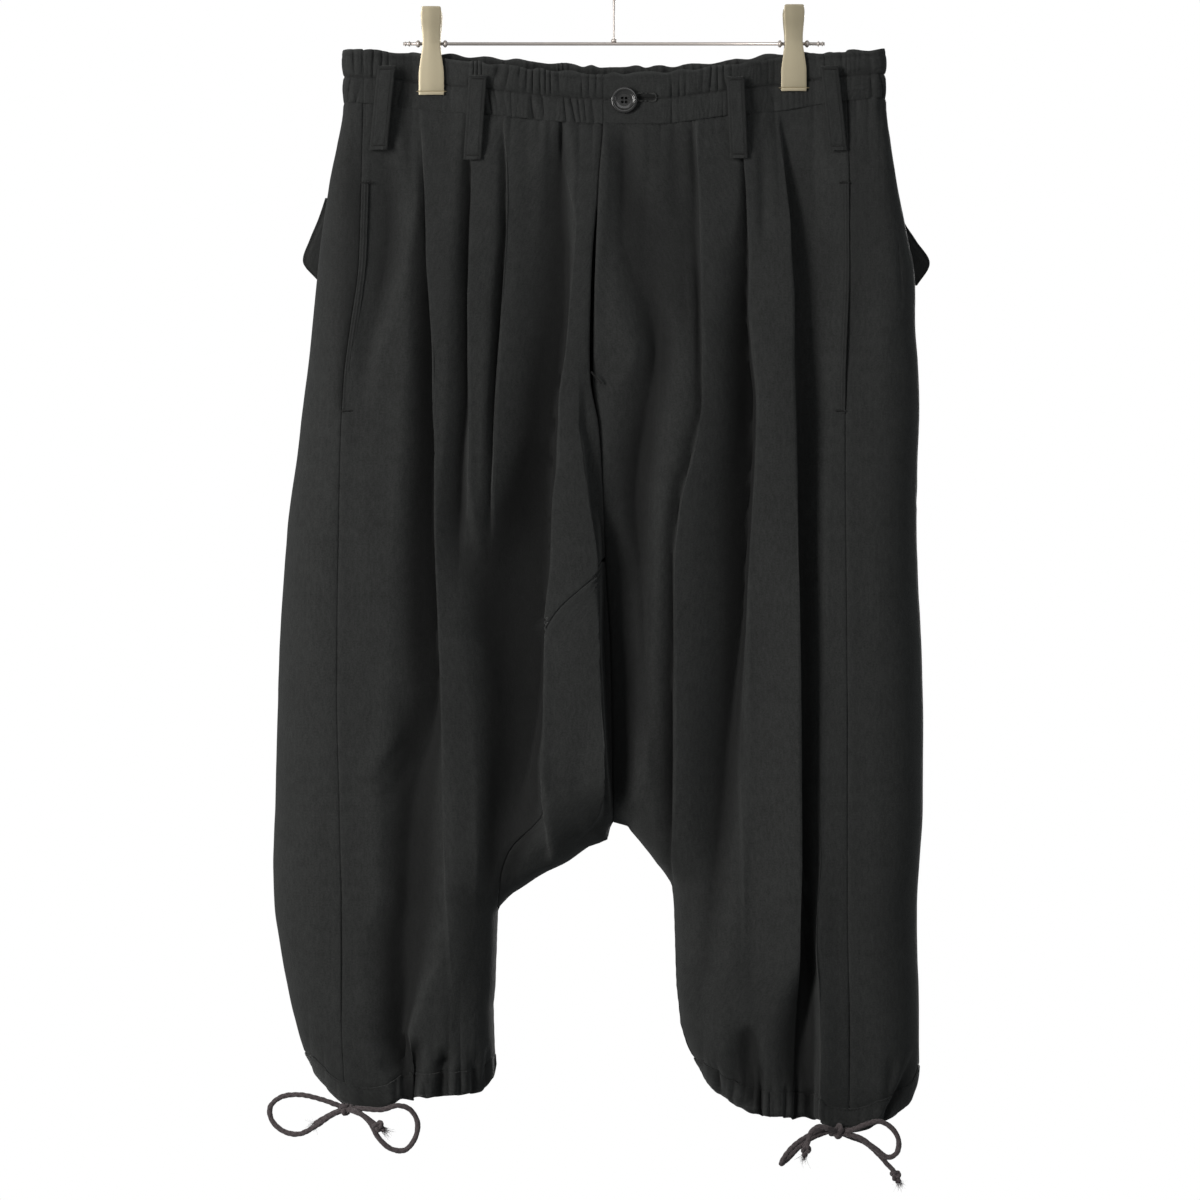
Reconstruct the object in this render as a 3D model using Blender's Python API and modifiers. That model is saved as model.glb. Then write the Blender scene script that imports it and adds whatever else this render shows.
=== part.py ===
"""Harem pants on a clip hanger: part model.

The trousers hang flat from two clips. Metres, +Z up, front faces -Y, origin
at the inner top of the hanger's hook. Each cloth piece is a wall lofted from
horizontal sections: a section runs across the front, round the side edge and
across the back, and the pressed pleats are worked out from the fold tables.
Tables are in millimetres; "drop" is the way down from the waist's top edge and
x runs to the right as seen from the front.
"""
import math
from collections import namedtuple

import bmesh
import bpy
import numpy as np
from mathutils import Matrix, Vector

MM = 0.001

# ---- Driving sizes
WALL = 0.0013            # cloth, folded double at its edges
SEAM_GAP = 0.0004        # between the middles of two edges at a seam
CLEAR = 0.0003           # between pieces that lie on each other
ROD_DROP = 0.090         # hook's inner top down to the rod
WAIST_DROP = 0.0945      # hook's inner top down to the waist's top edge
HEM_HEIGHT = 0.0185      # drawcord casing at the leg's end
HEM_GAP = 0.0014         # a gathered edge needs more room
RUFFLE_HEIGHT = 0.0015
CHANNEL_SWELL = 0.0014   # each elastic channel stands out at its middle
CLIP_X = (-0.1345, 0.1355)
CLIP_PINCH = 0.30        # share of the waist's depth left under a clip
CORD = 0.0040
BUTTON_X, BUTTON_DROP, BUTTON_SIZE = 0.0075, 0.0378, 0.0180

# ---- Tables
Outline = namedtuple("Outline", "drop left right")
Edge = namedtuple("Edge", "drop x")
Depth = namedtuple("Depth", "drop half edge")
WaistEdge = namedtuple("WaistEdge", "x front_top back_top lower")
HemEdge = namedtuple("HemEdge", "x drop")
Crest = namedtuple("Crest", "drop x height lean")
Fold = namedtuple("Fold", "name side steep soft line")
Loop = namedtuple("Loop", "name top_x bottom_x top bottom width front")
Route = namedtuple("Route", "x y z")

OUTLINE = (
    Outline(0, -199.5, 199), Outline(40, -198.5, 200), Outline(69.5, -203.5, 204),
    Outline(99, -209.5, 208.5), Outline(136, -215, 215.5), Outline(172.5, -219, 221.5),
    Outline(202, -222, 221.5), Outline(231.5, -225, 223.5), Outline(261.5, -229, 224.5),
    Outline(305.5, -234, 223.5), Outline(350, -240, 223), Outline(394, -243, 224.5),
    Outline(438.5, -246, 226.5), Outline(497.5, -248, 227.5), Outline(556.5, -249.5, 227.5),
    Outline(600.5, -251, 225), Outline(630.5, -250, 223.5), Outline(660, -246, 223.5),
    Outline(689.5, -240.5, 224.5), Outline(719, -234, 225), Outline(733.5, -229.5, 225),
    Outline(748.5, -223.5, 224.5), Outline(763, -216.5, 222), Outline(778, -209.5, 217),
    Outline(795.5, -203.5, 207.5),
)
OUTSEAM = (
    Outline(0, -184, 171), Outline(56, -184.5, 172), Outline(98, -185, 172.5),
    Outline(159.5, -186.5, 172.5), Outline(206.5, -192.5, 170.5), Outline(244.5, -197, 169),
    Outline(302, -199.5, 168.5), Outline(470, -201.5, 169.5), Outline(556.5, -199.5, 169.5),
    Outline(632.5, -198, 169.5), Outline(701, -198, 170.5), Outline(758.5, -196, 171),
    Outline(800, -192, 172),
)
# Centre front: the fly's edge, then the seam that lies in the hollow beside the gusset.
CENTRE = (
    Edge(0, -7.5), Edge(56, -8), Edge(96, -11), Edge(205, -15), Edge(244.5, -15.5),
    Edge(282.5, -10.5), Edge(332, -8), Edge(388, -6), Edge(435.5, -3), Edge(509, -1.5),
    Edge(569.5, -0.5), Edge(600, -0.5),
)
# The crotch arch runs up one inner leg and down the other.
LEFT_ARCH = (
    Edge(569.5, -0.5), Edge(572, -2.5), Edge(583, -5), Edge(588, -20), Edge(596.5, -31.5),
    Edge(600.5, -38.5), Edge(606.5, -51.5), Edge(615, -64), Edge(622, -75.5), Edge(633, -86),
    Edge(660, -87), Edge(689.5, -88), Edge(704, -89.5), Edge(733.5, -88.5), Edge(748.5, -87.5),
    Edge(763, -90), Edge(778, -96), Edge(800, -101.5),
)
RIGHT_ARCH = (
    Edge(569.5, -0.5), Edge(571.5, 10), Edge(575.5, 12.5), Edge(586.5, 22), Edge(598.5, 31.5),
    Edge(608, 39), Edge(615.5, 43.5), Edge(630.5, 45), Edge(660, 46), Edge(689.5, 47),
    Edge(704, 48.5), Edge(719, 50), Edge(733.5, 54.5), Edge(748.5, 62), Edge(763, 70),
    Edge(778, 77.5), Edge(800, 86),
)
# On the cloth before the folds carry it sideways: beside the gusset fold's outer crest.
GUSSET_SEAM = (
    Edge(378, -10.2), Edge(386, -14), Edge(394, -20), Edge(402, -26), Edge(410, -31),
    Edge(422, -36), Edge(437, -38.5), Edge(509, -39.5), Edge(551.5, -40), Edge(561.5, -41.5),
    Edge(571.5, -48), Edge(581.5, -60), Edge(598, -76), Edge(616, -83), Edge(633, -86.5),
)
# Half the garment's depth away from its edges, and the reach of the edge's round.
DEPTH = (
    Depth(0, 9, 9), Depth(40, 10, 11), Depth(75, 13, 15), Depth(120, 19, 24),
    Depth(200, 26, 34), Depth(300, 31, 42), Depth(420, 35, 48), Depth(540, 38, 50),
    Depth(640, 40, 50), Depth(720, 38, 46), Depth(762, 33, 36), Depth(778, 27, 28),
    Depth(800, 24, 24),
)
WAIST = (
    WaistEdge(-199.5, 1.5, 0.5, 39), WaistEdge(-172.5, 2, 1.5, 42), WaistEdge(-136, 3.5, 3, 45),
    WaistEdge(-84, 10.5, 7.5, 50), WaistEdge(-40, 15.5, 12, 54.5), WaistEdge(-10.5, 18.5, 14, 56),
    WaistEdge(31, 17, 13.5, 56), WaistEdge(82, 9, 8, 50), WaistEdge(119.5, 5, 5, 46),
    WaistEdge(153.5, 3, 2.5, 40.5), WaistEdge(185, 1.5, 0.5, 37.5), WaistEdge(199.5, 0.5, 0.5, 36),
)
LEFT_HEM = (
    HemEdge(-218, 767), HemEdge(-212, 773), HemEdge(-201.5, 783), HemEdge(-176.5, 784.5),
    HemEdge(-162.5, 779), HemEdge(-135, 774), HemEdge(-116.5, 771), HemEdge(-98, 768.5),
    HemEdge(-88, 763),
)
RIGHT_HEM = (
    HemEdge(56, 761.5), HemEdge(66, 764.5), HemEdge(76, 770.5), HemEdge(94.5, 781.5), HemEdge(105.5, 785),
    HemEdge(133, 789), HemEdge(151.5, 790.5), HemEdge(172.5, 795), HemEdge(191, 795),
    HemEdge(202, 790), HemEdge(216, 781.5), HemEdge(223.5, 770),
)
# Folds: side -1 or 1 is the way the sharp edge faces; steep and soft are the widths of its
# two flanks; a crest's height is forward, negative for a hollow, and lean is the overhang.
LEFT_FOLDS = (
    Fold("outer pleat", -1, 5, 26, (
        Crest(46, -131, 2, 1), Crest(85, -140, 4, 5), Crest(147.5, -138, 9, 8),
        Crest(258.5, -134.5, 14, 9), Crest(361.5, -131.5, 15, 9), Crest(479.5, -127.5, 14, 7),
        Crest(553.5, -121, 11, 4), Crest(612.5, -117.5, 6, 1), Crest(671.5, -115, 1, 0),
        Crest(770, -120, 0, 0),
    )),
    Fold("second pleat", -1, 4, 22, (
        Crest(46, -105, 2, 1), Crest(96, -108, 4, 3), Crest(147.5, -108.5, 6, 4),
        Crest(206.5, -108.5, 8, 5), Crest(273, -108.5, 8, 4), Crest(339.5, -108.5, 5, 2),
        Crest(391, -107, 3, 0), Crest(520, -103, 4, 0), Crest(610, -97, 3, 0), Crest(770, -104, 0, 0),
    )),
    Fold("third pleat", -1, 4, 32, (
        Crest(50, -80, 2, 1), Crest(96, -81, 4, 3), Crest(147.5, -82, 7, 5),
        Crest(206.5, -85, 9, 6), Crest(273, -88, 8, 5), Crest(332, -89.5, 5, 2),
        Crest(384, -90, 2, 0), Crest(520, -86, 0, 0), Crest(770, -97, 0, 0),
    )),
    Fold("gusset fold, outer edge", -1, 5, 36, (
        Crest(56, -36, 0, 0), Crest(169.5, -32, 1, 0), Crest(214, -34.5, 5, 3),
        Crest(263.5, -37.5, 9, 6), Crest(324.5, -43, 12, 8), Crest(376.5, -47, 14, 8),
        Crest(435.5, -51.5, 15, 8), Crest(509, -52.5, 16, 8), Crest(545, -52, 14, 7),
        Crest(563, -50, 10, 4), Crest(577, -48, 4, 0), Crest(592, -44, 0, 0), Crest(770, -94, 0, 0),
    )),
    Fold("gusset fold, centre edge", 1, 5, 36, (
        Crest(56, -18, 0, 0), Crest(258.5, -20, 1, 0), Crest(288, -14.5, 4, 1),
        Crest(339.5, -12, 8, 4), Crest(387.5, -10.5, 11, 5), Crest(435.5, -9, 14, 6),
        Crest(509, -7.5, 15, 7), Crest(575, -6.5, 13, 6), Crest(590, -26, 2, 0),
        Crest(770, -90, 0, 0),
    )),
    Fold("hollow beside the outer pleat", 0, 15, 16, (
        Crest(74, -142, 0, 0), Crest(147.5, -147, -5, 0), Crest(258.5, -147, -8, 0),
        Crest(361.5, -146, -8, 0), Crest(479.5, -152, -7, 0), Crest(598, -159.5, -7, 0),
        Crest(701, -169, -5, 0), Crest(758, -171, -1, 0),
    )),
    Fold("hollow beside the fly", 0, 16, 16, (
        Crest(48, -38.5, 0, 0), Crest(96, -40, -3, 0), Crest(147.5, -43, -5, 0),
        Crest(206.5, -50, -7, 0), Crest(273, -57.5, -7, 0), Crest(339.5, -70, -4, 0),
        Crest(391, -78, 0, 0), Crest(770, -90, 0, 0),
    )),
    Fold("crotch hollow", 0, 24, 22, (
        Crest(273, -69.5, 0, 0), Crest(339.5, -74, -6, 0), Crest(406, -77, -9, 0),
        Crest(494.5, -78, -11, 0), Crest(553.5, -79, -9, 0), Crest(605, -82, -3, 0),
        Crest(638.5, -84, 0, 0), Crest(770, -84, 0, 0),
    )),
)
RIGHT_FOLDS = (
    Fold("inner pleat", -1, 4, 30, (
        Crest(59, 65.5, 2, 1), Crest(96, 64, 4, 3), Crest(151.5, 65, 7, 5),
        Crest(206.5, 65, 9, 6), Crest(258.5, 63.5, 10, 6), Crest(302.5, 58.5, 12, 7),
        Crest(336, 52, 13, 7), Crest(376.5, 48.5, 14, 8), Crest(435.5, 47, 14, 8),
        Crest(519, 46, 13, 6), Crest(585, 46.5, 8, 2), Crest(640, 52, 2, 0), Crest(770, 82, 0, 0),
    )),
    Fold("fourth pleat, inner edge", -1, 4, 30, (
        Crest(48, 97.5, 2, 1), Crest(85, 98, 4, 3), Crest(151.5, 99, 8, 5),
        Crest(221.5, 100.5, 11, 6), Crest(258.5, 102.5, 13, 7), Crest(292, 102, 13, 6),
        Crest(339.5, 100.5, 12, 4), Crest(396.5, 97, 10, 1), Crest(472.5, 95, 10, 0),
        Crest(598, 97, 10, 0), Crest(689.5, 97, 8, 0), Crest(770, 103, 2, 0),
    )),
    Fold("fourth pleat, outer edge", 1, 5, 30, (
        Crest(48, 127, 2, 1), Crest(81, 128.5, 4, 3), Crest(114.5, 130.5, 6, 4),
        Crest(170, 131.5, 9, 5), Crest(225, 133, 12, 6), Crest(302.5, 135, 14, 7),
        Crest(415.5, 136.5, 15, 8), Crest(519, 138, 16, 9), Crest(595, 138, 16, 9),
        Crest(689.5, 136.5, 14, 8), Crest(738, 134.5, 9, 4), Crest(770, 133, 3, 1),
    )),
    Fold("hollow beside the placket", 0, 14, 14, (
        Crest(52, 13.5, 0, 0), Crest(96, 13.5, -2, 0), Crest(147.5, 19, -3, 0),
        Crest(206.5, 32.5, -5, 0), Crest(258.5, 29, -6, 0), Crest(317.5, 17.5, -4, 0),
        Crest(376.5, 16, -3, 0), Crest(509, 17.5, -2, 0), Crest(590, 19, 0, 0),
    )),
    Fold("hollow beside the inner pleat", 0, 15, 15, (
        Crest(96, 88, 0, 0), Crest(151.5, 89, -3, 0), Crest(206.5, 92.5, -5, 0),
        Crest(263.5, 92, -7, 0), Crest(339.5, 89, -8, 0), Crest(406, 85, -9, 0),
        Crest(472.5, 80, -9, 0), Crest(553.5, 73, -7, 0), Crest(612.5, 68, -6, 0),
        Crest(671.5, 62, -3, 0), Crest(730.5, 64, 0, 0),
    )),
    Fold("hollow beside the fourth pleat", 0, 10, 12, (
        Crest(96, 142, 0, 0), Crest(170, 145, -3, 0), Crest(258.5, 148, -4, 0),
        Crest(361.5, 147.5, -6, 0), Crest(435.5, 147.5, -8, 0), Crest(524, 148, -9, 0),
        Crest(627.5, 147.5, -9, 0), Crest(716, 146.5, -7, 0), Crest(766, 146, -2, 0),
    )),
)
# The side panels and the back: crests stand out of the panel on its own side.
LEFT_BACK_FOLDS = (
    Fold("back ridge by the side", 0, 20, 26, (
        Crest(50, -160, 1, 0), Crest(200, -168, 6, 0), Crest(400, -176, 9, 0),
        Crest(600, -178, 7, 0), Crest(770, -172, 0, 0),
    )),
    Fold("back hollow by the side", 0, 18, 18, (
        Crest(60, -132, 0, 0), Crest(220, -137, -5, 0), Crest(420, -141, -7, 0),
        Crest(640, -146, -5, 0), Crest(770, -150, 0, 0),
    )),
    Fold("back middle ridge", 0, 14, 24, (
        Crest(50, -96, 2, 0), Crest(200, -103, 7, 0), Crest(400, -110, 10, 0),
        Crest(560, -116, 8, 0), Crest(700, -122, 3, 0), Crest(770, -125, 0, 0),
    )),
    Fold("back inner ridge", 0, 16, 20, (
        Crest(54, -45, 2, 0), Crest(180, -48, 6, 0), Crest(330, -56, 8, 0),
        Crest(480, -66, 6, 0), Crest(580, -74, 2, 0), Crest(770, -100, 0, 0),
    )),
)
RIGHT_BACK_FOLDS = (
    Fold("back ridge by the side", 0, 24, 20, (
        Crest(50, 158, 1, 0), Crest(180, 165, 6, 0), Crest(380, 168, 8, 0),
        Crest(590, 172, 8, 0), Crest(770, 176, 0, 0),
    )),
    Fold("back hollow by the side", 0, 18, 18, (
        Crest(60, 128, 0, 0), Crest(240, 134, -5, 0), Crest(440, 137, -6, 0),
        Crest(660, 143, -5, 0), Crest(770, 146, 0, 0),
    )),
    Fold("back middle ridge", 0, 26, 15, (
        Crest(50, 98, 2, 0), Crest(190, 101, 8, 0), Crest(390, 104, 9, 0),
        Crest(570, 108, 8, 0), Crest(700, 112, 3, 0), Crest(770, 118, 0, 0),
    )),
    Fold("back inner ridge", 0, 20, 16, (
        Crest(54, 42, 2, 0), Crest(170, 44, 5, 0), Crest(320, 50, 7, 0),
        Crest(480, 56, 6, 0), Crest(580, 62, 2, 0), Crest(770, 92, 0, 0),
    )),
)
LEFT_FLAP = (Edge(107, -214), Edge(130, -221), Edge(152, -229), Edge(158, -227.5), Edge(168, -219))
RIGHT_FLAP = (Edge(106, 208.5), Edge(129, 215.5), Edge(153, 231), Edge(160, 231.5), Edge(171, 222.5))
FLAP_INNER = 82          # the flap's inner end, from the centre back
LOOPS = (
    Loop("belt_loop_front_1", -167, -173, 14, 75.5, 12.5, True),
    Loop("belt_loop_front_2", -100, -104, 18, 83, 12.5, True),
    Loop("belt_loop_front_3", 89, 91.5, 22, 82, 12.5, True),
    Loop("belt_loop_front_4", 158, 164.5, 14, 76, 12.5, True),
    Loop("belt_loop_back_1", -118, -119, 14, 72, 12.5, False),
    Loop("belt_loop_back_2", -3, -3, 22, 84, 12.5, False),
    Loop("belt_loop_back_3", 118, 119, 14, 72, 12.5, False),
)
# Bow cords: a loop leaves the knot and comes back to it, a tail leaves it and ends free.
# A route's ends at a knot are worked out from the knot.
CordRun = namedtuple("CordRun", "name knot loop route")
CORDS = (
    CordRun("cord_left_loop_outer", "bow_knot_left", True, (
        Route(-212, -27.5, -867), Route(-234, -27, -865.5), Route(-250, -26, -872),
        Route(-252, -26, -882), Route(-240, -27, -893), Route(-226, -28, -892), Route(-213, -29, -884),
    )),
    CordRun("cord_left_loop_inner", "bow_knot_left", True, (
        Route(-180, -31.5, -871.5), Route(-164, -33, -873.5), Route(-150, -31, -883),
        Route(-144.5, -29, -896), Route(-150, -29, -905.5), Route(-161, -30, -904.5),
        Route(-175, -31, -892.5), Route(-186, -29.5, -884.5),
    )),
    CordRun("cord_left_tail_outer", "bow_knot_left", False, (
        Route(-203, -24.5, -887), Route(-212, -23, -889), Route(-220, -22.5, -887), Route(-226, -23, -882),
    )),
    CordRun("cord_left_tail_inner", "bow_knot_left", False, (
        Route(-187, -37, -878.5), Route(-181, -37, -881), Route(-175.9, -36.3, -884.6),
    )),
    CordRun("cord_right_loop_inner", "bow_knot_right", True, (
        Route(148, -29, -895.5), Route(134, -32, -904), Route(123.5, -31, -914), Route(120.5, -26, -919),
        Route(124.5, -21, -915), Route(137, -18, -903.5), Route(152, -16.5, -892.8),
    )),
    CordRun("cord_right_loop_outer", "bow_knot_right", True, (
        Route(181, -31, -886), Route(196, -30.5, -888), Route(207.5, -29, -896.5),
        Route(210.5, -28, -906), Route(204.5, -28, -911.5), Route(193, -28.5, -908), Route(178, -29.5, -900),
    )),
    CordRun("cord_right_tail_inner", "bow_knot_right", False, (
        Route(155.5, -37, -890.5), Route(149, -38.5, -891), Route(144.7, -38.5, -896),
        Route(143.6, -38.5, -901.2),
    )),
    CordRun("cord_right_tail_outer", "bow_knot_right", False, (
        Route(172.5, -20.5, -899), Route(182, -19.5, -902), Route(191, -19.5, -907),
        Route(200, -20, -914), Route(207.9, -20, -922.2),
    )),
)
Knot = namedtuple("Knot", "name x y z across tall")
KNOTS = (
    Knot("bow_knot_left", -196, -27.6, -878, 11, 10),
    Knot("bow_knot_right", 164, -28.5, -892, 12, 10),
    Knot("end_knot_left_inner", -173, -36, -887, 6.5, 6.5),
    Knot("end_knot_right_inner", 143.5, -38.5, -905, 6.5, 6.5),
    Knot("end_knot_right_outer", 208.5, -20, -926, 6.5, 6.5),
)
KNOT_DEPTH = 0.8         # a knot's front-to-back size, of its width
ClipRow = namedtuple("ClipRow", "z out width")
CLIP_ROWS = (
    ClipRow(-63.8, 9.4, 15), ClipRow(-72, 8.0, 15), ClipRow(-84, 5.5, 13), ClipRow(-91.5, 5.0, 12.6),
    ClipRow(-100, 5.0, 14.6), ClipRow(-112, 5.2, 18.6), ClipRow(-121, 5.2, 19.5),
    ClipRow(-125, 4.8, 19.6), ClipRow(-128.4, 5.6, 19.6),
)

# ---- How finely the sections are cut
Band = namedtuple("Band", "start stop rows")
LEFT_BANDS = (
    Band(56, 260, 5), Band(260, 378, 3), Band(378, 410, 4), Band(410, 437, 2),
    Band(437, 551.5, 3), Band(551.5, 631, 8), Band(631, 748, 3), Band(748, 770, 1),
)
LEFT_BACK_BANDS = (
    Band(56, 260, 5), Band(260, 378, 3), Band(378, 437, 1), Band(437, 551.5, 2),
    Band(551.5, 631, 8), Band(631, 748, 3), Band(748, 770, 1),
)
RIGHT_BANDS = (
    Band(56, 260, 5), Band(260, 437, 4), Band(437, 569.5, 3), Band(569.5, 587, 2),
    Band(587, 630.5, 3), Band(630.5, 748, 3), Band(748, 770, 1),
)
GUSSET_TOP, GUSSET_END = 0.378, 0.631
GUSSET_GAP = 0.0008      # its slanting seam needs more room
LEFT_COLUMNS = (5, 5, 4, 5, 5, 3)
RIGHT_COLUMNS = (4, 5, 5, 8)
FINE = 500               # points of a section before its columns are chosen
CREST_ZONE = 0.006       # columns gather this near a sharp crest
ARCH_ROUND = 0.060       # how far in the crotch arch's round reaches
SPAN_MARGIN = 0.005      # least width of a span between two crests


def column(table, name):
    """One column of a table, in metres."""
    return np.array([getattr(row, name) for row in table]) * MM


def flow(keys, values, at):
    """A curve through the values with no overshoot, read at the places given."""
    step = np.diff(keys)
    slope = np.diff(values) / step
    tangent = np.empty(len(values))
    tangent[0], tangent[-1] = slope[0], slope[-1]
    product = slope[:-1] * slope[1:]
    total = np.where(product > 0, slope[:-1] + slope[1:], 1.0)
    tangent[1:-1] = np.where(product > 0, 2 * product / total, 0.0)
    at = np.clip(at, keys[0], keys[-1])
    i = np.clip(np.searchsorted(keys, at, side="right") - 1, 0, len(keys) - 2)
    t = (at - keys[i]) / step[i]
    rise = (3 - 2 * t) * t * t
    start = t * (1 - t) ** 2 * step[i] * tangent[i]
    end = t * t * (1 - t) * step[i] * tangent[i + 1]
    return values[i] + rise * (values[i + 1] - values[i]) + start - end


def read(table, name, at, key="drop"):
    return flow(column(table, key), column(table, name), at)


def ease(value, start, stop):
    t = np.clip((value - start) / (stop - start), 0, 1)
    return t * t * (3 - 2 * t)


def rounded(share):
    """Quarter round from 0 at the edge to 1 inside."""
    share = np.clip(share, 0, 1)
    return np.sqrt(share * (2 - share))


# ---- The garment's form
ARCH = np.array([(row.x, row.drop) for row in reversed(LEFT_ARCH)]
                + [(row.x, row.drop) for row in RIGHT_ARCH[1:]]) * MM


def arch_distance(x, drop):
    """Distance in the flat from the crotch arch and the inner legs."""
    point = np.stack(np.broadcast_arrays(x, drop), -1)[..., None, :]
    start, along = ARCH[:-1], np.diff(ARCH, axis=0)
    t = np.clip(((point - start) * along).sum(-1) / (along ** 2).sum(-1), 0, 1)
    return np.linalg.norm(point - start - t[..., None] * along, axis=-1).min(-1)


def clip_share(x):
    return np.clip(1.35 * sum(np.exp(-((x - clip) / 0.026) ** 2) for clip in CLIP_X), 0, 1)


def half_depth(x, drop):
    """Half the front-to-back depth of the plain form."""
    side = np.minimum(x - read(OUTLINE, "left", drop), read(OUTLINE, "right", drop) - x)
    half = read(DEPTH, "half", drop) * rounded(side / read(DEPTH, "edge", drop))
    pinch = (1 - CLIP_PINCH) * clip_share(x) * (1 - ease(drop, 0.02, 0.17))
    return half * (1 - pinch) * rounded(arch_distance(x, drop) / ARCH_ROUND)


def crest_base(fold, drop):
    """Where a fold's crest lies before its lean carries it sideways."""
    return read(fold.line, "x", drop) - fold.side * read(fold.line, "lean", drop)


def fold_shift(folds, x, drop):
    """Sideways and outward shift that the folds give the points."""
    side, out = np.zeros_like(x), np.zeros_like(x)
    for fold in folds:
        left, right = (fold.soft, fold.steep) if fold.side > 0 else (fold.steep, fold.soft)
        t = x - crest_base(fold, drop)
        u = np.clip(np.abs(t) / (np.where(t < 0, left, right) * MM), 0, 1)
        shape = 0.5 * (1 + np.cos(math.pi * u))
        if fold.side:
            shape = np.where(t * fold.side < 0, 0.65 * shape + 0.35 * (1 - u) ** 2, shape)
        out += read(fold.line, "height", drop) * shape
        side += fold.side * read(fold.line, "lean", drop) * shape ** 2
    return side, out


def surface(x, drop, folds, facing):
    """Points on the wall's middle; facing is -1 on the front and 1 on the back."""
    side, out = fold_shift(folds, x, drop)
    arch = arch_distance(x, drop)
    calm = rounded(arch / 0.015)
    seam = SEAM_GAP * (1 - ease(arch, 0, 0.010))
    y = facing * (half_depth(x, drop) + calm * out + seam)
    return np.stack([x + calm * side, y, -WAIST_DROP - drop], -1)


def front_folds(x):
    return LEFT_FOLDS if x < CENTRE[-1].x * MM else RIGHT_FOLDS


def back_folds(x):
    return LEFT_BACK_FOLDS if x < 0 else RIGHT_BACK_FOLDS


def outward(x, drop, facing, window=0.009):
    """How far out the dressed cloth reaches around a point, to lay a piece on it."""
    near = np.linspace(x - 2 * window, x + 2 * window, 41)
    if drop < read(WAIST, "lower", x, "x") + SEAM_GAP:
        return half_depth(near, drop).max() + CHANNEL_SWELL + RUFFLE_HEIGHT
    folds = front_folds(x) if facing < 0 else back_folds(x)
    points = surface(near, np.full_like(near, drop), folds, facing)
    close = np.abs(points[:, 0] - x) < window
    return (points[close, 1] * facing).max()


# ---- Making meshes
def new_object(name, mesh, material, collection):
    item = bpy.data.objects.new(name, mesh)
    item.data.materials.append(material)
    collection.objects.link(item)
    return item


def grid_mesh(name, rows, closed=False):
    """A sheet lofted through rows of points, each with the same columns."""
    build = bmesh.new()
    verts = [[build.verts.new(point) for point in row] for row in rows]
    across = len(rows[0]) if closed else len(rows[0]) - 1
    for upper, lower in zip(verts, verts[1:]):
        for j in range(across):
            k = (j + 1) % len(upper)
            build.faces.new((upper[j], lower[j], lower[k], upper[k]))
    mesh = bpy.data.meshes.new(name)
    build.to_mesh(mesh)
    build.free()
    mesh.shade_smooth()
    return mesh


def cloth(name, rows, material, collection, thickness=WALL, closed=False, gathered=False):
    item = new_object(name, grid_mesh(name, rows, closed), material, collection)
    if gathered:
        item.data.shade_flat()
    wall = item.modifiers.new("wall", "SOLIDIFY")
    wall.thickness = thickness
    wall.offset = 0
    return item


def spread(points, weight, count):
    """Indices that cut a fine line into equal weighted lengths."""
    length = np.linalg.norm(np.diff(points, axis=0), axis=1)
    total = np.concatenate([[0], np.cumsum(length * 0.5 * (weight[1:] + weight[:-1]))])
    return np.interp(np.linspace(0, total[-1], count + 1), total, np.arange(len(points)))


def pick(points, places):
    low = np.clip(np.floor(places).astype(int), 0, len(points) - 2)
    t = (places - low)[:, None]
    return points[low] * (1 - t) + points[low + 1] * t


def levels(bands):
    stops = [np.linspace(band.start, band.stop, band.rows, endpoint=False) for band in bands]
    return np.concatenate(stops + [[bands[-1].stop]]) * MM


def row_drop(level, x, hem):
    """Drop of a row at x: level in the middle, following the waist above and the hem below."""
    top = read(WAIST, "lower", x, "x") + SEAM_GAP
    bottom = read(hem, "drop", x, "x") - HEM_HEIGHT - HEM_GAP
    above = (top - 0.056) * (1 - ease(level, 0.056, 0.20))
    return level + above + (bottom - 0.770) * ease(level, 0.68, 0.770)


def settle(level, hem, edge):
    """An edge's x on a row whose drop itself changes with x."""
    drop = level
    for _ in range(6):
        drop = row_drop(level, edge(drop), hem)
    return edge(drop)


def front_panel(name, folds, hem, outer, inner, bands, columns, material, collection):
    """Rows from the outseam to the centre, with columns kept on every sharp crest."""
    sharp = [fold for fold in folds if fold.side]
    rows = []
    for level in levels(bands):
        start, stop = settle(level, hem, outer), settle(level, hem, inner)
        toward = 1 if stop > start else -1
        crests = [settle(level, hem, lambda drop, fold=fold: crest_base(fold, drop)) for fold in sharp]
        crests.sort(key=lambda place: place * toward)
        stops, left = [start], len(crests)
        for place in crests:
            stops.append(min(place * toward, stop * toward - left * SPAN_MARGIN) * toward)
            left -= 1
        stops.append(stop)
        row = []
        for number, (a, b) in enumerate(zip(stops, stops[1:])):
            last = number == len(columns) - 1
            t = np.linspace(0, 1, FINE)
            x = a + (b - a) * (np.sin(t * math.pi / 2) if last else t)
            drop = row_drop(level, x, hem)
            points = surface(x, drop, folds, -1)
            weight = 1 + 3 * sum(np.exp(-((x - place) / CREST_ZONE) ** 2) for place in stops[1:-1])
            chosen = pick(points, spread(points, weight, columns[number]))
            row.extend(chosen if last else chosen[:-1])
        rows.append(row)
    return cloth(name, rows, material, collection)


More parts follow.
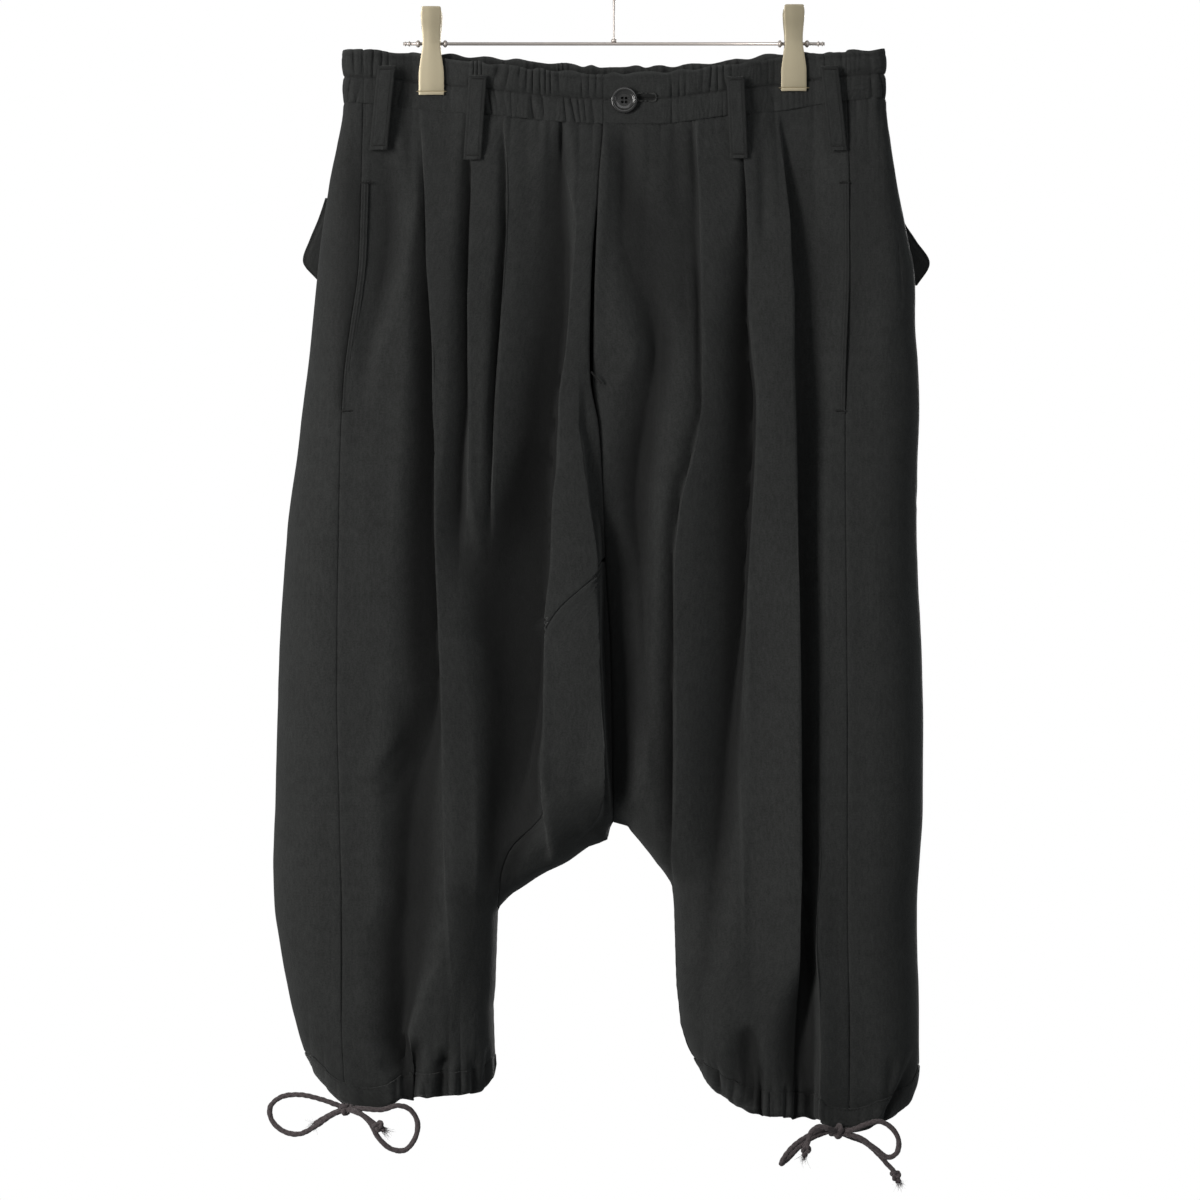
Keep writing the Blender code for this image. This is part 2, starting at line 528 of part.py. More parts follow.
def side_and_back(name, folds, hem, side, inner, bands, material, collection, count=19):
    """From the outseam on the front, round the side edge and across the back."""
    edge_name = "left" if side < 0 else "right"
    rows = []
    for level in levels(bands):
        seam = settle(level, hem, lambda drop: read(OUTSEAM, edge_name, drop)) + side * SEAM_GAP
        edge = settle(level, hem, lambda drop: read(OUTLINE, edge_name, drop))
        stop = settle(level, hem, inner)
        t = np.linspace(0, 1, FINE)
        front_x = seam + (edge - seam) * np.sin(t * math.pi / 2)
        back_x = 0.5 * (edge + stop) + 0.5 * (edge - stop) * np.cos(t * math.pi)
        front = surface(front_x, row_drop(level, front_x, hem), (), -1)
        back = surface(back_x, row_drop(level, back_x, hem), folds, 1)
        points = np.concatenate([front, back[1:]])
        turn = np.abs(points[:, 0] - edge)
        rows.append(pick(points, spread(points, 1 + 1.5 * np.exp(-turn / 0.02), count)))
    return cloth(name, rows, material, collection)


def gusset_panel(material, collection, count=7):
    rows = []
    for level in levels(LEFT_BANDS):
        if not GUSSET_TOP <= level <= GUSSET_END:
            continue
        slope = (gusset_edge(level + 0.004) - gusset_edge(level - 0.004)) / 0.008
        start = gusset_edge(level) + GUSSET_GAP * math.hypot(1, slope)
        stop = left_centre(level)
        x = start + (stop - start) * np.sin(np.linspace(0, math.pi / 2, FINE))
        points = surface(x, np.full_like(x, level), LEFT_FOLDS, -1)
        weight = 1 + 2 * np.exp(-np.abs(x - crest_base(LEFT_FOLDS[4], level)) / CREST_ZONE)
        rows.append(pick(points, spread(points, weight, count)))
    return cloth("gusset", rows, material, collection)


# ---- Edges that the panels share
def centre_line(drop):
    return read(CENTRE, "x", drop)


def gusset_edge(drop):
    return read(GUSSET_SEAM, "x", drop)


def left_arch(drop):
    return np.interp(drop, column(LEFT_ARCH, "drop"), column(LEFT_ARCH, "x"))


def right_arch(drop):
    return np.interp(drop, column(RIGHT_ARCH, "drop"), column(RIGHT_ARCH, "x"))


def left_centre(drop):
    """The left half's edge: the centre seam, then the arch and the inner leg."""
    return left_arch(drop) if drop > ARCH_TOP else centre_line(drop) - SEAM_GAP / 2


def right_centre(drop):
    return right_arch(drop) if drop > ARCH_TOP else centre_line(drop) + SEAM_GAP / 2


def left_inner(drop):
    """The left front's edge, which gives way to the gusset."""
    if GUSSET_TOP <= drop <= GUSSET_END:
        return float(gusset_edge(drop))
    return left_centre(drop)


def left_back_inner(drop):
    return left_arch(drop) if drop > ARCH_TOP else -SEAM_GAP / 2 - 0.0005


def right_back_inner(drop):
    return right_arch(drop) if drop > ARCH_TOP else SEAM_GAP / 2 - 0.0005


ARCH_TOP = LEFT_ARCH[0].drop * MM


# ---- Waistband
def waist_piece(name, stretches, waves, material, collection):
    """Gathered band of two channels; a stretch is (from, to, facing) along its path."""
    rows = []
    columns = waves * 2
    for part, height in ((0, 0.5), (0.25, 1), (0.5, 0.35), (0.75, 1), (1, 0.35)):
        pieces = []
        for start, stop, facing in stretches:
            top_name = "front_top" if facing < 0 else "back_top"
            share = 0.5 - 0.5 * np.cos(np.linspace(0, math.pi, FINE))
            x = start + (stop - start) * share
            top = read(WAIST, top_name, x, "x")
            drop = top + part * (read(WAIST, "lower", x, "x") - top)
            left, right = read(OUTLINE, "left", drop), read(OUTLINE, "right", drop)
            x = np.clip(x, left, right)
            piece = np.stack([x, facing * half_depth(x, drop), -WAIST_DROP - drop], -1)
            pieces.append(piece if not pieces else piece[1:])
        points = np.concatenate(pieces)
        chosen = pick(points, spread(points, np.ones(len(points)), columns))
        tangent = np.gradient(chosen[:, :2], axis=0)
        normal = np.stack([tangent[:, 1], -tangent[:, 0]], -1)
        normal /= np.linalg.norm(normal, axis=1)[:, None]
        number = np.arange(columns + 1)
        uneven = 0.80 + 0.2 * np.sin(2.1 * number)
        plain = (chosen[:, 1] < 0) & (chosen[:, 0] > -0.010) & (chosen[:, 0] < 0.030)
        free = (1 - 0.85 * clip_share(chosen[:, 0])) * np.where(plain, 0.0, 1.0)
        ends = np.where((number == 0) | (number == columns), 0.0, 1.0)
        ruffle = RUFFLE_HEIGHT * height * uneven * free * ends * np.where(number % 2, 1, -1)
        swell = CHANNEL_SWELL * (height - 0.35) * (1 - 0.8 * clip_share(chosen[:, 0]))
        chosen[:, :2] += normal * (ruffle + np.maximum(swell, 0))[:, None]
        rows.append(chosen)
    return cloth(name, rows, material, collection, gathered=True)


def hem_ring(name, hem, side, material, collection, gathers=17):
    """Closed drawcord casing round a leg, gathered but for its plain front."""
    arch = left_arch if side < 0 else right_arch
    outer_name = "left" if side < 0 else "right"
    plain_x = -0.180 if side < 0 else 0.172
    rows = []
    for part, height in ((0, 0.0008), (0.5, 0.0016), (1, 0.0010)):
        def drop_at(x, part=part):
            return read(hem, "drop", x, "x") - (1 - part) * HEM_HEIGHT
        outer, inner = drop_at(hem[0].x * MM), drop_at(hem[-1].x * MM)
        if side > 0:
            outer, inner = inner, outer
        for _ in range(6):
            outer_x, inner_x = read(OUTLINE, outer_name, outer), arch(inner)
            outer, inner = drop_at(outer_x), drop_at(inner_x)
        x = outer_x + (inner_x - outer_x) * (0.5 - 0.5 * np.cos(np.linspace(0, math.pi, FINE)))
        line = drop_at(x)
        sides = []
        for facing in (-1, 1):
            y = facing * half_depth(x, line)
            sides.append(np.stack([x, y, -WAIST_DROP - line], -1)[::-facing])
        points = np.concatenate([sides[0], sides[1][1:]])
        count = gathers * 2
        chosen = pick(points, spread(points, np.ones(len(points)), count))[:-1]
        tangent = np.roll(chosen[:, :2], -1, 0) - np.roll(chosen[:, :2], 1, 0)
        normal = np.stack([tangent[:, 1], -tangent[:, 0]], -1)
        normal /= np.linalg.norm(normal, axis=1)[:, None]
        plain = np.exp(-((chosen[:, 0] - plain_x) / 0.022) ** 2) * (chosen[:, 1] < 0)
        wave = np.where(np.arange(count) % 2, 1, -1) * height * (1 - plain)
        chosen[:, :2] += normal * wave[:, None]
        rows.append(chosen)
    return cloth(name, rows, material, collection, closed=True, gathered=True)


# ---- Pieces laid on the cloth
def belt_loop(loop, material, collection):
    facing = -1 if loop.front else 1
    drops = np.linspace(loop.top, loop.bottom, 6) * MM
    xs = np.linspace(loop.top_x, loop.bottom_x, 6) * MM
    reach = [outward(x, drop, facing) for x, drop in zip(xs, drops)]
    over = [max(reach[max(i - 1, 0):i + 2]) for i in range(5)] + [reach[5]]
    out = [y + WALL / 2 + CLEAR + 0.0009 for y in over]
    half = loop.width * MM / 2
    rows = [[(x - half, facing * y, -WAIST_DROP - drop), (x + half, facing * y, -WAIST_DROP - drop)]
            for x, drop, y in zip(xs, drops, out)]
    return cloth(loop.name, rows, material, collection, thickness=0.0016)


def pocket_welt(name, side, material, collection):
    """Folded edge of the side pocket's mouth, laid along the outseam."""
    seam = "left" if side < 0 else "right"
    rows = []
    for drop in np.linspace(0.098, 0.270, 7):
        x = read(OUTSEAM, seam, drop) - side * 0.0028
        y = -(outward(x, drop, -1, 0.004) + WALL / 2 + CLEAR + 0.0007)
        rows.append([(x - 0.0022, y, -WAIST_DROP - drop), (x + 0.0022, y, -WAIST_DROP - drop)])
    return cloth(name, rows, material, collection, thickness=0.0010)


def pocket_flap(name, outline, side, material, collection):
    """Back pocket flap whose outer corner stands off the side of the hips."""
    rows = []
    inner = side * FLAP_INNER * MM
    for drop in np.linspace(outline[0].drop, outline[-1].drop, 5) * MM:
        outer = read(outline, "x", drop)
        row = []
        for x in np.linspace(outer, inner, 9):
            on_cloth = side * min(side * x, 0.183)
            y = max(outward(on_cloth, drop + shift, 1, 0.008) for shift in (-0.006, 0, 0.006))
            row.append((x, y + WALL / 2 + CLEAR + 0.0001, -WAIST_DROP - drop))
        rows.append(row)
    return cloth(name, rows, material, collection, thickness=0.0016)


def turned(name, profile, material, collection, steps=18):
    """Profile of (radius, height) rows turned about its local Z."""
    mesh = bpy.data.meshes.new(name)
    mesh.from_pydata([(r, 0, h) for r, h in profile], [(i, i + 1) for i in range(len(profile) - 1)], [])
    item = new_object(name, mesh, material, collection)
    screw = item.modifiers.new("turn", "SCREW")
    screw.steps = screw.render_steps = steps
    screw.use_merge_vertices = True
    screw.merge_threshold = 0.00005
    return item


def button(material, collection, cutters):
    radius = BUTTON_SIZE / 2
    rim, dish, back = 0.0014, 0.0005, -0.0012
    profile = [(0, dish), (radius * 0.55, dish), (radius * 0.68, rim), (radius * 0.9, rim),
               (radius, rim * 0.4), (radius * 0.97, back * 0.5), (radius * 0.8, back), (0, back)]
    item = turned("waist_button", profile, material, collection)
    build = bmesh.new()
    for angle in (45, 135, 225, 315):
        spot = Vector((0.0019 * math.cos(math.radians(angle)), 0.0019 * math.sin(math.radians(angle)), 0))
        bmesh.ops.create_cone(build, cap_ends=True, segments=6, radius1=0.00085, radius2=0.00085,
                              depth=0.01, matrix=Matrix.Translation(spot))
    mesh = bpy.data.meshes.new("button_holes")
    build.to_mesh(mesh)
    build.free()
    cutter = bpy.data.objects.new("button_holes", mesh)
    cutters.objects.link(cutter)
    cutter.hide_render = True
    cutter.display_type = "WIRE"
    cutter.parent = item
    cut = item.modifiers.new("thread holes", "BOOLEAN")
    cut.operation = "DIFFERENCE"
    cut.object = cutter
    band = half_depth(np.array(BUTTON_X), np.array(BUTTON_DROP)) + 0.65 * CHANNEL_SWELL
    y = -(band + WALL / 2 + CLEAR - back)
    item.location = (BUTTON_X, y, -WAIST_DROP - BUTTON_DROP)
    item.rotation_euler = (math.pi / 2, 0, 0)
    return item


# ---- Cords
def knot_face(row, toward):
    """The point where a cord meets a knot, coming from the point given."""
    centre = np.array((row.x, row.y, row.z)) * MM
    radii = np.array((row.across, row.across * KNOT_DEPTH, row.tall)) * MM / 2
    ray = toward - centre
    return centre + ray * (1 / np.linalg.norm(ray / radii) + CLEAR / np.linalg.norm(ray))


def along(run, spacing):
    """Points at even spacing on a smooth curve from the knot through a run's route."""
    own = np.array([(p.x, p.y, p.z) for p in run.route]) * MM
    tie = next(row for row in KNOTS if row.name == run.knot)
    ends = [knot_face(tie, own[-1])] if run.loop else []
    points = np.array([knot_face(tie, own[0]), *own, *ends])
    chord = np.concatenate([[0], np.cumsum(np.sqrt(np.linalg.norm(np.diff(points, axis=0), axis=1)))])
    fine = np.linspace(0, chord[-1], 400)
    tangent = np.gradient(points, chord, axis=0)
    i = np.clip(np.searchsorted(chord, fine, side="right") - 1, 0, len(chord) - 2)
    step = (chord[i + 1] - chord[i])[:, None]
    t = (fine - chord[i])[:, None] / step
    curve = ((1 + 2 * t) * (1 - t) ** 2 * points[i] + t * (1 - t) ** 2 * step * tangent[i]
             + t * t * (3 - 2 * t) * points[i + 1] + t * t * (t - 1) * step * tangent[i + 1])
    length = np.linalg.norm(np.diff(curve, axis=0), axis=1).sum()
    return pick(curve, spread(curve, np.ones(400), max(4, round(length / spacing))))


def tube(name, points, radius, material, collection, resolution=2):
    curve = bpy.data.curves.new(name, "CURVE")
    curve.dimensions = "3D"
    curve.bevel_depth = radius
    curve.bevel_resolution = resolution
    curve.use_fill_caps = True
    line = curve.splines.new("POLY")
    line.points.add(len(points) - 1)
    for spot, point in zip(line.points, points):
        spot.co = (*point, 1)
    return new_object(name, curve, material, collection)


def knot(row, material, collection):
    """Rounded overhand knot, drawn tight."""
    build = bmesh.new()
    bmesh.ops.create_icosphere(build, subdivisions=2, radius=0.5)
    across, tall = row.across * MM, row.tall * MM
    bmesh.ops.scale(build, vec=(across, across * KNOT_DEPTH, tall), verts=build.verts)
    mesh = bpy.data.meshes.new(row.name)
    build.to_mesh(mesh)
    build.free()
    mesh.shade_smooth()
    item = new_object(row.name, mesh, material, collection)
    item.location = Vector((row.x, row.y, row.z)) * MM
    return item


# ---- Hanger
def hanger(metal, collection):
    bead, rod, end = 0.0026, 0.0015, 0.1555
    profile = [(0, end), (rod, end)]
    for clip in sorted(CLIP_X, reverse=True):
        for centre in (clip + 0.0088, clip - 0.0088):
            profile += [(rod, centre + 0.0016), (bead, centre + 0.0010),
                        (bead, centre - 0.0010), (rod, centre - 0.0016)]
    profile += [(rod, -end), (0, -end)]
    item = turned("hanger_rod", profile, metal, collection, steps=8)
    item.location = (0, 0, -ROD_DROP)
    item.rotation_euler = (0, math.pi / 2, 0)

    wire, inside = 0.0017, 0.0215
    middle, radius = -inside, inside + wire
    route = [(0, -ROD_DROP + rod + CLEAR), (0, -0.076), (0, -0.064), (0.0035, -0.0535),
             (0.0120, -0.0440), (0.0192, -0.0365)]
    for angle in range(-22, 205, 15):
        turn = math.radians(angle)
        route.append((radius * math.cos(turn), middle + radius * math.sin(turn)))
    route.append((-0.0245, -0.0375))
    tube("hanger_hook", [(x, 0, z) for x, z in route], wire, metal, collection)

    for label, clip in zip(("left", "right"), CLIP_X):
        for place, facing in (("front", -1), ("back", 1)):
            rows = [[(clip - r.width * MM / 2, facing * r.out * MM, r.z * MM),
                     (clip, facing * (r.out + 0.35) * MM, r.z * MM),
                     (clip + r.width * MM / 2, facing * r.out * MM, r.z * MM)] for r in CLIP_ROWS]
            cloth(f"clip_{label}_{place}_jaw", rows, metal, collection, thickness=0.0010)
        spring = [(0.0042, 0.0055), (0.0042, -0.0055), (rod + CLEAR, -0.0055), (rod + CLEAR, 0.0055),
                  (0.0042, 0.0055)]
        item = turned(f"clip_{label}_spring", spring, metal, collection, steps=12)
        item.location = (clip, 0, -ROD_DROP)
        item.rotation_euler = (0, math.pi / 2, 0)


def finish(name, colour, roughness, metallic=0.0):
    material = bpy.data.materials.new(name)
    material.use_nodes = True
    shader = material.node_tree.nodes["Principled BSDF"]
    shader.inputs["Base Color"].default_value = (*colour, 1)
    shader.inputs["Roughness"].default_value = roughness
    shader.inputs["Metallic"].default_value = metallic
    return material


def main():
    for item in list(bpy.data.objects):
        bpy.data.objects.remove(item)
    parts = bpy.data.collections.new("harem pants")
    cutters = bpy.data.collections.new("cutters")
    for group in (parts, cutters):
        bpy.context.scene.collection.children.link(group)
    wool = finish("black gabardine", (0.030, 0.030, 0.028), 0.85)
    cord = finish("cotton cord", (0.095, 0.075, 0.077), 0.90)
    horn = finish("black button", (0.012, 0.012, 0.012), 0.20)
    metal = finish("pale gold metal", (0.62, 0.53, 0.38), 0.30, 1.0)

    def outseam(edge_name, inward):
        return lambda drop: read(OUTSEAM, edge_name, drop) + inward

    front_panel("front_left", LEFT_FOLDS, LEFT_HEM, outseam("left", 0), left_inner,
                LEFT_BANDS, LEFT_COLUMNS, wool, parts)
    front_panel("front_right", RIGHT_FOLDS, RIGHT_HEM, outseam("right", 0), right_centre,
                RIGHT_BANDS, RIGHT_COLUMNS, wool, parts)
    gusset_panel(wool, parts)
    side_and_back("back_left", LEFT_BACK_FOLDS, LEFT_HEM, -1, left_back_inner,
                  LEFT_BACK_BANDS, wool, parts)
    side_and_back("back_right", RIGHT_BACK_FOLDS, RIGHT_HEM, 1, right_back_inner,
                  RIGHT_BANDS, wool, parts)

    left_seam, right_seam, fly = -0.184, 0.171, -0.0078
    left_end, right_end = -0.1995, 0.199
    waist_piece("waistband_front_left", [(left_seam, fly - SEAM_GAP, -1)], 18, wool, parts)
    waist_piece("waistband_front_right", [(fly, right_seam, -1)], 18, wool, parts)
    waist_piece("waistband_back", [(left_seam - SEAM_GAP, left_end, -1), (left_end, right_end, 1),
                                   (right_end, right_seam + SEAM_GAP, -1)], 42, wool, parts)
    hem_ring("hem_left", LEFT_HEM, -1, wool, parts)
    hem_ring("hem_right", RIGHT_HEM, 1, wool, parts)
    for loop in LOOPS:
        belt_loop(loop, wool, parts)
    pocket_welt("pocket_welt_left", -1, wool, parts)
    pocket_welt("pocket_welt_right", 1, wool, parts)
    pocket_flap("pocket_flap_left", LEFT_FLAP, -1, wool, parts)
    pocket_flap("pocket_flap_right", RIGHT_FLAP, 1, wool, parts)
    button(horn, parts, cutters)
    for run in CORDS:
        tube(run.name, along(run, 0.009), CORD / 2, cord, parts)
    for row in KNOTS:
        knot(row, cord, parts)
    hanger(metal, parts)


main()
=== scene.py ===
"""Black harem pants hanging from a clip hanger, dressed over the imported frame.

Metres, +Z up, the garment's front faces -Y. Every cloth piece is a fine sheet
on the same sections as the solid that it stands for, with its gathers, puckers
and creases added along its normal, and then a thin wall. Tables are in
millimetres; "drop" is the way down from the waist's top edge.
"""
from __future__ import annotations

import logging
import math
from dataclasses import dataclass
from enum import Enum
from typing import Callable, Iterable, Sequence

import bmesh
import bpy
import numpy as np
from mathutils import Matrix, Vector


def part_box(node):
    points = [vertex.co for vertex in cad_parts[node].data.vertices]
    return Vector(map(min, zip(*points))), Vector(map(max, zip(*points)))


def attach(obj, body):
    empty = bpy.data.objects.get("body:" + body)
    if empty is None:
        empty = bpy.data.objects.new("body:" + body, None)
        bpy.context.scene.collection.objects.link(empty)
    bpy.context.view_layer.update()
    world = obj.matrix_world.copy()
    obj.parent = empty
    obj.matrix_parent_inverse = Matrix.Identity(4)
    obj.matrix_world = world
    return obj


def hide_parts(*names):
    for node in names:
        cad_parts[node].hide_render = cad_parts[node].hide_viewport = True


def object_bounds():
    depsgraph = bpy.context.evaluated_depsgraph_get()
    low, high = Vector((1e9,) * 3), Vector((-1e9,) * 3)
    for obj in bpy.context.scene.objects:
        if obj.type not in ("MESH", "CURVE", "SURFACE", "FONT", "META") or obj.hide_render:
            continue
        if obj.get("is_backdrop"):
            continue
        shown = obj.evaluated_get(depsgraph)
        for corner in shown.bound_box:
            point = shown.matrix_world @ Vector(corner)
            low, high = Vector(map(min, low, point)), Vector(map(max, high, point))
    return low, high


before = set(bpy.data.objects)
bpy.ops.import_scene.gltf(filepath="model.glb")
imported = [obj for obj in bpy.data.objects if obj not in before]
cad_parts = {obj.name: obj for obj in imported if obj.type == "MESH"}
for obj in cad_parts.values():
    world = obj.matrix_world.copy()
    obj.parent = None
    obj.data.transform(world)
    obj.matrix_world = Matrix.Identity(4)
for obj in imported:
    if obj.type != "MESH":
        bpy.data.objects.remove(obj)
FRAME_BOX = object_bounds()

LOG = logging.getLogger("harem_pants")
logging.basicConfig(level=logging.INFO, format="%(name)s: %(message)s")

Array = np.ndarray
MM = 0.001

# Seams, the room left between pieces and the solids' own wall.
SEAM_GAP = 0.0004
CLEAR = 0.0003
SOLID_WALL = 0.0013
# Levels below the origin inside the hook's top, the casing's height and the cloth tucked under it.
ROD_DROP = 0.090
WAIST_DROP = 0.0945
HEM_HEIGHT = 0.0185
TUCK_UNDER = 0.0018
TUCK_DEPTH = 0.0012
# Gathers and elastic channels.
RUFFLE_HEIGHT = 0.0015
GATHER_PITCH = 0.0092
CHANNEL_SWELL = 0.0014
# The clips, with the share of depth left between their jaws, and the buttonhole.
CLIP_X = (-0.1345, 0.1325)
CLIP_PINCH = 0.30
BUTTONHOLE_X = (0.0165, 0.0305)
BUTTONHOLE_DROP = 0.0366
BUTTONHOLE_HALF = 0.0023
# How rows are laid: the round over the crotch, the close columns at a crest, the fine row's points.
ARCH_ROUND = 0.046
CREST_ZONE = 0.006
SPAN_MARGIN = 0.0015
SETTLE_ROUNDS = 6
FINE = 420
# The round at a hollow's foot, and a distance that stands for none near.
BROW = 0.2
FAR = 1.0
# From where to where shade is painted on the cloth in a hollow and in a trough.
DEEP_RANGE = (0.0010, 0.0085)
TROUGH_RANGE = (0.0004, 0.0042)
TROUGH_SHARE = 0.8
# A sheet's rim stays sharp past this angle.
RIM_ANGLE = math.radians(66)


def flow(keys: Array, values: Array, at: Array | float) -> Array:
    """Read a curve that passes through the values with no overshoot.

    Args:
        keys: Rising places of the values.
        values: The values there.
        at: Where to read.

    Returns:
        The curve at those places, held flat past either end.
    """
    step = np.diff(keys)
    slope = np.diff(values) / step
    tangent = np.empty(len(values))
    tangent[0], tangent[-1] = slope[0], slope[-1]
    product = slope[:-1] * slope[1:]
    total = np.where(product > 0, slope[:-1] + slope[1:], 1.0)
    tangent[1:-1] = np.where(product > 0, 2 * product / total, 0.0)
    at = np.clip(at, keys[0], keys[-1])
    i = np.clip(np.searchsorted(keys, at, side="right") - 1, 0, len(keys) - 2)
    t = (at - keys[i]) / step[i]
    rise = (3 - 2 * t) * t * t
    start = t * (1 - t) ** 2 * step[i] * tangent[i]
    end = t * t * (1 - t) * step[i] * tangent[i + 1]
    return values[i] + rise * (values[i + 1] - values[i]) + start - end


def ease(value: Array | float, start: float, stop: float) -> Array:
    """Rise smoothly from 0 at start to 1 at stop."""
    t = np.clip((value - start) / (stop - start), 0, 1)
    return t * t * (3 - 2 * t)


def rounded(share: Array | float) -> Array:
    """Follow a quarter round from 0 at the edge to 1 inside."""
    share = np.clip(share, 0, 1)
    return np.sqrt(share * (2 - share))


def bump(value: Array, centre: float, width: float) -> Array:
    """Give a soft hump of height 1 around a centre."""
    return np.exp(-((value - centre) / width) ** 2)


class Table:
    """Rows of millimetres under named columns, read along the first one."""

    def __init__(self, columns: str, rows: Sequence[Sequence[float]]) -> None:
        """Keep the rows in metres.

        Args:
            columns: Column names, the key first.
            rows: One row of numbers for each key.
        """
        self.names = columns.split()
        self.data = np.array(rows, float) * MM

    def column(self, name: str) -> Array:
        """Return one column in metres."""
        return self.data[:, self.names.index(name)]

    def at(self, name: str, key: Array | float) -> Array:
        """Read a column's curve at the key."""
        return flow(self.data[:, 0], self.column(name), key)


@dataclass(frozen=True)
class Fold:
    """One pressed pleat or hollow.

    side is the way the sharp edge faces, steep and soft are the widths of its
    flanks, and the line holds the crest's place, height and overhang.
    """

    name: str
    side: int
    steep: float
    soft: float
    rows: tuple

    def __post_init__(self) -> None:
        """Turn the rows into a table once."""
        object.__setattr__(self, "line", Table("drop x height lean", self.rows))

    def base(self, drop: Array | float) -> Array:
        """Return where the crest lies before its lean carries it sideways."""
        return self.line.at("x", drop) - self.side * self.line.at("lean", drop)

    def carry(self, x: Array, drop: Array) -> tuple[Array, Array]:
        """Work out how the fold carries the cloth.

        Args:
            x: Places across, before any fold.
            drop: Places down.

        Returns:
            The shift sideways and the shift outward.
        """
        left, right = (self.soft, self.steep) if self.side > 0 else (self.steep, self.soft)
        t = x - self.base(drop)
        u = np.clip(np.abs(t) / (np.where(t < 0, left, right) * MM), 0, 1)
        shape = 0.5 * (1 + np.cos(math.pi * u))
        if self.side:
            peak = np.where(t * self.side < 0, 0.35, 0.55)
            shape = (1 - peak) * shape + peak * (1 - u) ** 2
        return self.side * self.line.at("lean", drop) * shape ** 2, self.line.at("height", drop) * shape


@dataclass(frozen=True)
class Draw:
    """A hollow that deepens all the way to its foot, as beside a pleat's edge.

    side is the way its long slope lies from the foot, and bend is above 1 where
    the slope steepens toward the foot and below 1 where it levels out. The line
    holds the foot's place and depth, the slope's reach and the short rise beyond.
    """

    name: str
    side: int
    bend: float
    rows: tuple

    def __post_init__(self) -> None:
        """Turn the rows into a table once."""
        object.__setattr__(self, "line", Table("drop x depth reach rise", self.rows))

    def carry(self, x: Array, drop: Array) -> tuple[Array, Array]:
        """Work out how the hollow carries the cloth.

        Args:
            x: Places across, before any fold.
            drop: Places down.

        Returns:
            The shift sideways, which is nothing, and the shift outward.
        """
        t = (x - self.line.at("x", drop)) * self.side
        width = np.where(t > 0, self.line.at("reach", drop), self.line.at("rise", drop))
        u = np.clip(np.abs(t) / width, 0, 1)
        slope = (np.sqrt((1 - u) ** 2 + BROW ** 2) - BROW) / (math.hypot(1, BROW) - BROW)
        slope = slope ** self.bend if self.bend >= 1 else 1 - (1 - slope) ** (1 / self.bend)
        shape = np.where(t > 0, slope, 0.5 * (1 + np.cos(math.pi * u)))
        return np.zeros_like(t), -self.line.at("depth", drop) * shape


OUTLINE = Table("drop left right", (
    (0, -199.5, 199), (40, -198.5, 200), (69.5, -203.5, 204), (99, -209.5, 208.5), (136, -215, 215.5),
    (172.5, -219, 221.5), (202, -222, 221.5), (231.5, -225, 223.5), (261.5, -229, 224.5),
    (305.5, -234, 223.5), (350, -240, 223), (394, -243, 224.5), (438.5, -246, 226.5),
    (497.5, -248, 227.5), (556.5, -249.5, 227.5), (600.5, -251, 225), (630.5, -250, 223.5),
    (660, -246, 223.5), (689.5, -240.5, 224.5), (719, -234, 225), (733.5, -229.5, 225),
    (748.5, -223.5, 224.5), (763, -216.5, 222), (778, -209.5, 217), (795.5, -203.5, 207.5),
))
OUTSEAM = Table("drop left right", (
    (0, -184, 171), (56, -184.5, 172), (98, -185, 172.5), (159.5, -186.5, 172.5),
    (206.5, -192.5, 170.5), (244.5, -197, 169), (302, -199.5, 168.5), (470, -201.5, 169.5),
    (556.5, -199.5, 169.5), (632.5, -198, 169.5), (701, -198, 170.5), (758.5, -196, 171),
    (800, -192, 172),
))
CENTRE = Table("drop x", (
    (0, -7.5), (56, -8), (96, -11), (205, -15), (244.5, -15.5), (282.5, -10.5), (332, -8), (388, -6),
    (435.5, -3), (509, -1.5), (569.5, -0.5), (600, -0.5),
))
LEFT_ARCH = Table("drop x", (
    (569.5, -0.5), (572, -2.5), (583, -5), (588, -20), (596.5, -31.5), (600.5, -38.5), (606.5, -51.5),
    (615, -64), (622, -75.5), (633, -86), (660, -87), (689.5, -88), (704, -89.5), (733.5, -88.5),
    (748.5, -87.5), (763, -90), (778, -96), (800, -101.5),
))
RIGHT_ARCH = Table("drop x", (
    (569.5, -0.5), (571.5, 10), (575.5, 12.5), (586.5, 22), (598.5, 31.5), (608, 39), (615.5, 43.5),
    (630.5, 45), (660, 46), (689.5, 47), (704, 48.5), (719, 50), (733.5, 54.5), (748.5, 62), (763, 70),
    (778, 77.5), (800, 86),
))
GUSSET_SEAM = Table("drop x", (
    (378, -10.2), (386, -15.5), (394, -22.5), (402, -28.5), (410, -34), (422, -40), (430, -42.5),
    (440, -43.2), (471, -43.5), (521.5, -46), (540, -46.8), (550, -48), (562, -52), (571, -59),
    (580, -69), (590, -77), (607, -83), (633, -86.5),
))
DEPTH = Table("drop half edge", (
    (0, 9, 8), (40, 10, 9), (75, 13, 12), (120, 19, 19), (200, 26, 27), (300, 31, 34), (420, 35, 39),
    (540, 38, 40), (640, 40, 40), (720, 38, 37), (762, 33, 30), (778, 27, 24), (800, 24, 21),
))
WAIST = Table("x front_top back_top lower", (
    (-199.5, 1.5, 0.5, 39), (-172.5, 2, 1.5, 42), (-136, 4.5, 2.5, 45), (-84, 12.5, 4.8, 50),
    (-40, 17, 8.4, 54.5), (-10.5, 19, 10.6, 56), (31, 18, 10.6, 56), (82, 12.5, 6.9, 50),
    (119.5, 6.5, 2.5, 46), (153.5, 3, 1.5, 40.5), (185, 1.5, 0.5, 37.5), (199.5, 0.5, 0.5, 36),
))
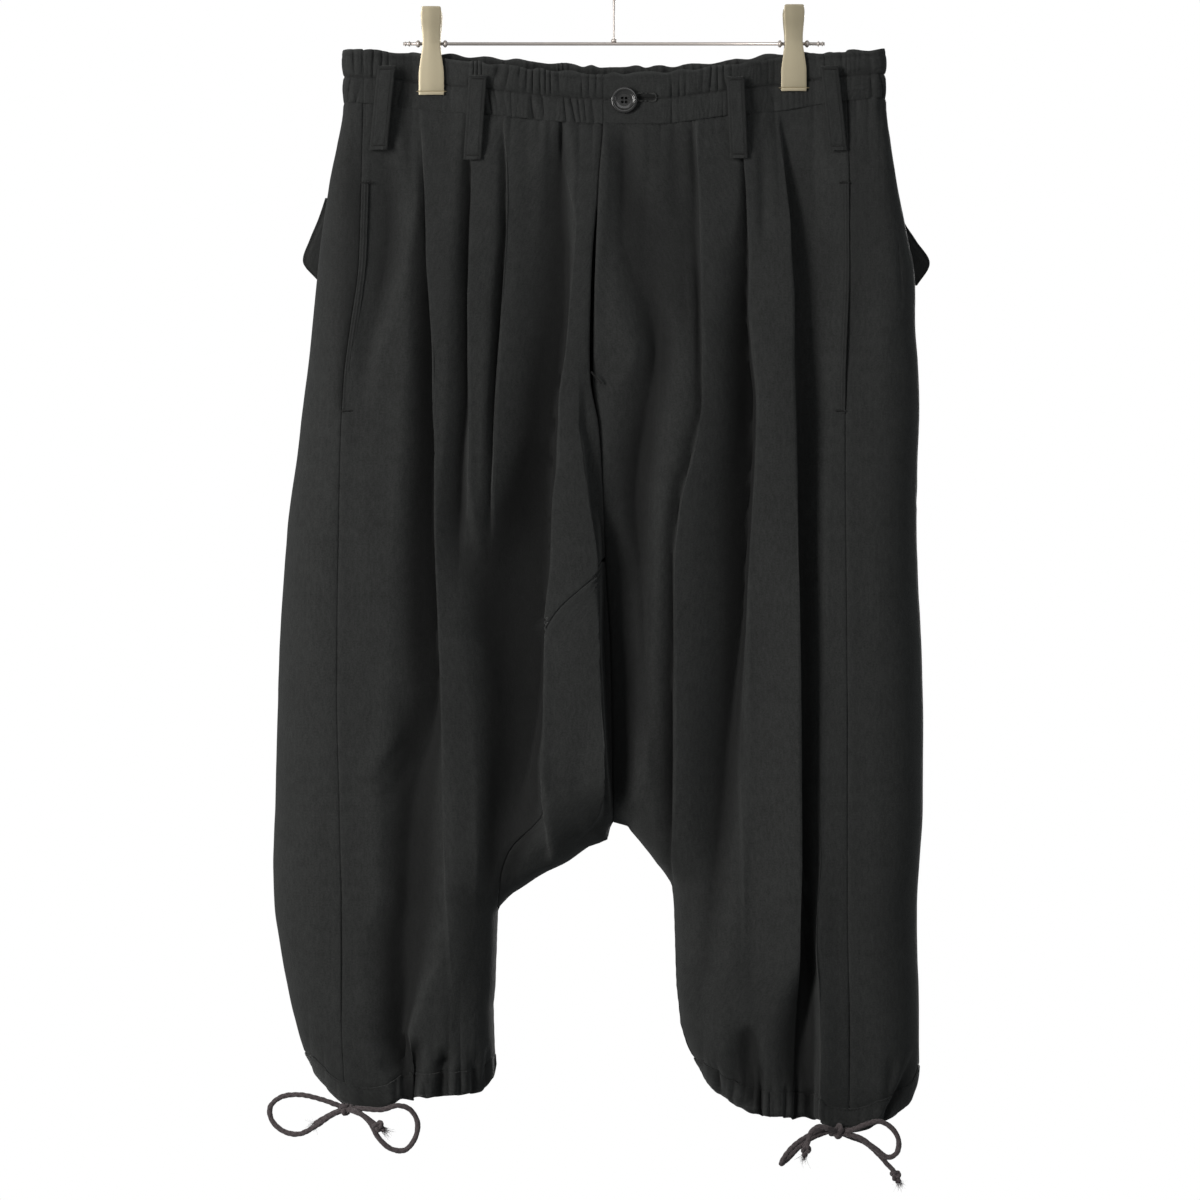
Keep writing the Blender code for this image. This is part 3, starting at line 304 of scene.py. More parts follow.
LEFT_HEM = Table("x drop", (
    (-220, 758), (-214, 763), (-208, 769), (-200, 774.5), (-190, 777.5), (-178, 779.5), (-168, 778),
    (-160, 774), (-154, 770.5), (-140, 769.5), (-127, 769), (-110, 768), (-97, 767), (-90, 760),
))
RIGHT_HEM = Table("x drop", (
    (56, 761), (66, 764), (76, 770), (94.5, 780), (105.5, 782.5), (133, 784.5), (148, 785.5),
    (153, 788), (157, 793), (172.5, 795.5), (184, 793.5), (192, 789.5), (202, 787), (216, 779),
    (223.5, 768),
))
LEFT_FLAP = Table("drop x", (
    (107, -214.5), (130, -223), (152, -232), (158, -230.5), (168, -220.5),
))
RIGHT_FLAP = Table("drop x", (
    (106, 209), (129, 218), (153, 235.5), (160, 236), (171, 226.5),
))
CROTCH_DRAW = Draw("beside the crotch fold", 1, 0.8, (
    (333.5, -12, 0, 10, 3.5), (362.5, -9, 6, 21.5, 3.5), (391.5, -8, 8, 30.5, 3.5),
    (420.5, -8, 10, 33, 3.5), (471, -6, 12.5, 37.5, 3.5), (521.5, -3, 12, 29, 3.5),
    (543, -1.5, 9, 24.5, 3.5), (565, -1, 2, 20, 3.5), (583, -1, 0, 14.5, 3.5),
))
LEFT_FOLDS = (
    Fold("outer pleat", -1, 4, 30, (
        (51.5, -141, 1, 0.5), (102.5, -138.5, 3, 3), (131, -137.5, 4, 5), (153, -137, 5, 6),
        (189, -134.5, 6, 7), (225, -132.5, 6.5, 7), (261.5, -132, 7, 7), (297.5, -130.5, 7, 7),
        (333.5, -130.5, 7.5, 7), (377, -129.5, 7.5, 7), (420.5, -127.5, 7, 6), (471, -125.5, 6, 5),
        (521.5, -124.5, 5, 4), (565, -124, 4, 3), (608.5, -122.5, 2.5, 1.5), (659, -119.5, 1, 0),
        (724, -115, 0, 0), (767.5, -119, 0, 0),
    )),
    Fold("second pleat", -1, 3.5, 24, (
        (51.5, -105.5, 1, 0.5), (102.5, -104.5, 3, 3), (131, -105, 4, 4), (189, -106.5, 4.5, 4.5),
        (225, -106, 5, 4.5), (261.5, -105.5, 4.5, 4), (297.5, -105, 3.5, 3),
        (333.5, -105.5, 2, 1.5), (362.5, -106.5, 0.5, 0), (406, -107, 0, 0), (767.5, -104.5, 0, 0),
    )),
    Fold("third pleat", -1, 3.5, 30, (
        (51.5, -80.5, 1, 0.5), (102.5, -78.5, 3, 3), (131, -79, 4, 4), (189, -82, 4.5, 4.5),
        (225, -83.5, 4.5, 4), (261.5, -86, 4, 3.5), (297.5, -87, 3, 2.5), (333.5, -88.5, 1.5, 1),
        (362.5, -89, 0.4, 0), (406, -89, 0, 0), (767.5, -97, 0, 0),
    )),
    Fold("gusset fold, outer edge", -1, 4.5, 34, (
        (51.5, -38, 0.5, 0.2), (88, -35, 1, 1), (102.5, -32, 1.2, 1.6), (131, -27.5, 2.4, 3.4),
        (153, -29, 4, 5), (189, -32, 6, 6), (225, -35, 8, 7), (261.5, -40, 10, 7.5),
        (297.5, -41, 11, 8), (333.5, -45, 12, 8), (377, -46, 12.5, 8), (420.5, -50, 13, 8),
        (471, -51, 13, 8), (521.5, -52.5, 12, 7), (550.5, -51.5, 9, 5), (565, -49.5, 10, 3),
        (583, -47, 8, 1), (597.5, -45, 4, 0), (612, -45, 0, 0), (767.5, -97, 0, 0),
    )),
    Fold("gusset fold, centre edge", 1, 5, 34, (
        (51.5, -17.5, 0, 0), (232.5, -22, 0.5, 0), (276, -22, 3, 1), (297.5, -19.5, 5.5, 2.5),
        (333.5, -17, 8, 4), (377, -12, 10, 5), (420.5, -11, 11, 6), (471, -9, 12.5, 6.5),
        (521.5, -6.5, 12.5, 7), (543, -6.5, 11, 6), (561.5, -10.5, 5, 1), (586.5, -32, 0, 0),
        (767.5, -97, 0, 0),
    )),
    Draw("beside the outer pleat", -1, 1, (
        (51.5, -142, 0, 7, 3), (102.5, -139.5, 4, 6, 3), (131, -138.5, 6, 8.5, 3),
        (153, -137.5, 8, 14.5, 3), (189, -135.5, 10, 17.5, 3), (225, -133, 12, 19.5, 3),
        (261.5, -132.5, 13, 22.5, 3.5), (297.5, -131, 14, 26, 3.5), (333.5, -131, 15, 29.5, 3.5),
        (377, -130.5, 15, 33, 3.5), (420.5, -129, 15, 36, 4.5), (471, -127.5, 13, 39, 5),
        (507, -133, 10, 39, 14.5), (536, -144, 4, 32, 26), (565, -151.5, 0, 26, 29),
    )),
    Draw("down the left leg", -1, 0.85, (
        (478, -142, 0, 29, 19), (521.5, -142, 6, 32, 27.5), (565, -147.5, 10, 24.5, 36),
        (594, -150, 10.5, 23, 37.5), (622.5, -150.5, 10.5, 21.5, 39), (659, -153.5, 11, 32, 33),
        (695, -152.5, 12, 30.5, 16), (724, -154, 12, 27.5, 6), (742, -154, 9, 19, 4.5),
        (760, -155, 4, 10, 4.5), (789, -155, 0, 6, 4.5),
    )),
    Draw("beside the second pleat", -1, 1, (
        (51.5, -106.5, 2, 6, 3), (102.5, -105.5, 8, 11.5, 3), (131, -106.5, 7.5, 11, 3),
        (189, -107, 7.5, 11, 3), (225, -107, 7.5, 11, 3), (261.5, -106.5, 7.5, 12.5, 3),
        (297.5, -108.5, 8, 11.5, 4.5), (333.5, -110, 8, 13, 8.5), (362.5, -111, 6, 13, 14.5),
        (391.5, -111, 3, 13, 21.5), (420.5, -111, 0, 14.5, 21.5),
    )),
    Draw("beside the third pleat", -1, 1, (
        (51.5, -81, 0.8, 4.5, 2.5), (102.5, -79.5, 4.5, 7, 2.5), (131, -79.5, 5, 6.5, 2.5),
        (189, -82.5, 6.5, 8.5, 2.5), (225, -85, 6.5, 7, 2.5), (261.5, -87, 6, 7, 2.5),
        (297.5, -88.5, 5, 7, 3), (333.5, -90, 3, 6.5, 3.5), (362.5, -90, 0, 6.5, 3.5),
    )),
    Draw("beside the fly", -1, 0.85, (
        (51.5, -39, 2, 10, 6), (88, -38, 7, 21.5, 11.5), (102.5, -38.5, 7.5, 26, 11.5),
        (131, -36.5, 8.5, 30.5, 10), (153, -35, 9.5, 33, 8.5), (189, -35, 10, 40.5, 6),
        (225, -37, 12, 42, 5), (261.5, -41.5, 13, 42, 4.5), (297.5, -44.5, 14, 43.5, 4.5),
        (333.5, -46, 9, 43.5, 4.5), (370, -46.5, 2, 40.5, 4.5), (391.5, -48, 0, 36, 4.5),
    )),
    Draw("beside the gusset fold", -1, 0.42, (
        (290, -43, 0, 36, 4.5), (319, -45, 6, 50.5, 4.5), (348, -46, 13, 62, 4.5),
        (377, -47, 17, 65, 4.5), (420.5, -50, 18, 63.5, 5), (449.5, -51.5, 18, 56.5, 6),
        (471, -52.5, 18, 53.5, 6), (521.5, -61, 17, 42, 13), (565, -74, 14, 27.5, 32),
        (594, -82, 9, 19, 33), (615.5, -85.5, 4, 16, 29), (644.5, -88.5, 0, 14.5, 21.5),
    )),
    Draw("behind the pocket", -1, 1, (
        (51.5, -166.5, 0, 17.5, 11.5), (102.5, -165, 5, 24.5, 17.5), (131, -165, 6, 24.5, 19),
        (153, -166.5, 6, 23, 19), (189, -172, 4.5, 17.5, 16), (225, -179.5, 3, 11.5, 11.5),
        (268.5, -182.5, 0, 8.5, 8.5),
    )),
    CROTCH_DRAW,
)
RIGHT_FOLDS = (
    Fold("edge beside the placket", -1, 4, 26, (
        (145.5, 34.5, 0, 0), (189, 36, 0.3, 0), (261.5, 33, 1, 0.5), (333.5, 26, 1.5, 0.5),
        (420.5, 24.5, 1, 0.5), (471, 24.5, 0.3, 0), (521.5, 24.5, 0, 0), (767.5, 73, 0, 0),
    )),
    Fold("inner pleat", -1, 3.5, 30, (
        (51.5, 60.5, 1, 0.5), (102.5, 62.5, 3, 3), (153, 64, 4, 5), (189, 64, 5, 6),
        (225, 65, 6, 6), (261.5, 64, 7, 6), (297.5, 58.5, 7.5, 6), (333.5, 49.5, 8, 6),
        (377, 44.5, 8, 6), (420.5, 44, 8, 6), (471, 44, 8.5, 6), (521.5, 44, 8.5, 6),
        (565, 43, 7, 5), (594, 42.5, 5, 3), (622.5, 44.5, 2, 1), (651.5, 47.5, 0, 0),
        (767.5, 73, 0, 0),
    )),
    Fold("fourth pleat, inner edge", -1, 3.5, 28, (
        (51.5, 94, 1, 0.5), (102.5, 97, 3, 3), (131, 98, 5, 5), (153, 99, 6, 6), (189, 98, 8, 6.5),
        (225, 100.5, 10, 7), (261.5, 103, 11, 7), (297.5, 102.5, 11, 6), (333.5, 101, 10, 5),
        (377, 98, 8, 3), (420.5, 96.5, 7, 2), (471, 94, 6, 1), (521.5, 92.5, 5.5, 0),
        (594, 94, 3, 0), (637, 94.5, 1, 0), (680.5, 95, 0, 0), (767.5, 99.5, 0, 0),
    )),
    Fold("fourth pleat, outer edge", 1, 4.5, 30, (
        (51.5, 122, 1, 0.5), (80.5, 124, 2, 2), (102.5, 126, 4, 3.5), (131, 128.5, 6, 5),
        (153, 129, 8, 6), (189, 130.5, 9, 6.5), (225, 130.5, 10, 7), (261.5, 131.5, 11, 7),
        (333.5, 132.5, 12, 7.5), (420.5, 134, 13, 8), (521.5, 134.5, 13.5, 8.5),
        (594, 135, 13.5, 9), (659, 134, 11, 7), (695, 133, 5, 4), (731, 131.5, 1.5, 1),
        (767.5, 130, 0, 0),
    )),
    Fold("edge across the low opening", -1, 3.5, 24, (
        (463.5, 148.5, 0, 0), (521.5, 149.5, 1, 0.5), (565, 149, 2, 1.2), (594, 149, 3, 1.8),
        (622.5, 147.5, 4, 2.2), (659, 146, 5, 2.5), (695, 148.5, 5.5, 2.5), (731, 150, 5.5, 2),
        (760, 150, 4.5, 2), (792.5, 150, 4, 1.5),
    )),
    Draw("beside the placket", -1, 1, (
        (51.5, 7, 2, 11.5, 13), (80.5, 6.5, 5, 13, 19), (102.5, 6.5, 6, 13, 24.5),
        (138.5, 5.5, 4.5, 14.5, 43.5), (167.5, 14, 4, 23, 36), (196.5, 26, 5.5, 24.5, 21.5),
        (225, 30, 8.5, 16, 21.5), (261.5, 24.5, 8, 29, 26), (297.5, 18.5, 9.5, 24.5, 26),
        (333.5, 15.5, 8.5, 24.5, 24.5), (377, 18.5, 7, 26, 21.5), (420.5, 21.5, 5.5, 26, 19),
        (471, 24.5, 3.5, 27.5, 11.5), (521.5, 26, 2, 24.5, 10), (565, 27.5, 0, 21.5, 10),
    )),
    Draw("below the lap of the fly", -1, 0.5, (
        (44.5, 56, 1, 50.5, 6), (80.5, 57.5, 4.5, 60.5, 6), (153, 58.5, 5.2, 63.5, 6),
        (189, 60, 4.6, 58, 6), (225, 60, 3, 36, 6), (261.5, 58.5, 1, 29, 6), (290, 54.5, 0, 29, 6),
    )),
    Draw("beside the inner pleat", -1, 1, (
        (51.5, 60, 0.8, 4.5, 2.5), (102.5, 62, 3.5, 5, 2.5), (153, 63, 4, 6.5, 2.5),
        (225, 64, 4.5, 8, 3), (261.5, 63.5, 4.5, 8.5, 3), (297.5, 57, 4, 10, 3),
        (333.5, 48, 4, 11, 3), (377, 43, 5, 11.5, 3), (420.5, 43, 6, 13, 3),
        (471, 43, 7.5, 17.5, 3), (521.5, 43, 8, 19, 3), (565, 42.5, 7, 14.5, 3),
        (594, 41.5, 5, 10, 3), (622.5, 44.5, 2, 7, 4.5), (644.5, 47.5, 0, 6, 4.5),
    )),
    Draw("beside the fourth pleat's inner edge", -1, 1.5, (
        (51.5, 93, 0.8, 4.5, 2.5), (102.5, 96.5, 3.5, 6, 2.5), (131, 97.5, 6, 11.5, 2.5),
        (153, 98, 8, 20, 2.5), (189, 97.5, 10, 26, 2.5), (225, 99.5, 13, 30.5, 3),
        (261.5, 102.5, 14.5, 36, 3), (297.5, 101.5, 14.5, 39, 3.5), (333.5, 99.5, 14.5, 42, 3.5),
        (377, 96.5, 13.5, 40.5, 4.5), (420.5, 94, 12.5, 39, 6.5), (471, 88, 10.5, 34.5, 11.5),
        (521.5, 82, 8.5, 30.5, 19), (565, 78, 7, 26, 21.5), (622.5, 70.5, 5.5, 23, 23),
        (659, 66.5, 4.5, 19, 21.5), (695, 62, 3, 11.5, 17.5), (731, 62, 0, 8.5, 14.5),
    )),
    Draw("beside the fourth pleat's outer edge", 1, 0.7, (
        (51.5, 122.5, 0.8, 21.5, 3), (80.5, 125, 3, 36, 3), (102.5, 126.5, 4, 50.5, 3),
        (153, 130, 4.6, 60.5, 3.5), (189, 131, 4.6, 50.5, 3.5), (225, 132, 5, 36, 3.5),
        (261.5, 133, 5.8, 29, 4), (333.5, 133.5, 7, 24.5, 4.5), (420.5, 135, 8, 21, 4.5),
        (521.5, 136, 9, 16.5, 4.5), (594, 137, 10, 13.5, 5), (622.5, 138.5, 11, 11, 6),
        (659, 140, 12, 8.5, 10), (695, 140.5, 13, 8.5, 24.5), (731, 140.5, 12, 10, 32),
        (756.5, 140, 9.5, 10, 29), (774.5, 140, 7, 10, 21.5), (792.5, 140, 5, 10, 17.5),
    )),
    CROTCH_DRAW,
)
LEFT_BACK_FOLDS = (
    Fold("back ridge by the side", 0, 20, 26, (
        (50, -160, 1, 0), (200, -168, 6, 0), (400, -176, 9, 0), (600, -178, 7, 0), (770, -172, 0, 0),
    )),
    Fold("back hollow by the side", 0, 18, 18, (
        (60, -132, 0, 0), (220, -137, -5, 0), (420, -141, -7, 0), (640, -146, -5, 0),
        (770, -150, 0, 0),
    )),
    Fold("back middle ridge", 0, 14, 24, (
        (50, -96, 2, 0), (200, -103, 7, 0), (400, -110, 10, 0), (560, -116, 8, 0), (700, -122, 3, 0),
        (770, -125, 0, 0),
    )),
    Fold("back inner ridge", 0, 16, 20, (
        (54, -45, 2, 0), (180, -48, 6, 0), (330, -56, 8, 0), (480, -66, 6, 0), (580, -74, 2, 0),
        (770, -100, 0, 0),
    )),
)
RIGHT_BACK_FOLDS = (
    Fold("back ridge by the side", 0, 24, 20, (
        (50, 158, 1, 0), (180, 165, 6, 0), (380, 168, 8, 0), (590, 172, 8, 0), (770, 176, 0, 0),
    )),
    Fold("back hollow by the side", 0, 18, 18, (
        (60, 128, 0, 0), (240, 134, -5, 0), (440, 137, -6, 0), (660, 143, -5, 0), (770, 146, 0, 0),
    )),
    Fold("back middle ridge", 0, 26, 15, (
        (50, 98, 2, 0), (190, 101, 8, 0), (390, 104, 9, 0), (570, 108, 8, 0), (700, 112, 3, 0),
        (770, 118, 0, 0),
    )),
    Fold("back inner ridge", 0, 20, 16, (
        (54, 42, 2, 0), (170, 44, 5, 0), (320, 50, 7, 0), (480, 56, 6, 0), (580, 62, 2, 0),
        (770, 92, 0, 0),
    )),
)

LOOPS = (
    ("loop_strip_front_1", -167, -173, 14, 75.5, 12.5, -1),
    ("loop_strip_front_2", -100, -104, 21, 83, 12.5, -1),
    ("loop_strip_front_3", 89, 91.5, 22, 82, 12.5, -1),
    ("loop_strip_front_4", 158, 164.5, 14, 76, 12.5, -1),
    ("loop_strip_back_1", -118, -119, 14, 72, 12.5, 1),
    ("loop_strip_back_2", -3, -3, 22, 84, 12.5, 1),
    ("loop_strip_back_3", 118, 119, 14, 72, 12.5, 1),
)
# Clip plate: height, distance out and width, from the finger end to the grip.
CLIP_ROWS = (
    (-63.8, 9.4, 14.6), (-72, 8.0, 14.2), (-80, 6.2, 13.2), (-86, 5.4, 12.3), (-91.5, 5.0, 12.2),
    (-96, 5.0, 13.2), (-103.3, 5.1, 15.4), (-112.9, 5.2, 17.6), (-121, 5.2, 17.7), (-125, 5.0, 17.7),
    (-128.4, 5.0, 17.7),
)


@dataclass(frozen=True)
class Crease:
    """A soft trough or ridge on the hung cloth, from one point to another.

    The points are (x, drop) in millimetres as seen from the front or the back,
    height is outward, and the two widths are its flanks.
    """

    x0: float
    drop0: float
    x1: float
    drop1: float
    height: float
    width: float
    other: float = 0.0

    def relief(self, x: Array, drop: Array) -> Array:
        """Give the outward height that the crease adds at each point.

        Args:
            x: Places across, in metres.
            drop: Places down, in metres.

        Returns:
            Height in metres, fading out past both ends.
        """
        start = np.array((self.x0, self.drop0)) * MM
        along = np.array((self.x1, self.drop1)) * MM - start
        length = float(np.hypot(*along))
        dx, dy = x - start[0], drop - start[1]
        t = (dx * along[0] + dy * along[1]) / length ** 2
        off = (dx * along[1] - dy * along[0]) / length
        flank = np.where(off < 0, self.width, self.other or self.width) * MM
        taper = np.clip(4 * t * (1 - t), 0, 1) ** 0.7
        return self.height * MM * np.exp(-(off / flank) ** 2) * taper


# Main creases, placed one by one: from (x, drop) to (x, drop), height outward and flanks.
LEFT_CREASES = (
    Crease(-179, 538, -154, 498, 1.6, 4, 9), Crease(-170, 560, -146, 520, -1.1, 5, 7),
    Crease(-38.5, 50, -38.4, 80, -2.2, 1.6, 4), Crease(-33, 50, -32, 96, 0.9, 3, 6),
    Crease(-160, 60, -163, 135, 0.9, 5, 9), Crease(-150, 52, -152, 108, -0.9, 4, 6),
    Crease(-62, 60, -66, 175, -0.9, 6, 9), Crease(-52, 58, -55, 140, 0.8, 4, 7),
    Crease(-46.5, 496, -54.6, 528, 1.2, 2, 7), Crease(-54.6, 520, -51.5, 560, 1.0, 2, 7),
    Crease(-113, 690, -117, 752, -0.9, 5, 5),
    Crease(-100, 690, -101, 758, 1.2, 5, 7), Crease(-186, 300, -176, 420, 0.7, 7, 10),
    Crease(-120, 610, -148, 655, 0.9, 7, 10), Crease(-96, 640, -110, 700, -0.8, 6, 8),
    Crease(-165, 640, -172, 735, 0.9, 8, 8), Crease(-176, 180, -187, 245, -0.7, 6, 9),
)
RIGHT_CREASES = (
    Crease(57, 135, 58.5, 285, 1.6, 1.8, 4.0), Crease(28, 52, 25, 120, -1.0, 5, 7),
    Crease(44, 50, 47, 130, -0.9, 5, 6), Crease(53, 50, 55, 118, 0.8, 4, 5),
    Crease(110, 62, 109, 150, -2.2, 4, 5), Crease(146, 60, 149, 140, -0.8, 5, 7),
    Crease(86, 715, 91, 765, -1.2, 5, 6), Crease(75, 700, 78, 755, 1.1, 5, 7),
    Crease(62, 600, 84, 690, 0.9, 7, 11), Crease(112, 520, 118, 690, -0.7, 6, 8),
    Crease(152, 690, 156, 780, 0.8, 5, 7), Crease(20, 300, 26, 420, -0.7, 7, 9),
    Crease(10, 470, 22, 560, 0.8, 7, 9), Crease(147, 250, 152, 400, 0.6, 6, 9),
)
GUSSET_CREASES = (
    Crease(-54.6, 520, -48, 575, 1.1, 2, 6), Crease(-45, 585, -62, 600, -0.8, 3, 4),
    Crease(-22, 500, -30, 570, -0.7, 5, 8),
)
LEFT_BACK_CREASES = (
    Crease(-150, 210, -190, 300, 1.2, 6, 12), Crease(-60, 250, -120, 330, 1.0, 7, 14),
    Crease(-40, 400, -90, 520, 1.3, 7, 14), Crease(-15, 470, -60, 590, -1.2, 6, 12),
    Crease(-150, 540, -185, 620, 1.1, 8, 14),
    Crease(-60, 60, -64, 170, -0.9, 6, 8), Crease(-130, 60, -133, 150, 0.9, 6, 9),
    Crease(-165, 350, -172, 470, 0.8, 9, 13), Crease(-95, 140, -104, 260, -0.7, 7, 10),
)
RIGHT_BACK_CREASES = (
    Crease(150, 215, 188, 300, 1.1, 7, 12), Crease(55, 260, 110, 345, 1.0, 7, 13),
    Crease(38, 410, 84, 530, 1.2, 7, 13), Crease(14, 480, 50, 590, -1.2, 6, 12),
    Crease(140, 560, 182, 640, 1.0, 8, 14),
    Crease(62, 58, 66, 165, -0.9, 6, 8), Crease(132, 62, 136, 150, 0.9, 6, 9),
    Crease(100, 330, 112, 470, -0.8, 8, 12), Crease(20, 120, 26, 240, 0.6, 8, 10),
)
RIGHT_SIDE_SEAMS = (
    ((204.5, 299), (213, 313), (221.5, 324), (223, 334)), ((208, 142), (210.5, 188)),
)


class Grain:
    """Repeatable smooth noise on a seeded lattice."""

    def __init__(self, seed: int) -> None:
        """Fill the lattice.

        Args:
            seed: Picks one fixed pattern.
        """
        self.lattice = np.random.RandomState(seed).uniform(-1, 1, (64, 64))

    def at(self, u: Array, v: Array) -> Array:
        """Read the noise, from -1 to 1, at lattice coordinates.

        Args:
            u: Lattice coordinate along.
            v: Lattice coordinate down.

        Returns:
            The noise at each place.
        """
        i, j = np.floor(u).astype(int), np.floor(v).astype(int)
        s, t = u - i, v - j
        s, t = s * s * (3 - 2 * s), t * t * (3 - 2 * t)
        n = self.lattice
        top = n[i % 64, j % 64] * (1 - s) + n[(i + 1) % 64, j % 64] * s
        low = n[i % 64, (j + 1) % 64] * (1 - s) + n[(i + 1) % 64, (j + 1) % 64] * s
        return top * (1 - t) + low * t


ARCH = np.concatenate([LEFT_ARCH.data[::-1, ::-1], RIGHT_ARCH.data[1:, ::-1]])
# What each half has: -1 is the left and 1 the right, then -1 the front and 1 the back.
SIDES = {-1: "left", 1: "right"}
ARCHES = {-1: LEFT_ARCH, 1: RIGHT_ARCH}
FOLDS = {(-1, -1): LEFT_FOLDS, (1, -1): RIGHT_FOLDS, (-1, 1): LEFT_BACK_FOLDS, (1, 1): RIGHT_BACK_FOLDS}


@dataclass(frozen=True)
class TrouserForm:
    """The garment's plain form, its pressed folds and its panels' edges."""

    arch_top: float = 0.5695
    gusset_top: float = 0.378
    gusset_end: float = 0.631
    gusset_gap: float = 0.0003
    top_row: float = 0.056
    top_calm: float = 0.20
    hem_calm: float = 0.68
    hem_row: float = 0.770
    arch_calm: float = 0.015
    seam_fade: float = 0.010
    clip_reach: float = 0.026
    clip_press: float = 1.35
    pinch_range: tuple[float, float] = (0.02, 0.17)
    back_seam: float = 0.0030
    fly: float = -0.0005

    def arch_distance(self, x: Array, drop: Array) -> Array:
        """Measure in the flat from the crotch arch and the inner legs.

        Args:
            x: Places across.
            drop: Places down.

        Returns:
            The distance in metres.
        """
        point = np.stack(np.broadcast_arrays(x, drop), -1)[..., None, :]
        start, along = ARCH[:-1], np.diff(ARCH, axis=0)
        t = np.clip(((point - start) * along).sum(-1) / (along ** 2).sum(-1), 0, 1)
        return np.linalg.norm(point - start - t[..., None] * along, axis=-1).min(-1)

    def clip_share(self, x: Array) -> Array:
        """Give how much the clips press the cloth at x."""
        return np.clip(self.clip_press * sum(bump(x, clip, self.clip_reach) for clip in CLIP_X), 0, 1)

    def half_depth(self, x: Array, drop: Array) -> Array:
        """Give half the front-to-back depth of the plain form.

        Args:
            x: Places across.
            drop: Places down.

        Returns:
            The half depth in metres.
        """
        side = np.minimum(x - OUTLINE.at("left", drop), OUTLINE.at("right", drop) - x)
        half = DEPTH.at("half", drop) * rounded(side / DEPTH.at("edge", drop))
        pinch = (1 - CLIP_PINCH) * self.clip_share(x) * (1 - ease(drop, *self.pinch_range))
        return half * (1 - pinch) * rounded(self.arch_distance(x, drop) / ARCH_ROUND)

    def fold_shift(self, folds: Iterable[Fold | Draw], x: Array, drop: Array) -> tuple[Array, Array]:
        """Work out how the folds carry the cloth.

        Args:
            folds: The folds of this panel.
            x: Places across, before any fold.
            drop: Places down.

        Returns:
            The shift sideways and the shift outward.
        """
        side, out = np.zeros_like(x), np.zeros_like(x)
        for fold in folds:
            sideways, outward = fold.carry(x, drop)
            side, out = side + sideways, out + outward
        return side, out

    def hollow(self, folds: Iterable[Fold | Draw], x: Array, drop: Array) -> Array:
        """Give how deep the cloth lies in its hollows.

        Args:
            folds: The folds of this panel.
            x: Places across, before any fold.
            drop: Places down.

        Returns:
            Depth in metres, nothing on the crests.
        """
        return sum(np.clip(-fold.carry(x, drop)[1], 0, None) for fold in folds) + np.zeros_like(x)

    def surface(self, x: Array, drop: Array, folds: Iterable[Fold | Draw], facing: int) -> Array:
        """Place points on the wall's middle.

        Args:
            x: Places across, before any fold.
            drop: Places down.
            folds: The folds of this panel.
            facing: -1 on the front and 1 on the back.

        Returns:
            Rows of (X, Y, Z, x before the folds, drop).
        """
        side, out = self.fold_shift(folds, x, drop)
        arch = self.arch_distance(x, drop)
        calm = rounded(arch / self.arch_calm) * ease(drop - WAIST.at("lower", x), -0.001, 0.006)
        seam = SEAM_GAP * (1 - ease(arch, 0, self.seam_fade))
        y = facing * (self.half_depth(x, drop) + calm * out + seam)
        return np.stack([x + calm * side, y, -WAIST_DROP - drop, x, drop], -1)

    def row_drop(self, level: float, x: Array, hem: Table) -> Array:
        """Give the drop of a row at x, which follows the waist above and the hem below.

        Args:
            level: The row's level, which is its drop where neither edge pulls it.
            x: Places across.
            hem: The leg's hem line.

        Returns:
            The drop at each place.
        """
        top = WAIST.at("lower", x) - TUCK_UNDER
        bottom = hem.at("drop", x) - HEM_HEIGHT + TUCK_UNDER
        above = (top - self.top_row) * (1 - ease(level, self.top_row, self.top_calm))
        return level + above + (bottom - self.hem_row) * ease(level, self.hem_calm, self.hem_row)

    def settle(self, level: float, hem: Table, edge: Callable[[float], float]) -> float:
        """Find an edge's x on a row whose drop itself changes with x.

        Args:
            level: The row's level.
            hem: The leg's hem line.
            edge: Gives the edge's x at a drop.

        Returns:
            The edge's x on that row.
        """
        drop = level
        for _ in range(SETTLE_ROUNDS):
            drop = self.row_drop(level, edge(drop), hem)
        return float(edge(drop))

    def arch(self, side: int, drop: float) -> float:
        """Return the x of a half's arch and inner leg."""
        return float(np.interp(drop, ARCHES[side].column("drop"), ARCHES[side].column("x")))

    def centre(self, side: int, drop: float) -> float:
        """Return a front half's edge: the centre seam or fly, then the arch and the inner leg."""
        return self.arch(side, drop) if drop > self.arch_top else CENTRE.at("x", drop) + side * SEAM_GAP / 2

    def front_inner(self, side: int, drop: float) -> float:
        """Return a front's inner edge, which gives way to the gusset on the left."""
        if side < 0 and self.gusset_top <= drop <= self.gusset_end:
            return float(GUSSET_SEAM.at("x", drop))
        return self.centre(side, drop)

    def back_inner(self, side: int, drop: float) -> float:
        """Return a back's inner edge: the centre back seam, then the arch."""
        return self.arch(side, drop) if drop > self.arch_top else side * SEAM_GAP / 2 + self.back_seam

    def folds_at(self, x: float, facing: int) -> tuple[Fold | Draw, ...]:
        """Return the folds of the panel that lies at x."""
        return FOLDS[-1 if x < (self.fly if facing < 0 else 0) else 1, facing]

    def outward(self, x: float, drop: float, facing: int, window: float = 0.008) -> float:
        """Give how far out the dressed cloth reaches around a point.

        Args:
            x: The point's place across.
            drop: Its place down.
            facing: -1 for the front and 1 for the back.
            window: How far round the point the cloth counts.

        Returns:
            The distance out from the middle plane.
        """
        near = np.linspace(x - 2 * window, x + 2 * window, 41)
        if drop < WAIST.at("lower", x) + SEAM_GAP:
            return float(self.half_depth(near, drop).max()) + CHANNEL_SWELL + RUFFLE_HEIGHT
        points = self.surface(near, np.full_like(near, drop), self.folds_at(x, facing), facing)
        close = np.abs(points[:, 0] - x) < window
        return float((points[close, 1] * facing).max())


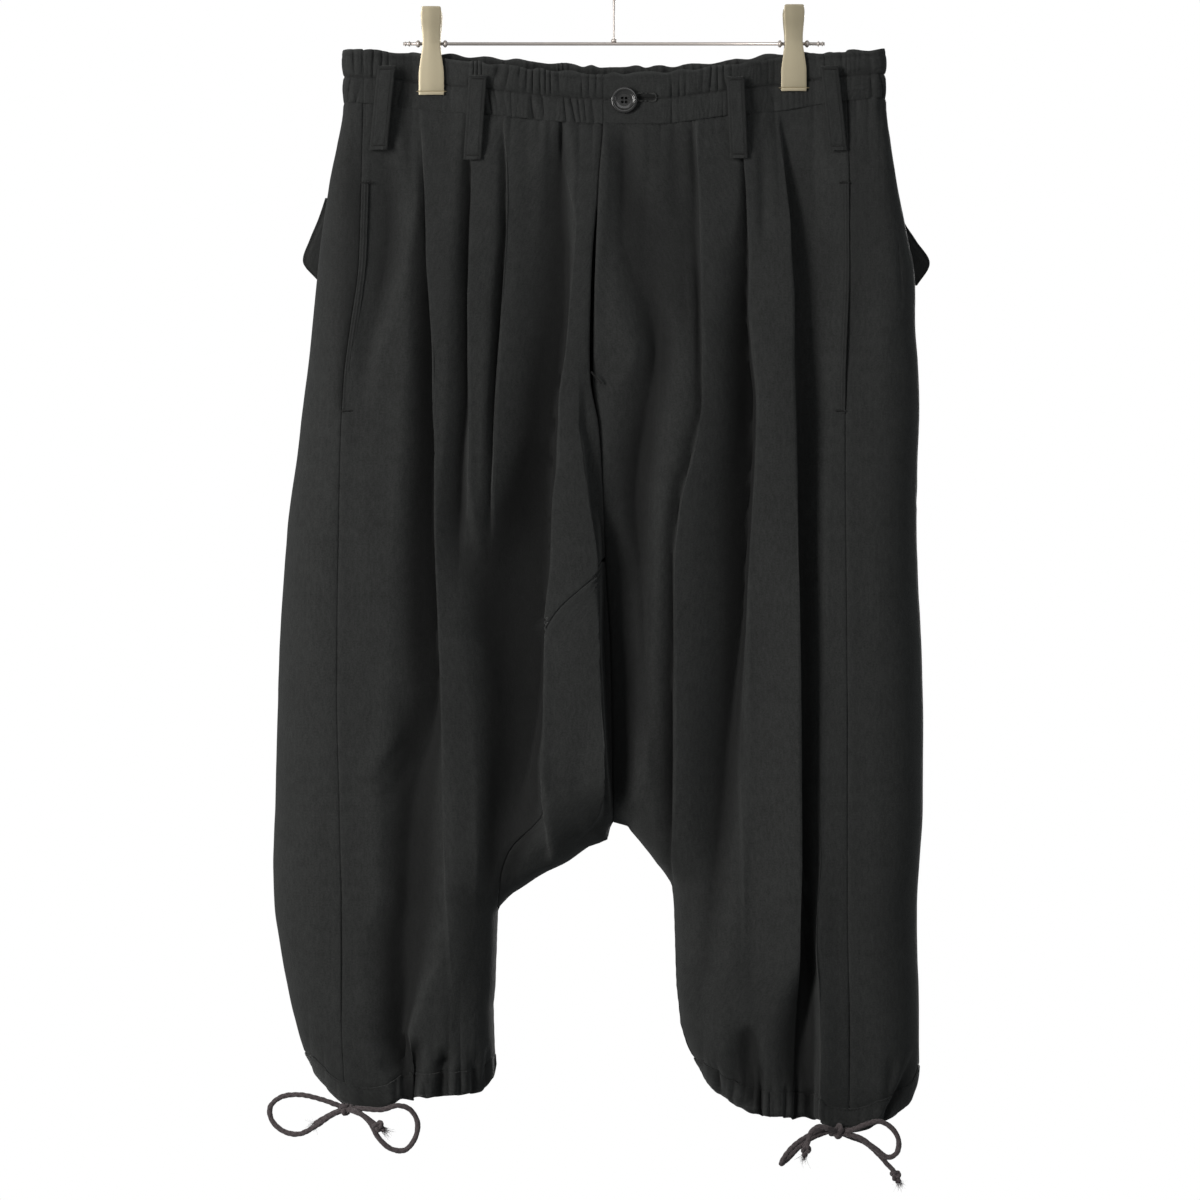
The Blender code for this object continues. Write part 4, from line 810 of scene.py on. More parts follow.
FORM = TrouserForm()


def spread(points: Array, weight: Array, count: int) -> Array:
    """Cut a fine line into equal weighted lengths and return the places as indices."""
    length = np.linalg.norm(np.diff(points[:, :3], axis=0), axis=1)
    total = np.concatenate([[0], np.cumsum(length * 0.5 * (weight[1:] + weight[:-1]))])
    return np.interp(np.linspace(0, total[-1], count + 1), total, np.arange(len(points)))


def pick(points: Array, places: Array) -> Array:
    """Read a line's points at fractional indices."""
    low = np.clip(np.floor(places).astype(int), 0, len(points) - 2)
    t = (places - low)[:, None]
    return points[low] * (1 - t) + points[low + 1] * t


class Nodes:
    """A short hand for building a material's node tree."""

    def __init__(self, name: str) -> None:
        """Start a material with its Principled shader.

        Args:
            name: The material's name.
        """
        self.material = bpy.data.materials.new(name)
        self.material.use_nodes = True
        self.tree = self.material.node_tree
        self.shader = self.tree.nodes["Principled BSDF"]

    def add(self, kind: str, **settings: object) -> bpy.types.Node:
        """Add a node and set its properties.

        Args:
            kind: The node's type.
            settings: Its properties.

        Returns:
            The node.
        """
        node = self.tree.nodes.new(kind)
        for key, value in settings.items():
            setattr(node, key, value)
        return node

    def feed(self, node: bpy.types.Node, **inputs: object) -> bpy.types.Node:
        """Link or set a node's inputs, named with _ for a space or i0, i1 by number.

        Args:
            node: The node to feed.
            inputs: A socket, number or colour for each input.

        Returns:
            The same node.
        """
        for key, value in inputs.items():
            numbered = key[0] == "i" and key[1:].isdigit()
            socket = node.inputs[int(key[1:]) if numbered else key.replace("_", " ")]
            if isinstance(value, bpy.types.NodeSocket):
                self.tree.links.new(value, socket)
            else:
                socket.default_value = value
        return node

    def math(self, operation: str, *values: object, clamp: bool = False) -> bpy.types.NodeSocket:
        """Add a Math node and return its output."""
        node = self.add("ShaderNodeMath", operation=operation, use_clamp=clamp)
        self.feed(node, **{f"i{i}": value for i, value in enumerate(values)})
        return node.outputs[0]

    def step(self, value: object, low: float, high: float,
             out: tuple[float, float]) -> bpy.types.NodeSocket:
        """Map a range smoothly to another and return the result."""
        node = self.add("ShaderNodeMapRange", interpolation_type="SMOOTHSTEP")
        self.feed(node, i0=value, i1=low, i2=high, i3=out[0], i4=out[1])
        return node.outputs[0]

    def noise(self, vector: object, scale: float, detail: float = 2.0) -> bpy.types.NodeSocket:
        """Add a Noise texture and return its factor."""
        node = self.add("ShaderNodeTexNoise")
        self.feed(node, Vector=vector, Scale=scale, Detail=detail)
        return node.outputs[0]

    def attribute(self, name: str) -> bpy.types.NodeSocket:
        """Read a number stored on the mesh."""
        return self.add("ShaderNodeAttribute", attribute_name=name).outputs["Fac"]

    def blend(self, factor: object, first: object, second: object) -> bpy.types.NodeSocket:
        """Mix two colours and return the colour.

        Args:
            factor: The share of the second colour.
            first: The first colour.
            second: The second colour.

        Returns:
            The socket of the mixed colour.
        """
        node = self.add("ShaderNodeMix", data_type="RGBA")
        self.feed(node, i0=factor, i6=first, i7=second)
        return node.outputs[2]

    def raise_surface(self, height: object) -> None:
        """Bump the shader's normal by a height in metres."""
        node = self.add("ShaderNodeBump")
        self.feed(node, Height=height, Distance=1.0, Strength=1.0)
        self.tree.links.new(node.outputs[0], self.shader.inputs["Normal"])

    def dress(self, **inputs: object) -> None:
        """Set or link the shader's own sockets."""
        self.feed(self.shader, **inputs)


def shade(colour: Sequence[float], factor: float = 1.0) -> tuple[float, float, float, float]:
    """Give a colour with alpha, made lighter or darker."""
    return (colour[0] * factor, colour[1] * factor, colour[2] * factor, 1.0)


@dataclass(frozen=True)
class WoolFinish:
    """Fine black gabardine: steep twill, a pebbled hand, sunk seams and a little lint, with painted shade
    in its hollows and a painted highlight along the waistband's top edge.
    """

    name: str = "black_gabardine"
    colour: tuple[float, float, float] = (0.0190, 0.0199, 0.0194)
    twill: float = 0.00062
    twill_depth: float = 0.000040
    pebble_depth: float = 0.000090
    painted_shade_strength: float = 0.74
    seam_depth: float = 0.00018
    stitch_depth: float = 0.00020
    slub_depth: float = 0.0004
    seam_share: float = 0.42
    painted_highlight_share: float = 0.8
    lint: tuple[float, float, float] = (0.26, 0.26, 0.25)
    lint_share: float = 0.55

    def build(self) -> bpy.types.Material:
        """Make the material, which follows each sheet's own UV map in metres.

        Returns:
            The material.
        """
        n = Nodes(self.name)
        uv = n.add("ShaderNodeTexCoord").outputs["UV"]
        place = n.add("ShaderNodeTexCoord").outputs["Object"]
        split = n.add("ShaderNodeSeparateXYZ")
        n.feed(split, i0=uv)
        warp = n.math("MULTIPLY", n.noise(uv, 260.0), 0.9)
        along = n.math("MULTIPLY", split.outputs[0], 2 * math.pi / self.twill)
        down = n.math("MULTIPLY", split.outputs[1], 2 * math.pi / self.twill * 0.52)
        twill = n.math("SINE", n.math("ADD", n.math("ADD", along, down), n.math("MULTIPLY", warp, 5.0)))
        pebble = n.math("SUBTRACT", n.noise(uv, 820.0, 3.0), 0.5)
        slub = n.math("SUBTRACT", n.noise(place, 55.0, 4.0), 0.5)
        streak = n.add("ShaderNodeMapping")
        n.feed(streak, Vector=uv, Scale=(430.0, 150.0, 1.0))
        heather = n.math("SUBTRACT", n.noise(streak.outputs[0], 1.0, 3.0), 0.5)
        seam = n.step(n.attribute("seam"), 0.0, 0.0009, (1.0, 0.0))
        stitch = n.step(n.attribute("stitch"), 0.0002, 0.0011, (1.0, 0.0))
        painted_shade = n.attribute("painted_shade")
        height = n.math("MULTIPLY", twill, self.twill_depth)
        height = n.math("MULTIPLY_ADD", pebble, self.pebble_depth * 2, height)
        height = n.math("MULTIPLY_ADD", slub, self.slub_depth, height)
        height = n.math("MULTIPLY_ADD", seam, -self.seam_depth, height)
        height = n.math("MULTIPLY_ADD", stitch, -self.stitch_depth, height)
        n.raise_surface(height)
        dark, light = shade(self.colour, 0.62), shade(self.colour, 1.42)
        tone = n.math("MULTIPLY_ADD", twill, 0.10, n.math("MULTIPLY_ADD", pebble, 1.7, 0.5), clamp=True)
        tone = n.math("MULTIPLY_ADD", slub, 0.6, n.math("MULTIPLY_ADD", heather, 1.25, tone), clamp=True)
        cloth = n.blend(tone, dark, light)
        cloth = n.blend(n.math("MULTIPLY", n.math("MAXIMUM", seam, stitch), self.seam_share),
                        cloth, shade(self.colour, 0.30))
        # Painted shade: the cloth turns much darker in its hollows, its gather troughs and the buttonhole's
        # cut.
        cloth = n.blend(n.math("MULTIPLY", painted_shade, self.painted_shade_strength), cloth, shade(self.colour, 0.10))
        # Painted highlight: the cloth turns lighter along the waistband's top edge.
        edge_ripple_and_highlight = n.math("MULTIPLY", n.attribute("edge_ripple_and_highlight"), self.painted_highlight_share)
        cloth = n.blend(edge_ripple_and_highlight, cloth, shade(self.colour, 2.6))
        specks = n.add("ShaderNodeTexVoronoi", feature="F1")
        n.feed(specks, Vector=place, Scale=28.0, Randomness=1.0)
        near = n.step(specks.outputs["Distance"], 0.010, 0.016, (1.0, 0.0))
        hue = n.add("ShaderNodeSeparateXYZ")
        n.feed(hue, i0=specks.outputs["Color"])
        rare = n.math("GREATER_THAN", hue.outputs[0], 0.965)
        lint = n.math("MULTIPLY", n.math("MULTIPLY", near, rare), self.lint_share)
        cloth = n.blend(lint, cloth, shade(self.lint))
        # The sheen is lowered where shade is painted.
        n.dress(Base_Color=cloth, Roughness=0.82, Specular_IOR_Level=0.28,
                Sheen_Weight=n.math("MULTIPLY_ADD", painted_shade, -0.19, 0.22), Sheen_Roughness=0.45,
                Sheen_Tint=(0.62, 0.63, 0.62, 1.0))
        return n.material


@dataclass(frozen=True)
class ThreadFinish:
    """Twisted polyester sewing thread with a dull lustre."""

    name: str
    colour: tuple[float, float, float]
    gloss: float = 0.60

    def build(self) -> bpy.types.Material:
        """Make the material.

        Returns:
            The material.
        """
        n = Nodes(self.name)
        place = n.add("ShaderNodeTexCoord").outputs["Object"]
        fibre = n.noise(place, 2600.0, 2.0)
        n.raise_surface(n.math("MULTIPLY", fibre, 0.00010))
        n.dress(Base_Color=n.blend(fibre, shade(self.colour, 0.7), shade(self.colour, 1.4)),
                Roughness=self.gloss, Specular_IOR_Level=0.2, Sheen_Weight=0.08, Sheen_Roughness=0.4)
        return n.material


@dataclass(frozen=True)
class CordFinish:
    """Braided cotton cord, faded and fuzzy."""

    name: str = "braided_cord"
    colour: tuple[float, float, float] = (0.060, 0.050, 0.052)

    def build(self) -> bpy.types.Material:
        """Make the material, which reads the braid's height from the mesh and paints shade between the
        strands.

        Returns:
            The material.
        """
        n = Nodes(self.name)
        place = n.add("ShaderNodeTexCoord").outputs["Object"]
        fibre = n.noise(place, 1900.0, 3.0)
        wear = n.noise(place, 120.0, 2.0)
        braid = n.attribute("braid")
        # Painted shade: darker between the raised strands and lighter on them, mixed with random fibre
        # tone.
        tone = n.math("MULTIPLY_ADD", braid, 0.55, n.math("MULTIPLY", fibre, 0.45), clamp=True)
        cord = n.blend(tone, shade(self.colour, 0.45), shade(self.colour, 1.55))
        cord = n.blend(n.math("MULTIPLY", wear, 0.35), cord, shade((0.10, 0.080, 0.080)))
        n.raise_surface(n.math("MULTIPLY", fibre, 0.00022))
        n.dress(Base_Color=cord, Roughness=0.88, Specular_IOR_Level=0.2,
                Sheen_Weight=0.35, Sheen_Roughness=0.5, Sheen_Tint=(0.75, 0.7, 0.7, 1.0))
        return n.material


@dataclass(frozen=True)
class HornFinish:
    """Polished black resin with faint smoky clouds and hair-fine turning marks."""

    name: str = "black_resin"
    dark: tuple[float, float, float] = (0.016, 0.016, 0.016)
    light: tuple[float, float, float] = (0.034, 0.033, 0.032)

    def build(self) -> bpy.types.Material:
        """Make the material.

        Returns:
            The material.
        """
        n = Nodes(self.name)
        place = n.add("ShaderNodeTexCoord").outputs["Object"]
        cloud = n.noise(place, 240.0, 4.0)
        scratch = n.noise(place, 3200.0, 2.0)
        n.raise_surface(n.math("MULTIPLY", scratch, 0.000012))
        n.dress(Base_Color=n.blend(cloud, shade(self.dark), shade(self.light)),
                Roughness=n.math("MULTIPLY_ADD", scratch, 0.10, 0.14), Specular_IOR_Level=0.55,
                Coat_Weight=0.6, Coat_Roughness=0.06)
        return n.material


@dataclass(frozen=True)
class MetalFinish:
    """Satin plate on steel: an even lacquered sheen with hair-fine drawn lines."""

    name: str
    colour: tuple[float, float, float]
    roughness: float = 0.40
    metal: float = 0.45
    stretch: tuple[float, float, float] = (2600.0, 2600.0, 60.0)

    def build(self) -> bpy.types.Material:
        """Make the material.

        Returns:
            The material.
        """
        n = Nodes(self.name)
        place = n.add("ShaderNodeTexCoord").outputs["Object"]
        drawn = n.add("ShaderNodeMapping")
        n.feed(drawn, Vector=place, Scale=self.stretch)
        lines = n.noise(drawn.outputs[0], 1.0, 3.0)
        stain = n.noise(place, 60.0, 3.0)
        n.dress(Base_Color=n.blend(n.math("MULTIPLY", stain, 0.5), shade(self.colour, 1.05),
                                   shade(self.colour, 0.88)),
                Roughness=n.math("MULTIPLY_ADD", lines, 0.10, self.roughness - 0.05), Metallic=self.metal)
        return n.material


class Finish(Enum):
    """The finishes that a piece can be given."""

    WOOL = "cloth"
    THREAD = "thread"
    PURL = "purl"
    CORD = "cord"
    BUTTON = "button"
    CLIP = "metal"
    ROD = "rod"


class Wardrobe:
    """Builds each finish once and puts pieces on their body."""

    slots = {Finish.WOOL: "cloth", Finish.THREAD: "cloth", Finish.PURL: "cloth", Finish.CORD: "cord",
             Finish.BUTTON: "button", Finish.CLIP: "metal", Finish.ROD: "metal"}

    def __init__(self) -> None:
        """Build the materials."""
        self.materials = {
            Finish.WOOL: WoolFinish().build(),
            Finish.THREAD: ThreadFinish("black_thread", (0.012, 0.012, 0.0115)).build(),
            Finish.PURL: ThreadFinish("buttonhole_silk", (0.044, 0.045, 0.043), 0.5).build(),
            Finish.CORD: CordFinish().build(),
            Finish.BUTTON: HornFinish().build(),
            Finish.CLIP: MetalFinish("champagne_plate", (0.50, 0.435, 0.300)).build(),
            Finish.ROD: MetalFinish("pale_nickel", (0.60, 0.54, 0.50), 0.34, 0.4,
                                    (60.0, 2600.0, 2600.0)).build(),
        }

    def dress(self, piece: bpy.types.Object, finish: Finish, nodes: Sequence[str] = ()) -> bpy.types.Object:
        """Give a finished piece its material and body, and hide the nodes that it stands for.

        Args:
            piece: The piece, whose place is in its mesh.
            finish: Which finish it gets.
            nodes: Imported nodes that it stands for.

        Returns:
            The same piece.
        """
        piece.data.materials.clear()
        piece.data.materials.append(self.materials[finish])
        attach(piece, "root")
        if nodes:
            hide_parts(*nodes)
        faces = len(piece.data.polygons) if piece.type == "MESH" else 0
        LOG.info("%s: %s, %d faces", piece.name, finish.name.lower(), faces)
        return piece


@dataclass
class Sheet:
    """A grid of surface points that becomes one thin cloth piece.

    Each point holds X, Y, Z, then x and drop before any fold. Rows run down the
    cloth and columns run across it.
    """

    name: str
    grid: Array
    facing: int
    wall: float = 0.0008
    closed: bool = False
    weave_start: float = 0.3
    seam_reach: float = 0.02

    def gradient(self, axis: int) -> Array:
        """Differentiate the grid's places along rows (1) or columns (0).

        Args:
            axis: 1 along the rows or 0 down the columns.

        Returns:
            The change of place from point to point.
        """
        place = self.grid[..., :3]
        if axis == 1 and self.closed:
            return 0.5 * (np.roll(place, -1, 1) - np.roll(place, 1, 1))
        return np.gradient(place, axis=axis)

    def normals(self) -> Array:
        """Return unit normals that point out of the garment."""
        normal = np.cross(self.gradient(1), self.gradient(0))
        normal /= np.maximum(np.linalg.norm(normal, axis=-1, keepdims=True), 1e-12)
        return normal * self.turn()

    def turn(self) -> int:
        """Find the sign that makes the grid's own normal point outward.

        Returns:
            1 or -1.
        """
        taken = slice(None) if self.closed else 0
        first = np.cross(self.gradient(1), self.gradient(0))[:, taken]
        outward = np.sign(self.grid[:, taken, 1]) if self.closed else float(self.facing)
        return 1 if (first[..., 1] * outward).sum() > 0 else -1

    def lengths(self) -> Array:
        """Return the running length across each row."""
        step = np.linalg.norm(np.diff(self.grid[..., :3], axis=1), axis=-1)
        return np.concatenate([np.zeros((len(step), 1)), np.cumsum(step, 1)], 1)

    def area(self) -> float:
        """Return the cloth's own area."""
        across, down = self.gradient(1), self.gradient(0)
        return float(np.linalg.norm(np.cross(across, down), axis=-1)[:-1, :-1].sum())

    def swell(self, height: Array) -> None:
        """Move every point along its normal."""
        self.grid[..., :3] += self.normals() * height[..., None]

    def build(self, stitch: Array | None = None, seam: Array | None = None,
              painted_shade: Array | None = None, edge_ripple_and_highlight: Array | None = None) -> bpy.types.Object:
        """Make the mesh, its metric UV map and its seam distances, and give it a wall.

        Args:
            stitch: Distance of each point from the nearest line of stitches.
            seam: Distance of each point from the nearest seam.
            painted_shade: How much shade is painted on each point in a hollow, from 0 to 1.
            edge_ripple_and_highlight: How much highlight is painted on each point along an edge, from 0 to
                1.

        Returns:
            The finished object, at the origin.
        """
        rows, columns = self.grid.shape[:2]
        points = self.grid[..., :3].reshape(-1, 3)
        index = np.arange(rows * columns).reshape(rows, columns)
        right = np.roll(index, -1, 1) if self.closed else index[:, 1:]
        left = index if self.closed else index[:, :-1]
        quads = np.stack([left[:-1], right[:-1], right[1:], left[1:]], -1).reshape(-1, 4)
        if self.turn() < 0:
            quads = quads[:, ::-1]
        mesh = bpy.data.meshes.new(self.name)
        mesh.from_pydata(points.tolist(), [], quads.tolist())
        u = self.lengths().ravel() + self.weave_start
        v = 1.0 - self.grid[..., 4].ravel()
        layer = mesh.uv_layers.new(name="weave")
        loops = np.zeros(len(mesh.loops), int)
        mesh.loops.foreach_get("vertex_index", loops)
        uv = np.stack([u[loops], v[loops]], -1)
        if self.closed:
            last = (loops % columns == 0).reshape(-1, 4)
            wide = (loops % columns == columns - 1).reshape(-1, 4).any(1)
            end = self.lengths()[:, -1].mean() + np.linalg.norm(points[0] - points[columns - 1])
            end += self.weave_start
            flat = (last & wide[:, None]).ravel()
            uv[flat, 0] = end
        layer.data.foreach_set("uv", uv.ravel())
        for name, values in (("stitch", stitch), ("seam", seam)):
            store = mesh.attributes.new(name, "FLOAT", "POINT")
            values = np.full(len(points), FAR) if values is None else values.ravel()
            values = np.minimum(values, self.seam_reach)
            store.data.foreach_set("value", values.astype(np.float32))
        # Painted shade and a painted highlight, kept on the points for the cloth's material.
        for name, values in (("painted_shade", painted_shade), ("edge_ripple_and_highlight", edge_ripple_and_highlight)):
            if values is not None:
                store = mesh.attributes.new(name, "FLOAT", "POINT")
                store.data.foreach_set("value", values.ravel().astype(np.float32))
        mesh.shade_smooth()
        piece = bpy.data.objects.new(self.name, mesh)
        bpy.context.scene.collection.objects.link(piece)
        add_wall(piece, self.wall)
        return piece


def only(piece: bpy.types.Object) -> None:
    """Select one object alone and make it the active one."""
    bpy.ops.object.select_all(action="DESELECT")
    piece.select_set(True)
    bpy.context.view_layer.objects.active = piece


def apply_all(piece: bpy.types.Object) -> None:
    """Apply every modifier of a piece, in order."""
    only(piece)
    for modifier in list(piece.modifiers):
        bpy.ops.object.modifier_apply(modifier=modifier.name)


def add_wall(piece: bpy.types.Object, thickness: float) -> None:
    """Give a sheet its thickness, half to each side.

    Args:
        piece: The sheet.
        thickness: The wall's thickness.
    """
    wall = piece.modifiers.new("wall", "SOLIDIFY")
    wall.thickness = thickness
    wall.offset = 0
    apply_all(piece)
    bpy.ops.object.shade_smooth_by_angle(angle=RIM_ANGLE)


def line_distance(x: Array, drop: Array, lines: Sequence[Sequence[tuple[float, float]]]) -> Array:
    """Measure from each point to the nearest of some lines, seen flat.

    Args:
        x: Places across in metres.
        drop: Places down in metres.
        lines: Polylines of (x, drop) in millimetres.

    Returns:
        Distances in metres.
    """
    best = np.full(x.shape, FAR)
    for line in lines:
        points = np.array(line, float) * MM
        for a, b in zip(points, points[1:]):
            along = b - a
            t = np.clip(((x - a[0]) * along[0] + (drop - a[1]) * along[1]) / (along @ along), 0, 1)
            best = np.minimum(best, np.hypot(x - a[0] - t * along[0], drop - a[1] - t * along[1]))
    return best


@dataclass(frozen=True)
class Gathers:
    """Uneven ripples that start at a drawn edge and die away in the cloth."""

    pitch: float
    height: float
    shortest: float
    longest: float
    grain: Grain

    def relief(self, x: Array, away: Array) -> Array:
        """Give the ripples' height.

        Args:
            x: Places along the drawn edge.
            away: Distance from that edge.

        Returns:
            Height outward in metres.
        """
        phase = 2 * math.pi * x / self.pitch + 2.6 * self.grain.at(x / 0.021, x * 0)
        bulk = 0.55 + 0.45 * self.grain.at(x / 0.013, x * 0 + 7.3)
        reach = self.shortest + (self.longest - self.shortest) * (
            0.5 + 0.5 * self.grain.at(x / (1.3 * self.pitch), x * 0 + 21.7)) ** 1.5
        wave = 1.6 * np.abs(np.sin(phase / 2)) ** 0.7 - 1.0
        return self.height * bulk * wave * np.exp(-np.clip(away, 0, None) / reach)


@dataclass(frozen=True)
class LegHem:
    """What a leg's panels share with its casing: the drawn gathers and the deep tucks."""

    plain: float
    seed: int
    front_tucks: tuple[Crease, ...]
    back_tucks: tuple[Crease, ...]
    plain_reach: float = 0.027
    plain_share: float = 0.92
    tuck_depth: float = 1.2

    def flat_share(self, x: Array, front: Array) -> Array:
        """Give how flat the strip under the bow lies."""
        return front * bump(x, self.plain, self.plain_reach) ** 0.5

    def relief(self, grid: Array, away: Array) -> Array:
        """Give the gathers and tucks of a piece.

        Args:
            grid: The piece's points.
            away: Distance up from the casing's top, nothing inside the casing.

        Returns:
            Height outward in metres.
        """
        x, drop, front = grid[..., 3], grid[..., 4], grid[..., 1] < 0
        where = x + np.where(front, 0.0, 0.5)
        main = Gathers(0.0112, 0.0024, 0.010, 0.042, Grain(self.seed)).relief(where, away)
        fine = Gathers(0.0064, 0.0007, 0.004, 0.012, Grain(self.seed + 1)).relief(where, away)
        height = (main + fine) * (1 - self.plain_share * self.flat_share(x, front))
        for tucks, here in ((self.front_tucks, front), (self.back_tucks, ~front)):
            for tuck in tucks:
                height = height + np.where(here, self.tuck_depth * tuck.relief(x, drop), 0)
        return height


LEGS = {
    -1: LegHem(-0.184, 70, (
        Crease(-152.5, 722, -152.5, 806, -4.4, 2.2, 3.6), Crease(-142.5, 724, -148.5, 774, -5.6, 4.6, 5.0),
        Crease(-147, 752, -146, 800, -2.4, 2.0, 2.6), Crease(-123, 730, -129.5, 806, -5.6, 3.8, 4.8),
        Crease(-132, 746, -116, 740, -2.4, 3.4, 3.0), Crease(-104, 738, -100, 800, -2.4, 2.6, 3.4),
        Crease(-92, 732, -97, 768, -1.8, 2.4, 4.0), Crease(-113, 748, -113, 796, -1.2, 1.8, 2.4),
        Crease(-138, 755, -136.5, 800, -1.6, 1.6, 2.2), Crease(-172, 741, -160, 752, -1.6, 4, 5),
    ), (
        Crease(-120, 700, -126, 800, -3.2, 3, 4.5), Crease(-150, 715, -155, 805, -2.8, 2.5, 4),
        Crease(-178, 720, -174, 806, -3.0, 3, 4), Crease(-201, 735, -196, 800, -2.2, 2.5, 3.5),
        Crease(-102, 730, -98, 790, -2.0, 2.5, 3),
    )),
    1: LegHem(0.174, 74, (
        Crease(97, 715, 100, 778, -7.0, 9.0, 7.5), Crease(106, 744, 106.5, 806, -4.4, 1.8, 3.2),
        Crease(86, 768, 97, 774, 1.8, 3.4, 3.4), Crease(116, 752, 117, 806, -1.8, 2.0, 2.8),
        Crease(125, 757, 125.5, 806, -1.8, 1.6, 2.4), Crease(133.5, 752, 133, 806, -2.0, 1.8, 2.6),
        Crease(142.5, 746, 143, 806, -2.2, 2.2, 2.6), Crease(221, 734, 196, 794, -2.4, 3.0, 5.0),
        Crease(211, 758, 190, 799, -2.0, 2.4, 3.6), Crease(204, 736, 200, 770, -1.8, 5, 4),
        Crease(72, 744, 82, 782, -2.0, 2.6, 3.6),
    ), (
        Crease(106, 710, 104, 806, -3.2, 3, 4.5), Crease(140, 715, 146, 812, -2.8, 2.5, 4),
        Crease(176, 720, 171, 815, -3.0, 3, 4), Crease(200, 735, 196, 806, -2.2, 2.5, 3.5),
        Crease(78, 730, 82, 790, -2.0, 2.5, 3),
    )),
}


def facing_front(count: int) -> Array:
    """Return as many outward directions for threads that lie on the front."""
    return np.tile((0.0, -1.0, 0.0), (count, 1))


def levels(stops: Sequence[float], spacing: Sequence[float]) -> Array:
    """List the rows' levels in metres between stops, evenly within each stretch.

    Args:
        stops: Levels in millimetres where the spacing changes.
        spacing: Distance between rows in each stretch, in millimetres.

    Returns:
        The levels.
    """
    parts = [np.linspace(a, b, max(1, round((b - a) / s)), endpoint=False)
             for a, b, s in zip(stops, stops[1:], spacing)]
    return np.concatenate(parts + [[stops[-1]]]) * MM


def shade_share(deep: Array, trough: Array) -> Array:
    """Give how much shade is painted on the cloth in a hollow and a ripple's trough, from 0 up."""
    return ease(deep, *DEEP_RANGE) + TROUGH_SHARE * ease(trough, *TROUGH_RANGE)


# The cloth's own unevenness: height, pitch across, pitch down and the lattice's two shifts.
HAND = (
    (0.00075, 0.034, 0.13, 0, 0), (0.00028, 0.012, 0.045, 9, 5), (0.00010, 0.0055, 0.013, 31, 17),
)


